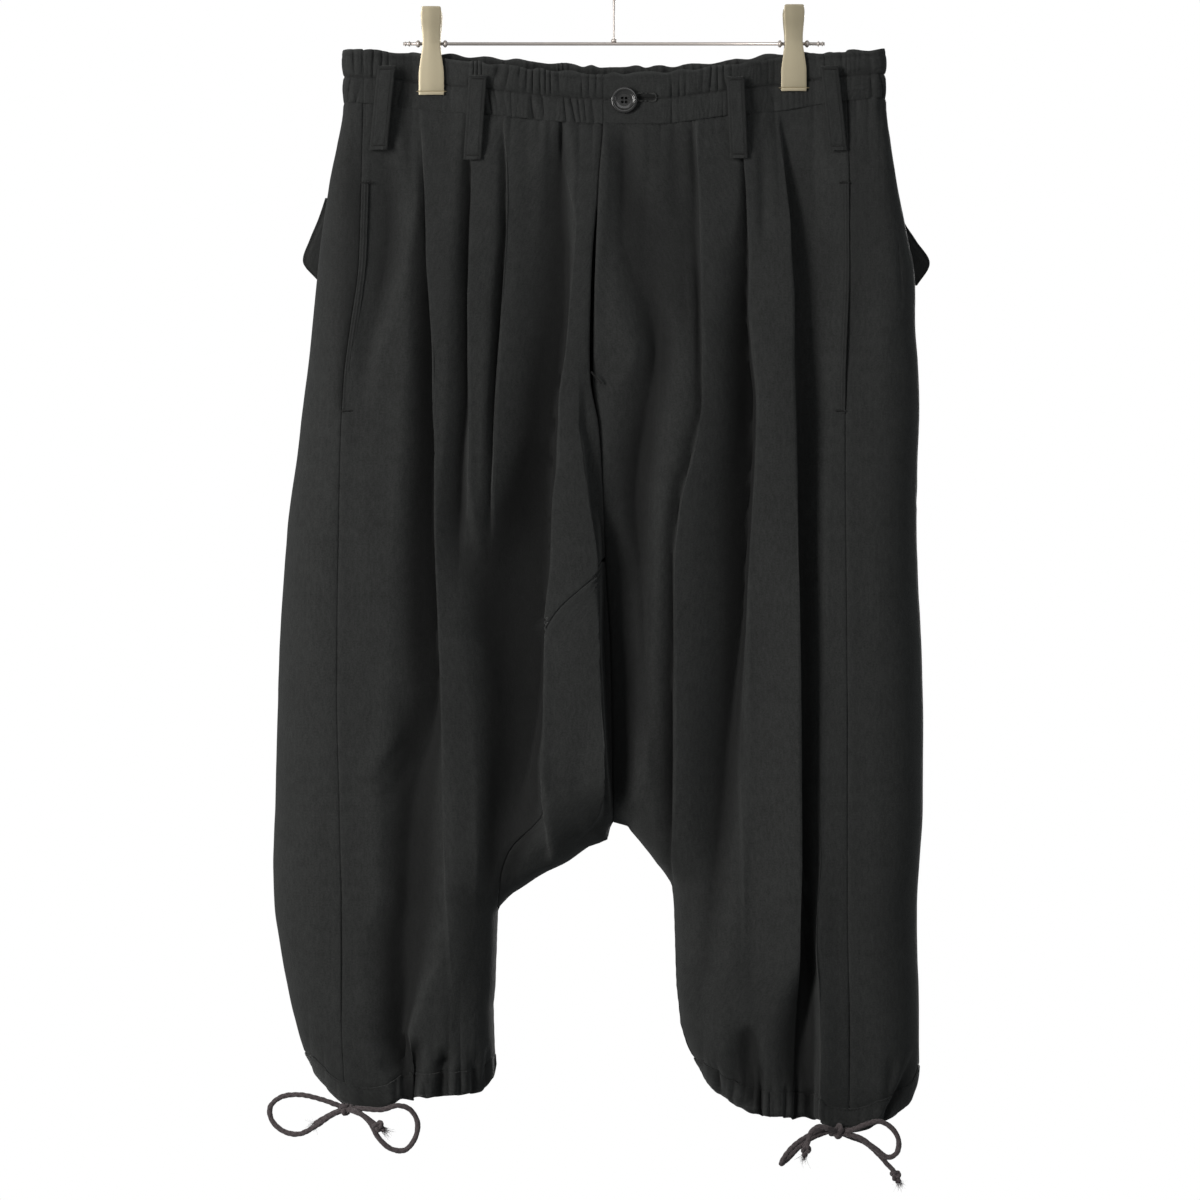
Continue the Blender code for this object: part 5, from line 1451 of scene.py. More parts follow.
@dataclass
class Panel:
    """What every large panel shares: rows, relief, seams and the size of its cut."""

    name: str
    node: str
    side: int
    hem: Table
    flat: tuple[float, float]
    cut_area: float
    creases: tuple[Crease, ...]
    seed: int
    sewn: tuple[bool, bool, bool, bool] = (True, True, True, False)
    seam_lines: tuple = ()
    facing: int = -1
    stops: tuple[float, ...] = ()
    spacing: tuple[float, ...] = ()
    front_limit: float = 0.004
    seam_roll: float = 0.00042
    seam_ridge: float = 0.00018
    seam_pull: float = 0.00022

    def row(self, level: float, folds: tuple[Fold | Draw, ...]) -> Array:
        """Lay one row of points, which each kind of panel does in its own way."""
        raise NotImplementedError

    def make(self, wardrobe: Wardrobe) -> bpy.types.Object:
        """Build the panel from its rows."""
        folds = FOLDS[self.side, self.facing]
        grid = np.array([self.row(level, folds) for level in levels(self.stops, self.spacing)])
        return self.finish(Sheet(self.name, grid, -1), wardrobe)

    def hand(self, grid: Array) -> Array:
        """Give the cloth's own quiet unevenness.

        Args:
            grid: The panel's points.

        Returns:
            Height outward in metres.
        """
        grain = Grain(self.seed)
        x, drop = grid[..., 3], grid[..., 4]
        turn = grid[..., 1] * 12
        return sum(height * grain.at(x / across + shift + turn, drop / down + lower)
                   for height, across, down, shift, lower in HAND)

    def gathers(self, grid: Array) -> Array:
        """Give the ripples under the waistband and over the hem, and the tuck under the band.

        Args:
            grid: The panel's points.

        Returns:
            Height outward in metres.
        """
        x, drop = grid[..., 3], grid[..., 4]
        where = x + np.where(grid[..., 1] > 0, 0.5, 0.0)
        waist = Gathers(GATHER_PITCH, 0.0012, 0.008, 0.036, Grain(self.seed + 1))
        fly = (grid[..., 1] < 0) * bump(x, 0.010, 0.020)
        pressed = (1 - 0.7 * FORM.clip_share(x)) * (1 - fly)
        off = drop - WAIST.at("lower", x)
        under = waist.relief(where, off) * pressed - TUCK_DEPTH * (1 - ease(off, -0.0002, 0.0024))
        away = self.hem.at("drop", x) - HEM_HEIGHT - drop
        over = LEGS[self.side].relief(grid, away) * rounded(np.abs(FORM.arch_distance(x, drop)) / 0.012)
        return under + over - TUCK_DEPTH * (1 - ease(away, -0.0002, 0.0020))

    def painted_shade(self, grid: Array) -> Array:
        """Give the shade painted on each point in the folds' hollows and the gathers' troughs.

        Args:
            grid: The panel's points.

        Returns:
            A share from 0 in the open to 1 deep inside.
        """
        here = (grid[..., 1] > 0) == (self.facing > 0)
        hollow = FORM.hollow(FOLDS[self.side, self.facing], grid[..., 3], grid[..., 4])
        deep = np.where(here, hollow, 0)
        return np.clip(shade_share(deep, -self.gathers(grid)), 0, 1)

    def seam_distance(self, sheet: Sheet) -> Array:
        """Measure from each point to the panel's sewn edges.

        Args:
            sheet: The panel's sheet.

        Returns:
            The distance to the nearest sewn edge.
        """
        run = sheet.lengths()
        first, last, top, bottom = self.sewn
        far = np.full(run.shape, FAR)
        best = np.minimum(run if first else far, run[:, -1:] - run if last else far)
        drop = sheet.grid[..., 4]
        best = np.minimum(best, np.abs(drop - drop[0] - TUCK_UNDER) if top else far)
        return np.minimum(best, drop[-1] - drop if bottom else far)

    def puckers(self, sheet: Sheet, seam: Array) -> Array:
        """Give the seams' rolled shoulder and the little pulls beside them.

        Args:
            sheet: The panel's sheet.
            seam: Distance from the sewn edges.

        Returns:
            Height outward in metres.
        """
        grain = Grain(self.seed + 3)
        drop = sheet.grid[..., 4]
        pull = np.sin(2 * math.pi * drop / GATHER_PITCH + 3 * grain.at(drop / 0.02, drop * 0))
        pull = pull * (0.4 + 0.6 * grain.at(drop / 0.05 + 3, drop * 0) ** 2)
        shoulder = -self.seam_roll * np.clip(1 - seam / 0.0015, 0, 1) ** 2
        ridge = self.seam_ridge * bump(seam, 0.0040, 0.0026)
        return shoulder + ridge + self.seam_pull * pull * np.exp(-seam / 0.0055)

    def finish(self, sheet: Sheet, wardrobe: Wardrobe) -> bpy.types.Object:
        """Args:
            sheet: The panel's plain sheet.
            wardrobe: Gives the finish.

        Returns:
            The finished piece.
        """
        grid = sheet.grid
        seam = self.seam_distance(sheet)
        inner = line_distance(grid[..., 0], grid[..., 4], self.seam_lines)
        seam = np.minimum(seam, np.where(grid[..., 1] < self.front_limit, inner, FAR))
        height = self.hand(grid) + self.gathers(grid) + self.puckers(sheet, seam)
        for crease in self.creases:
            same = (grid[..., 1] < 0) if sheet.facing < 0 else (grid[..., 1] > 0)
            height = height + np.where(same, crease.relief(grid[..., 0], grid[..., 4]), 0)
        height = height + self.own_relief(grid)
        # Painted shade for the hollows and the gathers' troughs.
        painted_shade = self.painted_shade(grid)
        sheet.swell(height)
        piece = sheet.build(None, seam, painted_shade)
        LOG.info("%s: area %.4f m2", self.name, sheet.area())
        wardrobe.dress(piece, Finish.WOOL, [self.node])
        return piece

    def own_relief(self, grid: Array) -> Array:
        """Give what only this panel has; a plain panel has nothing more."""
        return grid[..., 0] * 0


@dataclass
class FrontPanel(Panel):
    """A front, from the outseam to the centre, with a column on every sharp crest."""

    columns: tuple[int, ...] = ()
    fly_foot: tuple[float, float] = (0.228, 0.240)
    fly_lap: float = 0.00085
    fly_edge: float = 0.00045
    fly_stand: float = 0.00035
    fly_under: float = 0.0005

    def outer(self, drop: float) -> float:
        """Return the outseam's x."""
        return float(OUTSEAM.at(SIDES[self.side], drop))

    def inner(self, drop: float) -> float:
        """Return the centre edge's x."""
        return FORM.front_inner(self.side, drop)

    def row(self, level: float, folds: tuple[Fold | Draw, ...]) -> Array:
        """Lay one row of points.

        Args:
            level: The row's level.
            folds: The panel's folds.

        Returns:
            The row's points.
        """
        start, stop = FORM.settle(level, self.hem, self.outer), FORM.settle(level, self.hem, self.inner)
        toward = 1 if stop > start else -1
        sharp = [fold for fold in folds if isinstance(fold, Fold) and fold.side]
        crests = sorted((FORM.settle(level, self.hem, fold.base) for fold in sharp),
                        key=lambda place: place * toward)
        stops, left = [start], len(crests)
        for place in crests:
            stops.append(min(place * toward, stop * toward - left * SPAN_MARGIN) * toward)
            left -= 1
        stops.append(stop)
        pieces = []
        for number, (a, b) in enumerate(zip(stops, stops[1:])):
            last = number == len(self.columns) - 1
            t = np.linspace(0, 1, FINE)
            x = a + (b - a) * (np.sin(t * math.pi / 2) if last else t)
            points = FORM.surface(x, FORM.row_drop(level, x, self.hem), folds, -1)
            weight = 1 + 3 * sum(bump(x, place, CREST_ZONE) for place in crests)
            weight = weight + 2 * bump(x, start, 0.003) + 1.5 * bump(x, stop, 0.002)
            chosen = pick(points, spread(points, weight, self.columns[number]))
            pieces.append(chosen if last else chosen[:-1])
        return np.concatenate(pieces)

    def own_relief(self, grid: Array) -> Array:
        """Lift the fly's overlap on the right front and sink the left edge under it.

        Args:
            grid: The panel's points.

        Returns:
            Height outward in metres.
        """
        x, drop = grid[..., 0], grid[..., 4]
        fly = (1 - ease(drop, *self.fly_foot)) * ease(drop, 0.0, 0.06)
        off = x - CENTRE.at("x", drop)
        if self.side > 0:
            lap = self.fly_lap * (1 - ease(off, 0.0, 0.010))
            lap = lap - self.fly_edge * np.clip(1 - off / 0.0012, 0, 1) ** 2
            return fly * (lap + self.fly_stand * (1 - ease(off, 0.030, 0.036)))
        return -self.fly_under * fly * (1 - ease(-off, 0.0, 0.005))


@dataclass
class SidePanel(Panel):
    """From the outseam on the front, round the side edge and across the back."""

    count: int = 176
    facing: int = 1
    mouth_top: tuple[float, float] = (0.040, 0.11)
    mouth_foot: tuple[float, float] = (0.255, 0.275)
    mouth_depth: float = 0.0014

    def mouth(self, grid: Array) -> Array:
        """Give how near each point lies to the pocket's mouth, where the cloth turns in.

        Args:
            grid: The panel's points.

        Returns:
            A share from 0 away from the mouth to 1 at its edge.
        """
        drop = grid[..., 4]
        off = np.abs(grid[..., 3] - OUTSEAM.at(SIDES[self.side], drop))
        reach = 0.016 - 0.011 * ease(drop, 0.15, 0.25)
        along = ease(drop, *self.mouth_top) * (1 - ease(drop, *self.mouth_foot))
        return (grid[..., 1] < 0) * along * np.exp(-(off / reach) ** 1.5)

    def own_relief(self, grid: Array) -> Array:
        """Turn the cloth in at the pocket's mouth."""
        return -self.mouth_depth * self.mouth(grid)

    def painted_shade(self, grid: Array) -> Array:
        """Give the shade painted in the hollows, with more painted shade at the pocket's mouth, stronger on
        the left.
        """
        share = 0.75 if self.side < 0 else 0.35
        return np.clip(super().painted_shade(grid) + share * self.mouth(grid), 0, 1)

    def row(self, level: float, folds: tuple[Fold | Draw, ...]) -> Array:
        """Lay one row of points.

        Args:
            level: The row's level.
            folds: The back's folds.

        Returns:
            The row's points.
        """
        seam = FORM.settle(level, self.hem, lambda drop: OUTSEAM.at(SIDES[self.side], drop))
        seam += self.side * SEAM_GAP / 2
        edge = FORM.settle(level, self.hem, lambda drop: OUTLINE.at(SIDES[self.side], drop))
        stop = FORM.settle(level, self.hem, lambda drop: FORM.back_inner(self.side, drop))
        t = np.linspace(0, 1, 2 * FINE)
        front_x = seam + (edge - seam) * np.sin(t * math.pi / 2)
        back_x = 0.5 * (edge + stop) + 0.5 * (edge - stop) * np.cos(t * math.pi)
        front = FORM.surface(front_x, FORM.row_drop(level, front_x, self.hem), (), -1)
        back = FORM.surface(back_x, FORM.row_drop(level, back_x, self.hem), folds, 1)
        points = np.concatenate([front, back[1:]])
        run = np.concatenate([[0], np.cumsum(np.linalg.norm(np.diff(points[:, :3], axis=0), axis=1))])
        weight = 1 + 1.2 * np.exp(-np.abs(points[:, 0] - edge) / 0.02)
        weight = weight + 3 * np.exp(-run / 0.003) + 3 * np.exp(-(run[-1] - run) / 0.003)
        return pick(points, spread(points, weight, self.count))


@dataclass
class Gusset(Panel):
    """The pointed crotch panel beside the centre seam."""

    count: int = 52
    sewn: tuple[bool, bool, bool, bool] = (True, True, False, False)

    def row(self, level: float, folds: tuple[Fold | Draw, ...]) -> Array:
        """Lay one row of points.

        Args:
            level: The row's level.
            folds: The left front's folds, of which the fold's centre edge runs on here.

        Returns:
            The row's points.
        """
        edge = GUSSET_SEAM.at("x", level)
        slope = (GUSSET_SEAM.at("x", level + 0.004) - GUSSET_SEAM.at("x", level - 0.004)) / 0.008
        start = edge + FORM.gusset_gap * math.hypot(1, slope)
        stop = FORM.centre(self.side, level)
        x = start + (stop - start) * np.sin(np.linspace(0, math.pi / 2, FINE))
        points = FORM.surface(x, np.full_like(x, level), folds, -1)
        weight = 1 + 2 * np.exp(-np.abs(x - folds[4].base(level)) / CREST_ZONE)
        weight = weight + 3 * np.exp(-np.abs(x - start) / CREST_ZONE)
        return pick(points, spread(points, weight, self.count))


@dataclass
class WaistPiece:
    """A stretch of the gathered waistband: two elastic channels with a stitched middle."""

    name: str
    node: str
    stretches: tuple[tuple[float, float, int], ...]
    columns: int
    flat: tuple[float, float]
    cut_area: float
    seed: int
    rows: int = 34
    pitch: float = 0.0066
    wall: float = 0.0010
    plain_left: tuple[float, float] = (-0.014, -0.006)
    plain_right: tuple[float, float] = (0.030, 0.040)

    def line(self, part: float) -> Array:
        """Lay one row of points at a share of the band's height.

        Args:
            part: 0 at the band's top and 1 at its lower edge.

        Returns:
            Points along the row, with their flat x and drop.
        """
        pieces: list[Array] = []
        for start, stop, facing in self.stretches:
            share = 0.5 - 0.5 * np.cos(np.linspace(0, math.pi, 3 * FINE))
            x = start + (stop - start) * share
            top = WAIST.at("front_top" if facing < 0 else "back_top", x)
            drop = top + part * (WAIST.at("lower", x) - top)
            x = np.clip(x, OUTLINE.at("left", drop), OUTLINE.at("right", drop))
            y = facing * FORM.half_depth(x, drop)
            piece = np.stack([x, y, -WAIST_DROP - drop, x, drop], -1)
            pieces.append(piece if not pieces else piece[1:])
        points = np.concatenate(pieces)
        return pick(points, spread(points, np.ones(len(points)), self.columns))

    def channel(self, run: Array, part: Array, seed: int) -> Array:
        """Give one channel's pinched lines, from 0 between them to -1 in the deepest.

        Args:
            run: Distance along the band.
            part: Share of the channel's height.
            seed: Start of its noise.

        Returns:
            The depth's share at each point.
        """
        grain = Grain(seed)
        slant = 0.45 * grain.at(run / 0.026 + 3, part * 0) * part
        beat = run / self.pitch + 1.1 * grain.at(run / 0.013, part * 0.7 + 9) + slant
        wave = np.abs(np.sin(math.pi * beat)) ** 0.55
        keep = ease(grain.at(run / (1.3 * self.pitch) + 40, part * 1.3 + 5), -0.75, 0.45)
        return keep * (wave - 1)

    def slit(self, grid: Array) -> Array:
        """Give how far each point lies in the buttonhole's cut, where shade is painted.

        Args:
            grid: The band's points.

        Returns:
            A share from 0 outside the cut to 1 in its middle.
        """
        x, drop = grid[..., 0], grid[..., 4]
        left, right = BUTTONHOLE_X
        inside = ease(x, left, left + MM) * (1 - ease(x, right - MM, right))
        return (grid[..., 1] < 0) * inside * bump(drop, BUTTONHOLE_DROP, BUTTONHOLE_HALF)

    def ruffle(self, run: Array, part: Array, grid: Array) -> Array:
        """Give the gathers' height, each channel with its own rhythm.

        Args:
            run: Distance along the band.
            part: Share of the band's height.
            grid: The band's points.

        Returns:
            Height outward in metres.
        """
        grain = Grain(self.seed + 2)
        lower = ease(part, 0.46, 0.54)
        pinch = (1 - lower) * self.channel(run, part, self.seed)
        pinch = pinch + lower * self.channel(run, part, self.seed + 5)
        fine = np.sin(2 * math.pi * run / 0.0029 + 6 * grain.at(run / 0.006, part * 3 + 1))
        swell = grain.at(run / 0.011, part * 2.2 + 3)
        held = 1 - 0.35 * bump(part, 0.5, 0.06) - 0.35 * bump(part, 0.0, 0.10)
        x, y = grid[..., 0], grid[..., 1]
        plain = (y < 0) * (ease(x, *self.plain_left) * (1 - ease(x, *self.plain_right)))
        free = (1 - 0.80 * FORM.clip_share(x) ** 2) * (1 - 0.95 * plain)
        return free * held * (RUFFLE_HEIGHT * (1.30 * pinch + 0.30 + 0.35 * swell) + 0.00010 * fine)

    def make(self, wardrobe: Wardrobe) -> tuple[bpy.types.Object, Sheet]:
        """Build the band and return it with its sheet, whose rows carry stitches.

        Args:
            wardrobe: What dresses each piece.

        Returns:
            The dressed band and its sheet.
        """
        share = np.linspace(0, 1, self.rows)
        grid = np.array([self.line(part) for part in share])
        sheet = Sheet(self.name, grid, -1, wall=self.wall)
        part = np.repeat(share[:, None], grid.shape[1], 1)
        run = np.repeat(sheet.lengths().mean(0)[None], self.rows, 0)
        channel = np.abs(np.sin(2 * math.pi * part)) ** 0.8
        puff = CHANNEL_SWELL * 0.65 * channel * (1 - 0.8 * FORM.clip_share(grid[..., 0]))
        fold = bump(part, 0.105, 0.022) * (0.6 + 0.4 * Grain(self.seed + 8).at(run / 0.017, run * 0))
        tuck = -0.0008 * bump(part, 0.5, 0.026) - 0.0005 * fold
        ends = rounded(np.minimum(run, run[:, -1:] - run) / 0.0015)
        ruffle = ends * self.ruffle(run, part, grid)
        # Painted shade: darker in the ruffles' troughs, along the middle stitching, under the fold near the
        # top and in the buttonhole's cut.
        painted_shade = 0.9 * ease(-ruffle, 0.0001, 0.0013) + 0.25 * bump(part, 0.5, 0.022) + 0.35 * fold
        painted_shade = painted_shade + self.slit(grid)
        sheet.swell(puff + tuck + ruffle)
        # A small up-and-down ripple in the shape of the band's top edge.
        edge_ripple_and_highlight = 0.0009 * ends * np.sin(run / 0.0041 + 2 * Grain(self.seed).at(run / 0.02, run * 0))
        sheet.grid[..., 2] += edge_ripple_and_highlight * bump(part, 0.0, 0.08)
        height = WAIST.at("lower", grid[..., 0]) - WAIST.at("front_top", grid[..., 0])
        stitch = np.abs(part - 0.5) * height
        seam = np.minimum((1 - part) * height + 0.0002, np.minimum(run, run[:, -1:] - run) + 0.0003)
        # Painted highlight: a lighter line along the band's top edge.
        edge_ripple_and_highlight = bump(part, 0.0, 0.035) * (0.65 + 0.35 * Grain(self.seed + 4).at(run / 0.02, run * 0))
        piece = sheet.build(stitch, seam, np.clip(painted_shade, 0, 1), edge_ripple_and_highlight)
        LOG.info("%s: area %.4f m2", self.name, sheet.area())
        wardrobe.dress(piece, Finish.WOOL, [self.node])
        return piece, sheet


@dataclass
class HemCasing:
    """The drawn-up casing round a leg's end, flat only under the bow."""

    name: str
    node: str
    side: int
    hem: Table
    flat: tuple[float, float]
    cut_area: float
    columns: int = 470
    rows: int = 15
    stitch_part: float = 0.06
    turn_in: float = 0.0022

    def line(self, part: float) -> Array:
        """Lay one closed row at a share of the casing's height.

        Args:
            part: 0 at the casing's top and 1 at the hem.

        Returns:
            Points round the leg, with their flat x and drop.
        """
        def drop_at(x: Array | float) -> Array:
            """Give the row's drop at x."""
            return self.hem.at("drop", x) - (1 - part) * HEM_HEIGHT

        ends = [drop_at(self.hem.data[0, 0]), drop_at(self.hem.data[-1, 0])]
        outer, inner = ends if self.side < 0 else ends[::-1]
        for _ in range(SETTLE_ROUNDS):
            outer_x, inner_x = OUTLINE.at(SIDES[self.side], outer), FORM.arch(self.side, inner)
            outer, inner = drop_at(outer_x), drop_at(inner_x)
        x = outer_x + (inner_x - outer_x) * (0.5 - 0.5 * np.cos(np.linspace(0, math.pi, 2 * FINE)))
        front = FORM.surface(x, drop_at(x), FOLDS[self.side, -1], -1)
        back = FORM.surface(x, drop_at(x), FOLDS[self.side, 1], 1)[::-1]
        points = np.concatenate([front, back[1:]])
        return pick(points, spread(points, np.ones(len(points)), self.columns))[:-1]

    def make(self, wardrobe: Wardrobe) -> tuple[bpy.types.Object, Sheet]:
        """Build the casing and return it with its sheet.

        Args:
            wardrobe: What dresses each piece.

        Returns:
            The dressed casing and its sheet.
        """
        share = np.linspace(0, 1, self.rows)
        grid = np.array([self.line(part) for part in share])
        sheet = Sheet(self.name, grid, -1, closed=True)
        part = np.repeat(share[:, None], grid.shape[1], 1)
        leg, front = LEGS[self.side], grid[..., 1] < 0
        drawn = leg.relief(grid, 0 * part)
        flat = leg.flat_share(grid[..., 3], front)
        hollow = np.where(front, FORM.hollow(FOLDS[self.side, -1], grid[..., 3], grid[..., 4]),
                          FORM.hollow(FOLDS[self.side, 1], grid[..., 3], grid[..., 4]))
        # Painted shade in the casing's hollows and in the gathers' troughs.
        painted_shade = shade_share(hollow, -drawn)
        sheet.swell(drawn * (1 + 0.25 * part) - self.turn_in * ease(part, 0.72, 1.0) ** 2)
        scallop = Grain(leg.seed + 3).at(grid[..., 3] / 0.0062 + 40 * ~front, 0 * part)
        sheet.grid[..., 2] += (0.75 * drawn + 0.0009 * scallop * (1 - flat)) * ease(part, 0.4, 1.0)
        stitch = np.abs(part - self.stitch_part) * HEM_HEIGHT + 0.02 * (1 - flat)
        piece = sheet.build(stitch, part * HEM_HEIGHT + 0.0008, np.clip(painted_shade, 0, 1))
        LOG.info("%s: area %.4f m2", self.name, sheet.area())
        wardrobe.dress(piece, Finish.WOOL, [self.node])
        return piece, sheet


def weave_between(rows: Array, down: int, across: int) -> Array:
    """Refine a coarse grid of points with smooth curves through them.

    Args:
        rows: Coarse points, rows by columns by 3.
        down: Rows wanted.
        across: Columns wanted.

    Returns:
        Fine grid of (X, Y, Z, x, drop).
    """
    keys = np.arange(rows.shape[1], dtype=float)
    wide = np.linspace(0, keys[-1], across)
    grid = np.array([[flow(keys, row[:, k], wide) for k in range(3)] for row in rows]).transpose(0, 2, 1)
    keys = np.arange(rows.shape[0], dtype=float)
    tall = np.linspace(0, keys[-1], down)
    fine = np.array([[flow(keys, grid[:, j, k], tall) for k in range(3)] for j in range(across)])
    fine = fine.transpose(2, 0, 1)
    return np.concatenate([fine, fine[..., :1], -WAIST_DROP - fine[..., 2:3]], -1)


@dataclass
class BeltLoop:
    """A folded strip sewn down at both ends, with its lower end turned under."""

    name: str
    top_x: float
    bottom_x: float
    top: float
    bottom: float
    width: float
    facing: int
    thickness: float = 0.0014
    edge_stitch: float = 0.0017
    down: int = 46
    across: int = 13
    tacks: tuple[tuple[int, str], ...] = ((2, "upper"), (43, "lower"))

    def stations(self) -> Array:
        """Lay the strip's coarse stations over the cloth.

        Returns:
            The stations in order down the strip.
        """
        drops = np.linspace(self.top, self.bottom, 6) * MM
        xs = np.linspace(self.top_x, self.bottom_x, 6) * MM
        reach = [FORM.outward(x, drop, self.facing, 0.009) for x, drop in zip(xs, drops)]
        over = [max(reach[max(i - 1, 0):i + 2]) for i in range(5)] + [reach[5]]
        out = np.array(over) + SOLID_WALL / 2 + CLEAR + 0.0009
        belly = np.array((0.0, 0.0006, 0.0012, 0.0013, 0.0007, 0.0))
        half = self.width * MM / 2
        share = np.linspace(-1, 1, 5)
        return np.array([[(x + half * s, self.facing * (y + b), -WAIST_DROP - drop) for s in share]
                         for x, drop, y, b in zip(xs, drops, out, belly)])

    def make(self, wardrobe: Wardrobe) -> bpy.types.Object:
        """Build the strip with its turned end, edge stitching and bar tacks.

        Args:
            wardrobe: What dresses each piece.

        Returns:
            The dressed piece.
        """
        grid = weave_between(self.stations(), self.down, self.across)
        share = np.linspace(-1, 1, self.across)[None]
        tall = np.linspace(0, 1, self.down)[:, None]
        sheet = Sheet(self.name, grid, self.facing, wall=self.thickness)
        grain = Grain(int(abs(self.top_x)) + 3)
        crown = 0.00035 * (1 - share ** 4) - 0.0003 * np.clip(np.abs(share) - 0.8, 0, 1) * 5
        wrinkle = 0.00030 * grain.at(tall * 9, share * 1.2 + 4)
        dip = -0.0007 * bump(tall, 0.03, 0.02) - 0.0009 * bump(tall, 0.945, 0.014)
        roll = 0.0005 * bump(tall, 0.985, 0.02)
        sheet.swell(crown + wrinkle + dip + roll)
        half = self.width * MM / 2
        stitch = np.abs(half * (1 - np.abs(share)) - self.edge_stitch) + tall * 0
        length = (self.bottom - self.top) * MM
        tack = np.minimum(np.abs(tall - 0.945), np.abs(tall - 0.03)) * length + share * 0
        stitch = np.minimum(stitch, tack)
        # Both folded sides take the seam darkening, which paints shade along the loop's edges.
        piece = sheet.build(stitch, half * (1 - np.abs(share)) + tall * 0)
        wardrobe.dress(piece, Finish.WOOL, [self.name.replace("loop_strip", "belt_loop")])
        under = "waistband_back" if self.facing > 0 else "waistband_front_right"
        under = under if self.facing > 0 or self.top_x > 0 else "waistband_front_left"
        for at, label in self.tacks:
            row, normal = sheet.grid[at, 2:-2, :3], sheet.normals()[at, 2:-2]
            lift = self.thickness / 2 - 0.0001
            BarTack(f"{self.name}_tack_{label}", row, normal, lift, 0.0011).make(wardrobe)
        return piece


@dataclass
class PocketWelt:
    """The folded edge of a side pocket's mouth."""

    name: str
    node: str
    side: int
    top: float = 0.098
    bottom: float = 0.270
    half: float = 0.0022
    flat_width: float = 0.010
    seen_width: float = 0.0048
    down: int = 90
    across: int = 9
    tacks: tuple[tuple[int, str], ...] = ((1, "upper"), (88, "lower"))

    def make(self, wardrobe: Wardrobe) -> bpy.types.Object:
        """Build the edge and its two bar tacks.

        Args:
            wardrobe: What dresses each piece.

        Returns:
            The dressed piece.
        """
        rows = []
        for drop in np.linspace(self.top, self.bottom, 7):
            x = float(OUTSEAM.at(SIDES[self.side], drop)) - self.side * 0.0026
            y = -(FORM.outward(x, drop, -1, 0.003) + SOLID_WALL / 2)
            ends = ((x - self.half, y + 0.0009 * (self.side > 0)),
                    (x + self.half, y + 0.0009 * (self.side < 0)))
            rows.append([(at, out, -WAIST_DROP - drop) for at, out in ends])
        grid = weave_between(np.array(rows), self.down, self.across)
        share = np.linspace(-1, 1, self.across)[None]
        drop = grid[..., 4]
        sheet = Sheet(self.name, grid, -1)
        grain = Grain(40 + self.side)
        sheet.swell(0.0003 * (1 - share ** 2) + 0.00016 * grain.at(drop / 0.007, drop * 0 + 2))
        stitch = np.abs((1 - np.abs(share)) * self.half - 0.0012) + drop * 0
        outer = 1 + share * self.side if grid[0, 0, 0] < grid[0, -1, 0] else 1 - share * self.side
        piece = sheet.build(stitch, (2 - outer) * self.half + 0.0003 + drop * 0)
        wardrobe.dress(piece, Finish.WOOL, [self.node])
        for at, label in self.tacks:
            middle = sheet.grid[at, self.across // 2, :3]
            reach = np.linspace(-0.0030, 0.0045, 9)[:, None] * np.array((-self.side, 0, 0.05))
            lift = np.array((0, -0.0004, 0))
            BarTack(f"{self.name}_tack_{label}", middle + reach + lift, facing_front(9), 0.0).make(wardrobe)
        return piece


@dataclass
class PocketFlap:
    """A back pocket's flap, whose outer corner stands off the hip."""

    name: str
    node: str
    side: int
    outline: Table
    inner: float = 0.082
    flat: tuple[float, float] = (0.138, 0.064)
    wall: float = 0.0014
    down: int = 44
    across: int = 96
    edge_stitch: float = 0.0055

    def make(self, wardrobe: Wardrobe) -> bpy.types.Object:
        """Build the flap.

        Args:
            wardrobe: What dresses each piece.

        Returns:
            The dressed piece.
        """
        rows = []
        drops = self.outline.column("drop")
        for drop in np.linspace(drops[0], drops[-1], 5):
            outer = float(self.outline.at("x", drop))
            row = []
            for x in np.linspace(outer, self.side * self.inner, 9):
                on_cloth = self.side * min(self.side * x, 0.183)
                y = max(FORM.outward(on_cloth, drop + shift, 1) for shift in (-0.006, 0, 0.006))
                row.append((x, y + SOLID_WALL / 2 + CLEAR + 0.0001, -WAIST_DROP - drop))
            rows.append(row)
        grid = weave_between(np.array(rows), self.down, self.across)
        drop = grid[..., 4]
        grid[..., 1] += 0.0012 * np.linspace(0, 1, self.down)[:, None] ** 2
        sheet = Sheet(self.name, grid, 1, wall=self.wall)
        run = sheet.lengths()
        edge = np.minimum(np.minimum(run, run[:, -1:] - run), drop[-1] - drop)
        grain = Grain(60 + self.side)
        puff = 0.0006 * bump(edge, 0.0025, 0.002) - 0.0004 * bump(edge, self.edge_stitch, 0.0012)
        sheet.swell(puff + 0.0005 * grain.at(drop / 0.02, run / 0.03)
                    - 0.0012 * bump(drop - drop[0], 0.0, 0.003))
        seam = np.minimum(edge + 0.0006, drop - drop[0] + 0.0002)
        piece = sheet.build(np.abs(edge - self.edge_stitch), seam)
        LOG.info("%s: area %.4f m2", self.name, sheet.area())
        wardrobe.dress(piece, Finish.WOOL, [self.node])
        return piece


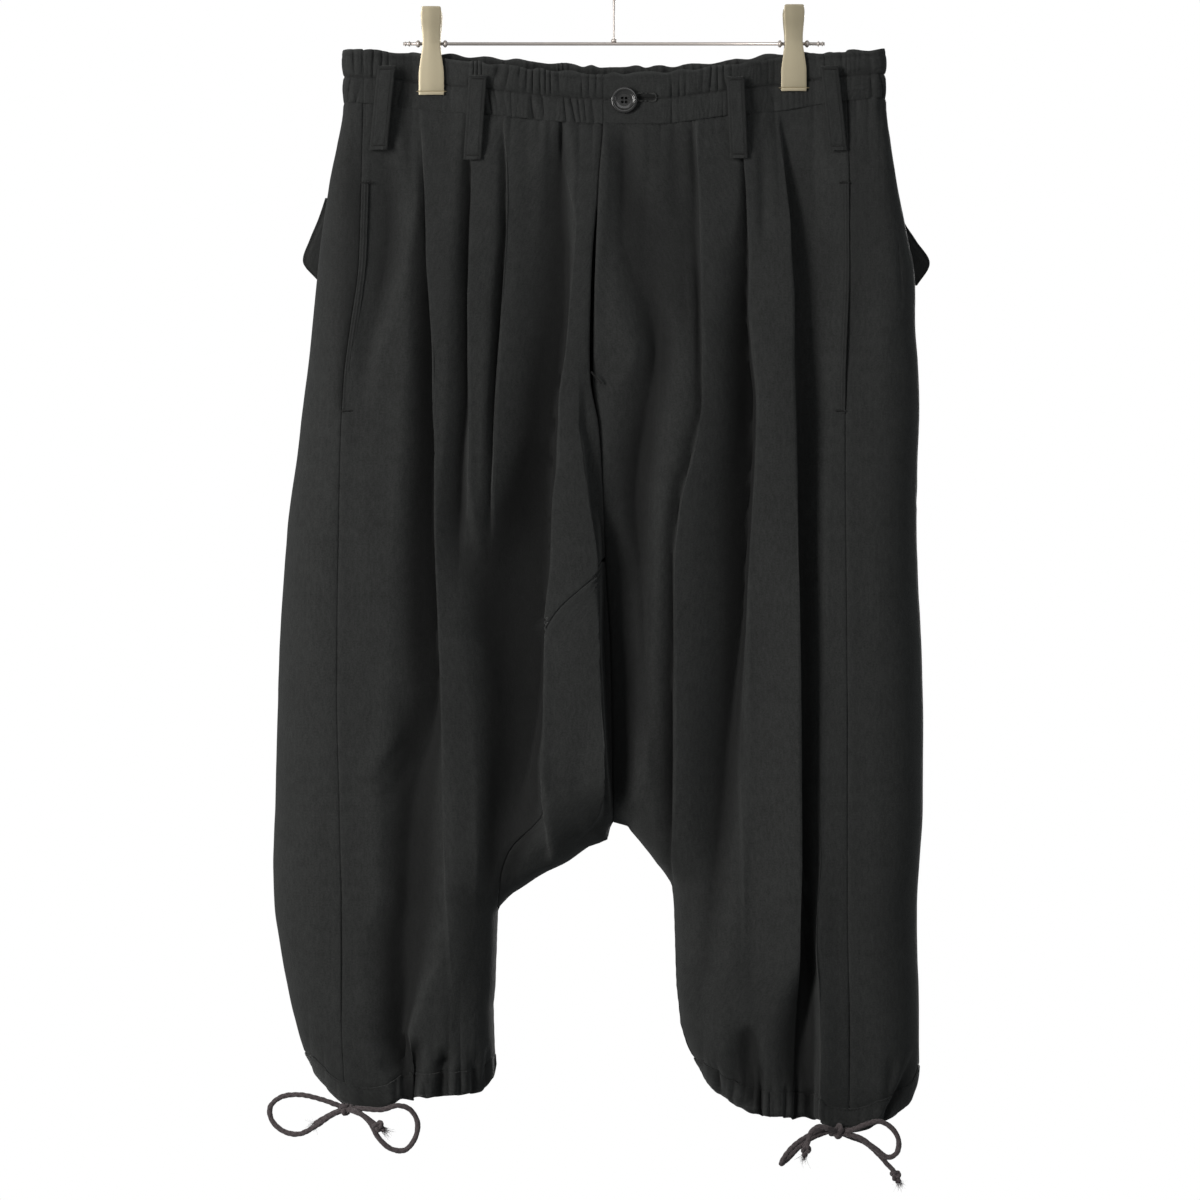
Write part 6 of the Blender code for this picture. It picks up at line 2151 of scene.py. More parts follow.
def smooth_path(points: Array, spacing: float) -> Array:
    """Run an evenly spaced smooth curve through a route's points.

    Args:
        points: The route in metres.
        spacing: Distance wanted between the curve's points.

    Returns:
        Points along the curve.
    """
    chord = np.concatenate([[0], np.cumsum(np.sqrt(np.linalg.norm(np.diff(points, axis=0), axis=1)))])
    fine = np.linspace(0, chord[-1], 900)
    tangent = np.gradient(points, chord, axis=0)
    i = np.clip(np.searchsorted(chord, fine, side="right") - 1, 0, len(chord) - 2)
    step = (chord[i + 1] - chord[i])[:, None]
    t = (fine - chord[i])[:, None] / step
    curve = ((1 + 2 * t) * (1 - t) ** 2 * points[i] + t * (1 - t) ** 2 * step * tangent[i]
             + t * t * (3 - 2 * t) * points[i + 1] + t * t * (t - 1) * step * tangent[i + 1])
    length = np.linalg.norm(np.diff(curve, axis=0), axis=1).sum()
    return pick(curve, spread(curve, np.ones(900), max(4, round(length / spacing))))


def path_length(points: Array) -> float:
    """Return the length of a line of points."""
    return float(np.linalg.norm(np.diff(points, axis=0), axis=1).sum())


def swept(name: str, path: Array, radius: Array, around: int, braid: float = 0.0,
          lay: float = 0.0052) -> bpy.types.Object:
    """Sweep a round section along a path, with the strands of a braid raised on it.

    Args:
        name: The piece's name.
        path: Points along the middle.
        radius: Radius at each point.
        around: Points round the section.
        braid: Height of the strands, 0 for a plain tube.
        lay: Length of one turn of a strand.

    Returns:
        The piece, closed at both ends.
    """
    tangent = np.gradient(path, axis=0)
    tangent /= np.linalg.norm(tangent, axis=1)[:, None]
    side = np.cross(tangent[0], (0.3, 0.2, 1.0))
    sides = []
    for direction in tangent:
        side = side - direction * (side @ direction)
        side /= np.linalg.norm(side)
        sides.append(side.copy())
    first = np.array(sides)
    second = np.cross(tangent, first)
    run = np.concatenate([[0], np.cumsum(np.linalg.norm(np.diff(path, axis=0), axis=1))])
    angle = np.linspace(0, 2 * math.pi, around, endpoint=False)
    turn = 2 * math.pi * run[:, None] / lay
    strand = np.maximum(np.sin(3 * angle + turn), np.sin(3 * angle - turn))
    reach = radius[:, None] * (1 + braid * (strand - 0.5))
    ring = (path[:, None] + reach[..., None] * np.cos(angle)[None, :, None] * first[:, None]
            + reach[..., None] * np.sin(angle)[None, :, None] * second[:, None])
    count = len(path)
    index = np.arange(count * around).reshape(count, around)
    right = np.roll(index, -1, 1)
    quads = np.stack([index[:-1], right[:-1], right[1:], index[1:]], -1).reshape(-1, 4)
    points = np.concatenate([ring.reshape(-1, 3), path[:1], path[-1:]])
    start, stop = count * around, count * around + 1
    caps = [(start, b, a) for a, b in zip(index[0], right[0])]
    caps += [(stop, a, b) for a, b in zip(index[-1], right[-1])]
    mesh = bpy.data.meshes.new(name)
    mesh.from_pydata(points.tolist(), [], quads.tolist() + [tuple(map(int, cap)) for cap in caps])
    # The strands' height, from which the cord's material paints shade between the strands.
    store = mesh.attributes.new("braid", "FLOAT", "POINT")
    tone = np.concatenate([(0.5 + 0.5 * strand).ravel(), (0.4, 0.4)])
    store.data.foreach_set("value", tone.astype(np.float32))
    mesh.shade_smooth()
    build = bmesh.new()
    build.from_mesh(mesh)
    bmesh.ops.recalc_face_normals(build, faces=build.faces)
    build.to_mesh(mesh)
    build.free()
    piece = bpy.data.objects.new(name, mesh)
    bpy.context.scene.collection.objects.link(piece)
    return piece


def join_rings(build: bmesh.types.BMesh, rings: Sequence[Sequence[bmesh.types.BMVert]]) -> None:
    """Close a tube over rings of points, with a face at either end.

    Args:
        build: What holds the points.
        rings: The rings in order, each with as many points.
    """
    for a, b in zip(rings, rings[1:]):
        for k in range(len(a)):
            follow = (k + 1) % len(a)
            build.faces.new((a[k], a[follow], b[follow], b[k]))
    build.faces.new(rings[0][::-1])
    build.faces.new(rings[-1])


def built_piece(name: str, build: bmesh.types.BMesh) -> bpy.types.Object:
    """Turn built faces into a piece of the scene.

    Args:
        name: The piece's name.
        build: The faces, which are given up.

    Returns:
        The piece.
    """
    bmesh.ops.recalc_face_normals(build, faces=build.faces)
    mesh = bpy.data.meshes.new(name)
    build.to_mesh(mesh)
    build.free()
    piece = bpy.data.objects.new(name, mesh)
    bpy.context.scene.collection.objects.link(piece)
    return piece


@dataclass
class Knot:
    """A tight overhand knot of the same cord."""

    name: str
    node: str
    centre: tuple[float, float, float]
    across: float
    tall: float
    turn: float = 0.0

    def middle(self) -> Array:
        """Return the knot's centre in metres."""
        return np.array(self.centre) * MM

    def make(self, wardrobe: Wardrobe) -> bpy.types.Object:
        """Build the knot as one cord wound through itself.

        Args:
            wardrobe: What dresses each piece.

        Returns:
            The dressed piece.
        """
        t = np.linspace(0, 2 * math.pi, 150)
        loop = np.stack([np.sin(t) + 2 * np.sin(2 * t), np.cos(t) - 2 * np.cos(2 * t),
                         -1.25 * np.sin(3 * t)], -1)
        cord = 0.30 * self.across * MM / 2 * (1 + 0.10 * np.sin(5 * t + self.turn))
        size = np.array((self.across, self.tall, self.across * 0.8)) * MM / 2 - cord.mean()
        loop = loop / (2.75, 2.75, 1.25) * size
        c, s = math.cos(self.turn), math.sin(self.turn)
        path = np.stack([c * loop[:, 0] - s * loop[:, 1], loop[:, 2], s * loop[:, 0] + c * loop[:, 1]], -1)
        piece = swept(self.name, path + self.middle(), cord * 1.12, 14, 0.10, 0.0042)
        inside = np.linspace(-0.3, 0.3, 9)[:, None] * (self.across * MM, 0, 0) + self.middle()
        size = 0.33 * self.across * MM * rounded(1 - np.abs(np.linspace(-0.98, 0.98, 9)))
        core = swept(self.name + "_core", inside, size, 14, 0.12)
        wardrobe.dress(core, Finish.CORD)
        wardrobe.dress(piece, Finish.CORD, [self.node])
        return piece


@dataclass
class BowCord:
    """One end of the drawcord: round its loop behind the knot, through the knot and off to its tail."""

    name: str
    nodes: tuple[str, ...]
    knot: Knot
    loop: tuple
    tail: tuple
    end_knot: Knot | None
    diameter: float = 0.0040
    fray: float = 0.0048
    fibres: int = 90
    fibre: float = 0.00013

    def path(self) -> Array:
        """Lay the cord's middle line.

        Returns:
            Evenly spaced points along it.
        """
        hub = self.knot.middle()
        loop, tail = np.array(self.loop) * MM, np.array(self.tail) * MM
        back = hub + (0, 0.0012, 0)
        route = [back + 0.25 * (loop[0] - back), *loop, hub + 0.35 * (loop[-1] - hub), hub,
                 hub + 0.35 * (tail[0] - hub), *tail]
        if self.end_knot is not None:
            end = self.end_knot.middle()
            off = end - tail[-1]
            route += [end, end + off / np.linalg.norm(off) * 0.0055]
        return smooth_path(np.array(route), 0.00055)

    def make(self, wardrobe: Wardrobe) -> bpy.types.Object:
        """Args:
            wardrobe: What dresses each piece.

        Returns:
            The dressed piece.
        """
        path = self.path()
        share = np.linspace(0, 1, len(path))
        radius = self.diameter / 2 * (0.95 + 0.06 * Grain(7).at(share * 40, share * 0))
        radius = radius * (1 + 0.12 * ease(share, 0.975, 1.0))
        piece = swept(self.name, path, radius, 20, 0.085)
        wardrobe.dress(piece, Finish.CORD, self.nodes)
        others = [self.frayed_end(path, wardrobe)]
        if self.end_knot is not None:
            others.append(self.end_knot.make(wardrobe))
        length = round(path_length(path), 3)
        LOG.info("%s: length %.3f m", self.name, length)
        tuple(path[0])
        [tuple(p) for p in path[::4]]
        return piece

    def frayed_end(self, path: Array, wardrobe: Wardrobe) -> bpy.types.Object:
        """Build the loose fibres at the cut end.

        Args:
            path: The cord's middle line.
            wardrobe: What dresses each piece.

        Returns:
            The dressed tuft.
        """
        tip, way = path[-1], path[-1] - path[-6]
        way /= np.linalg.norm(way)
        rng = np.random.RandomState(len(self.name) + int(abs(tip[0]) * 1e4))
        build = bmesh.new()
        for _ in range(self.fibres):
            spread_way = way + rng.normal(0, 0.17, 3)
            root = tip - way * 0.0012 + rng.normal(0, self.diameter * 0.22, 3)
            bend = rng.normal(0, 0.0007, 3)
            length = self.fray * rng.uniform(0.45, 1.0)
            across = np.cross(spread_way, rng.normal(0, 1, 3))
            across *= self.fibre / np.linalg.norm(across)
            up = np.cross(spread_way, across)
            up *= self.fibre / np.linalg.norm(up)
            rings = []
            for step in np.linspace(0, 1, 5):
                middle = root + spread_way * length * step + bend * step * step * 3
                thin = 1 - 0.7 * step
                rings.append([build.verts.new(middle + thin * side)
                              for side in (across, up - across / 2, -up - across / 2)])
            join_rings(build, rings)
        return wardrobe.dress(built_piece(self.name + "_fray", build), Finish.CORD)


# A thread's rings: how far along, how thick and how far out of the cloth each one is.
THREAD_RINGS = (
    (0.0, 0.35, -0.6), (0.16, 0.9, 0.05), (0.5, 1.0, 0.35), (0.84, 0.9, 0.05), (1.0, 0.35, -0.6),
)


def capsules(name: str, starts: Array, ends: Array, normals: Array, radius: float) -> bpy.types.Object:
    """Make many short rounded threads as one piece.

    Args:
        name: The piece's name.
        starts: Where each thread goes into the cloth.
        ends: Where it comes out again.
        normals: Outward directions, by which the thread's middle stands up.
        radius: The thread's radius.

    Returns:
        The piece.
    """
    build = bmesh.new()
    for start, end, normal in zip(starts, ends, normals):
        way = end - start
        length = np.linalg.norm(way)
        if length < 1e-6:
            continue
        way = way / length
        across = np.cross(way, normal)
        across /= max(np.linalg.norm(across), 1e-9)
        up = np.cross(across, way)
        rings = []
        for t, size, lift in THREAD_RINGS:
            middle = start + way * length * t + up * radius * lift
            rings.append([
                build.verts.new(middle + radius * size * (math.cos(a) * across + math.sin(a) * up))
                for a in np.linspace(0, 2 * math.pi, 6)[:-1]
            ])
        join_rings(build, rings)
    piece = built_piece(name, build)
    piece.data.shade_smooth()
    return piece


@dataclass
class Stitching:
    """A line of lockstitch laid along points on the cloth."""

    name: str
    line: Array
    normals: Array
    lift: float
    stitch: float = 0.0026
    gap: float = 0.0006
    radius: float = 0.00021

    def make(self, wardrobe: Wardrobe) -> bpy.types.Object:
        """Build the line of stitches.

        Args:
            wardrobe: What dresses each piece.

        Returns:
            The dressed piece.
        """
        count = max(2, int(path_length(self.line) / (self.stitch + self.gap)))
        both = np.concatenate([self.line + self.normals * self.lift, self.normals], 1)
        places = spread(both, np.ones(len(both)), count)
        share = self.stitch / (self.stitch + self.gap)
        starts = pick(both, places[:-1])
        ends = pick(both, places[:-1] + share * np.diff(places))
        piece = capsules(self.name, starts[:, :3], ends[:, :3], starts[:, 3:], self.radius)
        return wardrobe.dress(piece, Finish.THREAD)


@dataclass
class BarTack:
    """A dense bar of thread across a line of points."""

    name: str
    line: Array
    normals: Array
    lift: float
    width: float = 0.0015
    threads: int = 16
    radius: float = 0.00033

    def make(self, wardrobe: Wardrobe) -> bpy.types.Object:
        """Build the bar as close threads laid across it.

        Args:
            wardrobe: What dresses each piece.

        Returns:
            The dressed piece.
        """
        both = np.concatenate([self.line + self.normals * (self.lift + 0.0001), self.normals], 1)
        spots = pick(both, spread(both, np.ones(len(both)), self.threads))
        along = np.gradient(spots[:, :3], axis=0)
        across = np.cross(along, spots[:, 3:])
        across /= np.linalg.norm(across, axis=1)[:, None]
        lean = along * 0.25
        piece = capsules(self.name, spots[:, :3] - across * self.width / 2 - lean,
                         spots[:, :3] + across * self.width / 2 + lean, spots[:, 3:], self.radius)
        return wardrobe.dress(piece, Finish.THREAD)


LEFT_BOW_KNOT = Knot("knot_bow_left", "bow_knot_left", (-195.5, -27.6, -871.5), 11, 9.5)
RIGHT_BOW_KNOT = Knot("knot_bow_right", "bow_knot_right", (162.5, -28.5, -888), 12, 10, 0.7)
BOWS = (
    BowCord("drawcord_left_a", ("cord_left_loop_outer", "cord_left_tail_inner"), LEFT_BOW_KNOT, (
        (-204.5, -27.5, -868), (-213, -27.5, -865), (-229.5, -27, -861.5), (-243.5, -26, -863.5),
        (-251, -26, -870.5), (-250, -26, -880), (-241.5, -27, -888), (-230, -28, -890),
        (-217.5, -29, -884), (-206.5, -29, -876.5),
    ), ((-187, -36, -873), (-181, -37, -876), (-176.5, -36.5, -879.5)),
        Knot("knot_end_left", "end_knot_left_inner", (-171.5, -36, -883), 9.0, 8.0, 0.4)),
    BowCord("drawcord_left_b", ("cord_left_loop_inner", "cord_left_tail_outer"), LEFT_BOW_KNOT, (
        (-183.5, -31.5, -871), (-169, -33, -871.5), (-157.5, -33, -868.5), (-149, -31, -871.5),
        (-143.5, -29, -881), (-145, -29, -892.5), (-152.5, -29, -901.5), (-162.5, -30, -900.5),
        (-171.5, -31, -892.5), (-178.5, -31, -880.5), (-187, -30, -873.5),
    ), ((-202.5, -25, -874), (-207.5, -24, -876.5), (-213.5, -23, -880), (-218.5, -23, -883.5)), None),
    BowCord("drawcord_right_a", ("cord_right_loop_outer", "cord_right_tail_inner"), RIGHT_BOW_KNOT, (
        (173.5, -31, -886.5), (183.5, -31, -882.5), (193.5, -30.5, -880.5), (202.5, -29.5, -885.5),
        (207.5, -28.5, -894.5), (206, -28, -904), (200, -28, -907), (191, -28.5, -901),
        (179, -29.5, -892.5),
    ), ((155.5, -37, -884.5), (149, -38.5, -883), (143, -38.5, -887), (141, -38.5, -893.5)),
        Knot("knot_end_right_inner", "end_knot_right_inner", (139.5, -38.5, -899), 8.0, 7.5, 1.1)),
    BowCord("drawcord_right_b", ("cord_right_loop_inner", "cord_right_tail_outer"), RIGHT_BOW_KNOT, (
        (153, -29, -887), (139, -32, -892), (128, -31, -901), (122, -26, -912),
        (125.5, -22, -910.5), (134, -19, -902.5), (145, -18, -894.5), (155.5, -16.5, -890.5),
    ), ((173.5, -20.5, -893.5), (184.5, -19.5, -898), (194, -19.5, -906.5), (200.5, -20, -914),
        (204, -20, -917.5)),
        Knot("knot_end_right_outer", "end_knot_right_outer", (206, -20, -921.5), 8.0, 8.0, 2.0)),
)


class Bench:
    """A workbench: adds a primitive and shapes it in edit mode, as by hand."""

    def __init__(self, name: str) -> None:
        """Start a piece.

        Args:
            name: The piece's name.
        """
        self.name = name
        self.piece: bpy.types.Object | None = None
        bpy.ops.object.select_all(action="DESELECT")

    def keep(self) -> "Bench":
        """Take the primitive that was just added as the piece."""
        self.piece = bpy.context.active_object
        self.piece.name = self.piece.data.name = self.name
        return self

    def cylinder(self, radius: float, depth: float, place: Vector, turn: tuple, sides: int) -> "Bench":
        """Add a capped cylinder."""
        bpy.ops.mesh.primitive_cylinder_add(vertices=sides, radius=radius, depth=depth,
                                            location=place, rotation=turn)
        return self.keep()

    def settle(self) -> "Bench":
        """Put the piece's place into its mesh."""
        only(self.piece)
        bpy.ops.object.transform_apply(location=True, rotation=True, scale=True)
        return self

    def choose(self, kind: str, listed: str, wanted: Callable[[object], bool]) -> "Bench":
        """Enter edit mode with only the wanted parts of the mesh selected.

        Args:
            kind: The selection's kind.
            listed: The name of the mesh's own list of them.
            wanted: Says whether a part is taken.

        Returns:
            The bench itself.
        """
        self.leave()
        only(self.piece)
        bpy.ops.object.mode_set(mode="EDIT")
        bpy.ops.mesh.select_mode(type=kind)
        bpy.ops.mesh.select_all(action="DESELECT")
        bpy.ops.object.mode_set(mode="OBJECT")
        for part in getattr(self.piece.data, listed):
            part.select = bool(wanted(part))
        bpy.ops.object.mode_set(mode="EDIT")
        return self

    def faces(self, wanted: Callable[[bpy.types.MeshPolygon], bool]) -> "Bench":
        """Select only the wanted faces."""
        return self.choose("FACE", "polygons", wanted)

    def verts(self, wanted: Callable[[Vector], bool]) -> "Bench":
        """Select only the wanted points, by their places."""
        return self.choose("VERT", "vertices", lambda vert: wanted(vert.co))

    def edges(self, wanted: Callable[[Vector, Vector], bool]) -> "Bench":
        """Select only the wanted edges, by the places of their ends."""
        points = self.piece.data.vertices
        return self.choose("EDGE", "edges", lambda edge: wanted(*(points[i].co for i in edge.vertices)))

    def inset(self, thickness: float, depth: float = 0.0) -> "Bench":
        """Inset the selected faces and push them in or out."""
        bpy.ops.mesh.inset(thickness=thickness, depth=depth, use_even_offset=True)
        return self

    def scale(self, value: tuple[float, float, float], centre: Vector) -> "Bench":
        """Scale the selection about a point."""
        bpy.ops.transform.resize(value=value, center_override=centre)
        return self

    def move(self, value: tuple[float, float, float]) -> "Bench":
        """Move the selection."""
        bpy.ops.transform.translate(value=value)
        return self

    def leave(self) -> "Bench":
        """Go back to object mode."""
        if bpy.context.mode != "OBJECT":
            bpy.ops.object.mode_set(mode="OBJECT")
        return self

    def modify(self, kind: str, **settings: object) -> "Bench":
        """Add a modifier and apply it.

        Args:
            kind: The modifier's type.
            settings: Its settings.

        Returns:
            The bench itself.
        """
        self.leave()
        modifier = self.piece.modifiers.new(kind.lower(), kind)
        for key, value in settings.items():
            setattr(modifier, key, value)
        apply_all(self.piece)
        return self

    def bevel(self, width: float, segments: int, angle: float) -> "Bench":
        """Round off every edge that is sharper than an angle in degrees."""
        return self.modify("BEVEL", width=width, segments=segments, limit_method="ANGLE",
                           angle_limit=math.radians(angle))

    def done(self, angle: float = 40.0) -> bpy.types.Object:
        """Smooth the piece by angle and return it.

        Args:
            angle: Edges sharper than this many degrees stay sharp.

        Returns:
            The finished piece.
        """
        self.leave()
        only(self.piece)
        bpy.ops.object.shade_smooth_by_angle(angle=math.radians(angle))
        return self.piece


@dataclass
class WaistButton:
    """Four-hole button with a broad rim and a dished middle, sewn through twice."""

    size: float = 0.0190
    thickness: float = 0.0028
    hole: float = 0.00105
    hole_off: float = 0.00195
    thread: float = 0.00014

    def make(self, wardrobe: Wardrobe) -> bpy.types.Object:
        """Turn, dish and drill the button, and sew it on.

        Args:
            wardrobe: What dresses each piece.

        Returns:
            The dressed piece.
        """
        low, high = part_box("waist_button")
        centre = (low + high) / 2 + Vector((0, -0.0002, -0.0012))
        front, radius = centre.y - self.thickness / 2, self.size / 2
        face = (math.pi / 2, 0, 0)
        bench = Bench("button").cylinder(radius, self.thickness, centre, face, 72).settle()
        bench.faces(lambda f: f.normal.y < -0.9).inset(0.0007).move((0, -0.0003, 0)).inset(0.0012)
        bench.inset(0.0008).move((0, 0.0009, 0)).inset(0.0016).move((0, 0.0004, 0)).inset(0.0008)
        bench.bevel(0.00035, 3, 22)
        holes = []
        for k in range(4):
            angle = math.pi / 4 + k * math.pi / 2
            spot = centre + Vector((math.cos(angle), 0, math.sin(angle))) * self.hole_off
            holes.append(Bench(f"drill_{k}").cylinder(self.hole, 0.02, spot, face, 20).settle().piece)
        for drill in holes:
            bench.modify("BOOLEAN", object=drill, operation="DIFFERENCE", solver="EXACT")
            bpy.data.objects.remove(drill)
        piece = wardrobe.dress(bench.done(28), Finish.BUTTON, ["waist_button"])
        starts, ends = [], []
        for side in (-1, 1):
            for off in (-0.00024, 0.0, 0.00024):
                x = centre.x + side * self.hole_off * 0.71 + off
                starts.append((x, front + 0.0018, centre.z - self.hole_off * 0.66))
                ends.append((x, front + 0.0018, centre.z + self.hole_off * 0.66))
        thread = capsules("button_thread", np.array(starts), np.array(ends), facing_front(len(starts)),
                          self.thread)
        wardrobe.dress(thread, Finish.THREAD)
        return piece


@dataclass
class Buttonhole:
    """A worked slit beside the button: close purl stitches round a dark cut."""

    stitch: float = 0.0012
    thread: float = 0.00034
    count: int = 84

    def make(self, wardrobe: Wardrobe) -> bpy.types.Object:
        """Build the ring of stitches.

        Args:
            wardrobe: What dresses each piece.

        Returns:
            The dressed piece.
        """
        t = np.linspace(0, 2 * math.pi, self.count, endpoint=False)
        left, right = BUTTONHOLE_X
        mid, reach = (left + right) / 2, (right - left) / 2
        wide = np.sign(np.cos(t)) * np.abs(np.cos(t)) ** 0.35
        tall = np.sign(np.sin(t)) * np.abs(np.sin(t)) ** 0.5
        x = mid + reach * wide
        z = -WAIST_DROP - BUTTONHOLE_DROP + BUTTONHOLE_HALF * tall - 0.03 * (x - mid)
        y = -(FORM.half_depth(x, -WAIST_DROP - z) + CHANNEL_SWELL * 0.45 + 0.0011)
        out = np.stack([0.35 * wide, x * 0, tall], -1)
        out /= np.linalg.norm(out, axis=1)[:, None]
        inner = np.stack([x, y, z], -1)
        piece = capsules("buttonhole_purl", inner, inner + out * self.stitch, facing_front(len(t)),
                         self.thread)
        return wardrobe.dress(piece, Finish.PURL)


@dataclass
class FlyTack:
    """The bar tack that closes the fly's foot."""

    start: tuple[float, float] = (-0.0165, 0.2400)
    stop: tuple[float, float] = (-0.0095, 0.2480)

    def make(self, wardrobe: Wardrobe) -> bpy.types.Object:
        """Lay the tack on the right front's edge.

        Args:
            wardrobe: What dresses each piece.

        Returns:
            The dressed piece.
        """
        x = np.linspace(self.start[0], self.stop[0], 7)
        drop = np.linspace(self.start[1], self.stop[1], 7)
        line = [(a, -FORM.outward(a, b, -1, 0.002) - SOLID_WALL / 2, -WAIST_DROP - b)
                for a, b in zip(x, drop)]
        return BarTack("fly_tack", np.array(line), facing_front(len(line)), 0.0002, 0.0016).make(wardrobe)


@dataclass
class ClipJaw:
    """A pressed plate with turned side flanges, narrowest at the rod and flared at the grip."""

    name: str
    node: str
    x: float
    facing: int
    lift: tuple[float, float] = (0.0, 0.0)
    rows: tuple = CLIP_ROWS
    flange: float = 0.0018
    thickness: float = 0.0009
    crown: float = 0.00012
    columns: int = 10
    lip: float = 0.0026
    groove: float = 0.0013

    def levels(self) -> list[tuple[float, float, float]]:
        """List the plate's heights with how far out and how wide it is at each.

        Returns:
            Height, distance out and width, from the finger end down.
        """
        table = np.array(self.rows)[::-1] * MM
        bottom, top = table[0, 0], table[-1, 0]
        heights = [bottom, bottom + self.lip - 0.0006, bottom + self.lip, bottom + self.lip + 0.0006]
        heights += list(np.linspace(bottom + self.lip + 0.0020, top, 34))
        rows = []
        for z in heights:
            out = float(flow(table[:, 0], table[:, 1], z))
            width = float(flow(table[:, 0], table[:, 2], z))
            share = (z - bottom) / (top - bottom)
            sunk = self.groove if z == heights[2] else 0.0
            rows.append((z + self.lift[1] * (1 - share) + self.lift[0] * share, out - sunk, width))
        return rows

    def make(self, wardrobe: Wardrobe) -> bpy.types.Object:
        """Cut the plate's outline from a flat sheet, press it and turn its flanges.

        Args:
            wardrobe: What dresses each piece.

        Returns:
            The dressed piece.
        """
        rows = self.levels()
        low, high = rows[0][0], rows[-1][0]
        height, middle = high - low, Vector((self.x, 0, (low + high) / 2))
        bpy.ops.object.select_all(action="DESELECT")
        bpy.ops.mesh.primitive_grid_add(x_subdivisions=self.columns, y_subdivisions=1, size=height,
                                        location=middle, rotation=(math.pi / 2, 0, 0))
        bench = Bench(self.name).keep().settle()
        for z, _, _ in rows[1:-1]:
            bench.verts(lambda c: True)
            bpy.ops.mesh.bisect(plane_co=(0, 0, z), plane_no=(0, 0, 1))
        for z, out, width in rows:
            bench.verts(lambda c, z=z: abs(c.z - z) < 1e-5)
            bench.scale((width / height, 1, 1), middle)
            bench.move((0, self.facing * out, 0))
        for share in (0.95, 0.75, 0.5, 0.25):
            bench.verts(lambda c, share=share: abs(c.x - self.x) < share * self.half_at(c.z, rows))
            bench.move((0, self.facing * self.crown, 0))
        bench.verts(lambda c: c.z > high - 1e-5 and abs(c.x - self.x) > 0.98 * rows[-1][2] / 2)
        bpy.ops.mesh.bevel(offset=0.0022, segments=5, affect="VERTICES")
        bench.edges(lambda a, b: (a.x - self.x) * (b.x - self.x) > 0 and all(
            abs(c.x - self.x) > 0.985 * self.half_at(c.z, rows) and c.z < high - 0.0024 for c in (a, b)))
        for _ in range(2):
            bpy.ops.mesh.extrude_edges_move(TRANSFORM_OT_translate={
                "value": (0, -self.facing * self.flange * 0.5, 0)})
        bpy.ops.mesh.select_all(action="SELECT")
        bpy.ops.mesh.normals_make_consistent(inside=False)
        bench.modify("SOLIDIFY", thickness=self.thickness, offset=0.0, use_even_offset=True)
        bench.bevel(0.00025, 2, 50)
        return wardrobe.dress(bench.done(40), Finish.CLIP, [self.node])

    def half_at(self, z: float, rows: list[tuple[float, float, float]]) -> float:
        """Return half the plate's width at a height."""
        return float(np.interp(z, [row[0] for row in rows], [row[2] for row in rows])) / 2


@dataclass
class ClipSpring:
    """A coil spring on the rod with a leg to each jaw."""

    name: str
    node: str
    x: float
    radius: float = 0.0036
    wire: float = 0.00055
    half: float = 0.0054
    turns: int = 8

    def make(self, wardrobe: Wardrobe) -> bpy.types.Object:
        """Wind the coil and bend its legs.

        Args:
            wardrobe: What dresses each piece.

        Returns:
            The dressed piece.
        """
        t = np.linspace(0, 2 * math.pi * self.turns, self.turns * 26)
        coil = np.stack([self.x - self.half + 2 * self.half * t / t[-1],
                         self.radius * np.cos(t), -ROD_DROP + self.radius * np.sin(t)], -1)
        lead = coil[0] + np.array([(0, 0.0004, -0.020), (0, 0.0002, -0.010), (0, 0, -0.004)])
        tail = coil[-1] + np.array([(0, -0.0076, -0.004), (0, -0.0076, -0.010), (0, -0.0076, -0.020)])
        path = smooth_path(np.concatenate([lead, coil[:-1:3], coil[-1:], tail]), 0.0007)
        piece = swept(self.name, path, np.full(len(path), self.wire), 10)
        return wardrobe.dress(piece, Finish.ROD, [self.node])


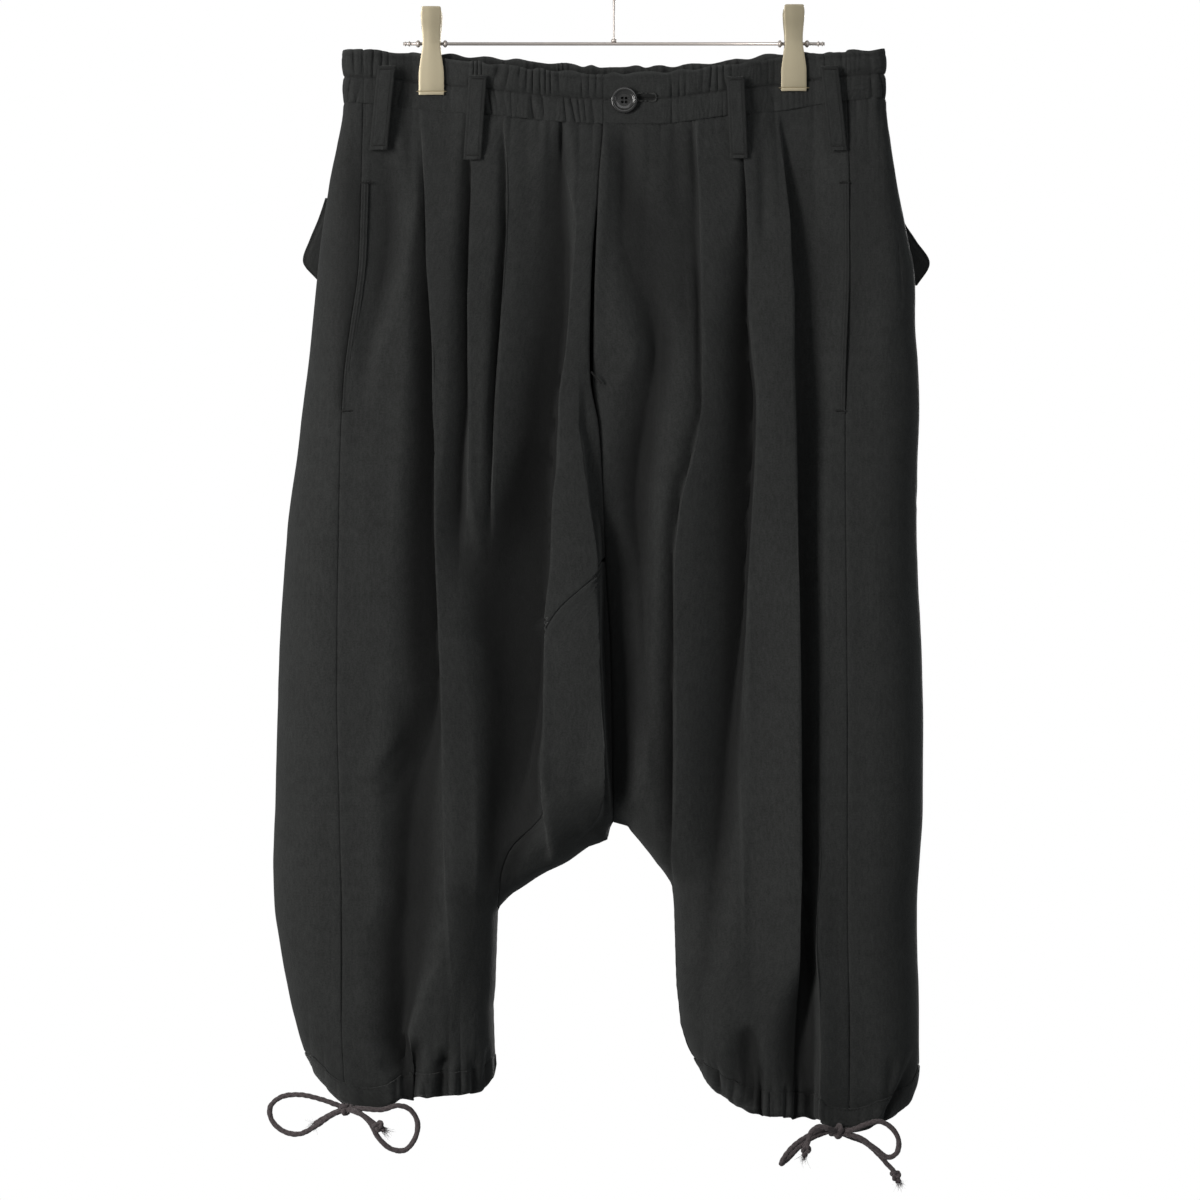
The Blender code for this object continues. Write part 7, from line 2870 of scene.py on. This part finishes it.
@dataclass
class Hanger:
    """A plain rod with stop beads, and a round hook that stands on its middle."""

    rod: float = 0.0012
    bead: float = 0.0027
    half: float = 0.1555
    wire: float = 0.0013
    inside: float = 0.0219

    def swell(self, bench: Bench, centre: float, radius: float, length: float) -> None:
        """Swell a short stretch of the rod into a round bead.

        Args:
            bench: The bench that holds the rod.
            centre: The bead's place along the rod.
            radius: The bead's radius.
            length: Half its length.
        """
        for share in (-0.9, -0.5, 0.0, 0.5, 0.9):
            bench.verts(lambda c, p=centre + share * length: abs(c.x - p) < 1e-5)
            grow = radius * math.sqrt(1 - 0.9 * share ** 2) / self.rod
            bench.scale((1, grow, grow), Vector((centre, 0, -ROD_DROP)))

    def make(self, wardrobe: Wardrobe) -> None:
        """Build the rod and the hook.

        Args:
            wardrobe: What dresses each piece.
        """
        bench = Bench("hanger_bar").cylinder(self.rod, 2 * self.half, Vector((0, 0, -ROD_DROP)),
                                             (0, math.pi / 2, 0), 28).settle()
        beads = [(clip + side * 0.0100, self.bead, 0.0018) for clip in CLIP_X for side in (-1, 1)]
        for side in (-1, 1):
            beads += [(side * (self.half - 0.0016), 0.0017, 0.0010),
                      (side * (self.half - 0.0046), 0.0020, 0.0010)]
        cuts = [centre + share * length for centre, _, length in beads
                for share in (-1, -0.9, -0.5, 0, 0.5, 0.9, 1)]
        for place in sorted(cuts):
            bench.verts(lambda c: True)
            bpy.ops.mesh.bisect(plane_co=(place, 0, -ROD_DROP), plane_no=(1, 0, 0))
        for centre, radius, length in beads:
            self.swell(bench, centre, radius, length)
        bench.bevel(0.0002, 2, 50)
        wardrobe.dress(bench.done(60), Finish.ROD, ["hanger_rod"])
        radius = self.inside + self.wire
        route = [(0, -ROD_DROP + self.rod + CLEAR), (0, -0.083), (0, -0.076), (0, -0.070), (0, -0.064),
                 (0, -0.0595), (0.0006, -0.0560), (0.0034, -0.0510), (0.0090, -0.0450), (0.0145, -0.0405),
                 (0.0192, -0.0365)]
        for angle in range(-22, 205, 15):
            turn = math.radians(angle)
            route.append((radius * math.cos(turn), -self.inside + radius * math.sin(turn)))
        route.append((-0.0245, -0.0375))
        path = smooth_path(np.array([(x, 0, z) for x, z in route]), 0.0011)
        size = self.wire * (0.50 + 0.50 * ease(path[:, 2], -0.070, -0.046))
        size[-3:] *= (1.0, 0.85, 0.5)
        hook = swept("hanger_wire", path, size, 16)
        wardrobe.dress(hook, Finish.ROD, ["hanger_hook"])
        foot = Vector((0, 0, -ROD_DROP + self.rod + 0.0010))
        bench = Bench("hanger_collar").cylinder(0.0021, 0.0018, foot, (0, 0, 0), 36).settle()
        bench.faces(lambda f: f.normal.z > 0.9).inset(0.0008).move((0, 0, 0.0006))
        bench.bevel(0.0003, 3, 30)
        wardrobe.dress(bench.done(40), Finish.ROD)


@dataclass(frozen=True)
class SoftBox:
    """One soft light: where it hangs, how large it is, its radiance and its tint."""

    name: str
    place: tuple[float, float, float]
    size: tuple[float, float]
    radiance: float
    tint: tuple[float, float, float] = (1.0, 1.0, 1.0)
    aim: tuple[float, float, float] = (0.0, 0.0, -0.45)

    def hang(self) -> None:
        """Hang the box so that it faces its aim."""
        data = bpy.data.lights.new(self.name, "AREA")
        data.shape = "RECTANGLE"
        data.size, data.size_y = self.size
        data.energy = self.radiance * math.pi * self.size[0] * self.size[1]
        data.color = self.tint
        lamp = bpy.data.objects.new(self.name, data)
        lamp.location = self.place
        lamp.rotation_euler = (Vector(self.aim) - Vector(self.place)).to_track_quat("-Z", "Y").to_euler()
        lamp.visible_camera = False
        bpy.context.scene.collection.objects.link(lamp)


@dataclass
class Studio:
    """The camera, the soft lights, the pale floor and the white backdrop."""

    frame: float = 0.8856
    lens: float = 100.0
    x: float = -0.0103
    z: float = -0.5004
    floor: float = -1.30
    dome: float = 9.0
    ambient: tuple[float, float, float] = (0.150, 0.158, 0.160)
    boxes: tuple[SoftBox, ...] = (
        SoftBox("key", (-1.60, -1.52, -0.05), (0.62, 1.17), 20.0, (1.0, 0.985, 0.965)),
        SoftBox("front_panel", (0.4, -4.3, 1.75), (3.4, 2.0), 1.1),
        SoftBox("side_fill", (2.5, -1.5, 0.1), (0.8, 1.5), 1.8),
        SoftBox("back_key", (1.0, 2.65, 0.05), (0.8, 1.5), 16.0, (1.0, 0.985, 0.965)),
        SoftBox("back_panel", (-0.4, 4.3, 1.75), (3.4, 2.0), 1.1),
    )

    def camera(self) -> None:
        """Stand the camera square to the front."""
        data = bpy.data.cameras.new("camera")
        data.lens, data.sensor_width = self.lens, 36.0
        data.clip_end = 60.0
        camera = bpy.data.objects.new("camera", data)
        camera.location = (self.x, -self.frame * self.lens / data.sensor_width, self.z)
        camera.rotation_euler = (math.pi / 2, 0, 0)
        bpy.context.scene.collection.objects.link(camera)
        bpy.context.scene.camera = camera

    def only_seen(self, piece: bpy.types.Object) -> None:
        """Let a stage piece be seen but neither light nor shade the garment."""
        piece.visible_diffuse = piece.visible_glossy = piece.visible_transmission = False
        piece.visible_shadow = False
        piece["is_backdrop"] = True

    def lay_floor(self) -> None:
        """Lay the pale floor, which fades to the backdrop's white far out."""
        bpy.ops.object.select_all(action="DESELECT")
        bpy.ops.mesh.primitive_circle_add(vertices=96, radius=self.dome - 0.5, fill_type="NGON",
                                          location=(0, 0, self.floor))
        floor = bpy.context.active_object
        floor.name = floor.data.name = "floor"
        n = Nodes("pale_floor")
        far = n.add("ShaderNodeVectorMath", operation="LENGTH")
        n.feed(far, i0=n.add("ShaderNodeTexCoord").outputs["Object"])
        fade = n.step(far.outputs["Value"], 0.7, 1.9, (0.0, 1.0))
        n.dress(Base_Color=(0.88, 0.88, 0.88, 1.0), Roughness=0.9, Specular_IOR_Level=0.1)
        glow = n.add("ShaderNodeEmission")
        mix = n.add("ShaderNodeMixShader")
        n.feed(mix, i0=fade, i1=n.shader.outputs[0], i2=glow.outputs[0])
        n.tree.links.new(mix.outputs[0], n.tree.nodes["Material Output"].inputs["Surface"])
        floor.data.materials.append(n.material)
        self.only_seen(floor)

    def raise_dome(self) -> None:
        """Raise the white backdrop all round."""
        bpy.ops.object.select_all(action="DESELECT")
        bpy.ops.mesh.primitive_uv_sphere_add(segments=48, ring_count=24, radius=self.dome,
                                             location=(0, 0, -0.45))
        dome = bpy.context.active_object
        dome.name = dome.data.name = "backdrop"
        n = Nodes("white_backdrop")
        glow = n.add("ShaderNodeEmission")
        n.tree.links.new(glow.outputs[0], n.tree.nodes["Material Output"].inputs["Surface"])
        dome.data.materials.append(n.material)
        self.only_seen(dome)

    def build(self) -> None:
        """Build the sky, the lights, the floor and the backdrop."""
        scene = bpy.context.scene
        scene.view_settings.view_transform = "Standard"
        world = bpy.data.worlds.new("quiet_room")
        world.use_nodes = True
        world.node_tree.nodes["Background"].inputs[0].default_value = (*self.ambient, 1.0)
        world.node_tree.nodes["Background"].inputs[1].default_value = 1.0
        scene.world = world
        for box in self.boxes:
            box.hang()
        self.lay_floor()
        self.raise_dome()


class HaremPants:
    """Builds the whole garment on its hanger, piece by piece."""

    def __init__(self) -> None:
        """Set up the finishes."""
        self.wardrobe = Wardrobe()

    def cords(self) -> None:
        """Build the two bows."""
        for cord in BOWS:
            cord.make(self.wardrobe)
        for knot in (LEFT_BOW_KNOT, RIGHT_BOW_KNOT):
            knot.make(self.wardrobe)

    def panels(self) -> None:
        """Build the fronts, the backs and the gusset."""
        left, right = LEFT_HEM, RIGHT_HEM
        stops = (56, 378, 437, 551.5, 631, 770)
        FrontPanel("cloth_front_left", "front_left", -1, left, (0.30, 0.74), 0.150, LEFT_CREASES, 11,
                   columns=(48, 26, 26, 40, 34, 34), stops=stops,
                   spacing=(4, 3.6, 4, 2.6, 3.6)).make(self.wardrobe)
        FrontPanel("cloth_front_right", "front_right", 1, right, (0.28, 0.76), 0.160, RIGHT_CREASES, 23,
                   columns=(26, 20, 32, 38, 26, 34), stops=(56, 569.5, 630.5, 770),
                   spacing=(4, 2.6, 3.6)).make(self.wardrobe)
        Gusset("cloth_gusset", "gusset", -1, left, (0.085, 0.255), 0.0165, GUSSET_CREASES, 31,
               stops=(378, 551.5, 631), spacing=(4, 2.6)).make(self.wardrobe)
        SidePanel("cloth_back_left", "back_left", -1, left, (0.36, 0.74), 0.220, LEFT_BACK_CREASES, 41,
                  stops=stops, spacing=(4.8, 4.6, 4.4, 3.2, 4.4)).make(self.wardrobe)
        SidePanel("cloth_back_right", "back_right", 1, right, (0.36, 0.76), 0.226, RIGHT_BACK_CREASES, 53,
                  stops=(56, 569.5, 630.5, 770), spacing=(4.8, 3.3, 4.4),
                  seam_lines=RIGHT_SIDE_SEAMS).make(self.wardrobe)

    def bands(self) -> None:
        """Build the waistband and the hem casings with their lines of stitches."""
        left_seam, right_seam, fly = -0.184, 0.171, -0.0078
        left_end, right_end = -0.1995, 0.199
        back = ((left_seam - SEAM_GAP / 4, left_end, -1), (left_end, right_end, 1),
                (right_end, right_seam + SEAM_GAP / 4, -1))
        pieces = (
            WaistPiece("band_front_left", "waistband_front_left", ((left_seam, fly - SEAM_GAP, -1),),
                       300, (0.26, 0.040), 0.0080, 3),
            WaistPiece("band_front_right", "waistband_front_right", ((fly, right_seam, -1),),
                       300, (0.24, 0.040), 0.0078, 5),
            WaistPiece("band_back", "waistband_back", back, 610, (0.60, 0.040), 0.022, 8),
        )
        for band in pieces:
            piece, sheet = band.make(self.wardrobe)
            normals = sheet.normals()
            row = band.rows // 2
            Stitching(f"stitches_{band.name}", sheet.grid[row, 1:-1, :3], normals[row, 1:-1],
                      band_wall(piece)).make(self.wardrobe)
        casings = (
            HemCasing("casing_left", "hem_left", -1, LEFT_HEM, (0.44, 0.0185), 0.0079),
            HemCasing("casing_right", "hem_right", 1, RIGHT_HEM, (0.50, 0.0185), 0.0091),
        )
        for casing in casings:
            piece, sheet = casing.make(self.wardrobe)
            Stitching(f"stitches_{casing.name}", sheet.grid[1, :, :3], sheet.normals()[1],
                      band_wall(piece)).make(self.wardrobe)

    def trims(self) -> None:
        """Build the belt loops, welts, flaps and the fly's tack."""
        for row in LOOPS:
            BeltLoop(*row).make(self.wardrobe)
        PocketWelt("welt_left", "pocket_welt_left", -1).make(self.wardrobe)
        PocketWelt("welt_right", "pocket_welt_right", 1).make(self.wardrobe)
        PocketFlap("flap_left", "pocket_flap_left", -1, LEFT_FLAP).make(self.wardrobe)
        PocketFlap("flap_right", "pocket_flap_right", 1, RIGHT_FLAP).make(self.wardrobe)
        WaistButton().make(self.wardrobe)
        Buttonhole().make(self.wardrobe)
        FlyTack().make(self.wardrobe)

    def hanger(self) -> None:
        """Build the hanger and its two clips."""
        Hanger().make(self.wardrobe)
        for label, x, lift in zip(("left", "right"), CLIP_X, ((0.0, 0.0), (0.0014, 0.0028))):
            for place, facing in (("front", -1), ("back", 1)):
                node = f"clip_{label}_{place}_jaw"
                ClipJaw(f"jaw_{label}_{place}", node, x, facing, lift).make(self.wardrobe)
            ClipSpring(f"spring_{label}", f"clip_{label}_spring", x).make(self.wardrobe)


def band_wall(piece: bpy.types.Object) -> float:
    """Return how far a seam's thread lies outside a band's middle."""
    return 0.00048 if piece.name.startswith("band") else 0.00038


def write_sizes() -> None:
    """Gather the solids' box and the dressed box side by side, without writing them anywhere."""
    boxes = {"cad": FRAME_BOX, "visual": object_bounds()}
    plain = {name: [list(map(float, corner)) for corner in box] for name, box in boxes.items()}


def main() -> None:
    """Build the studio, then every piece of the garment."""
    studio = Studio()
    studio.camera()
    pants = HaremPants()
    pants.cords()
    studio.build()
    pants.panels()
    pants.bands()
    pants.trims()
    pants.hanger()
    write_sizes()


if __name__ == "__main__":
    main()
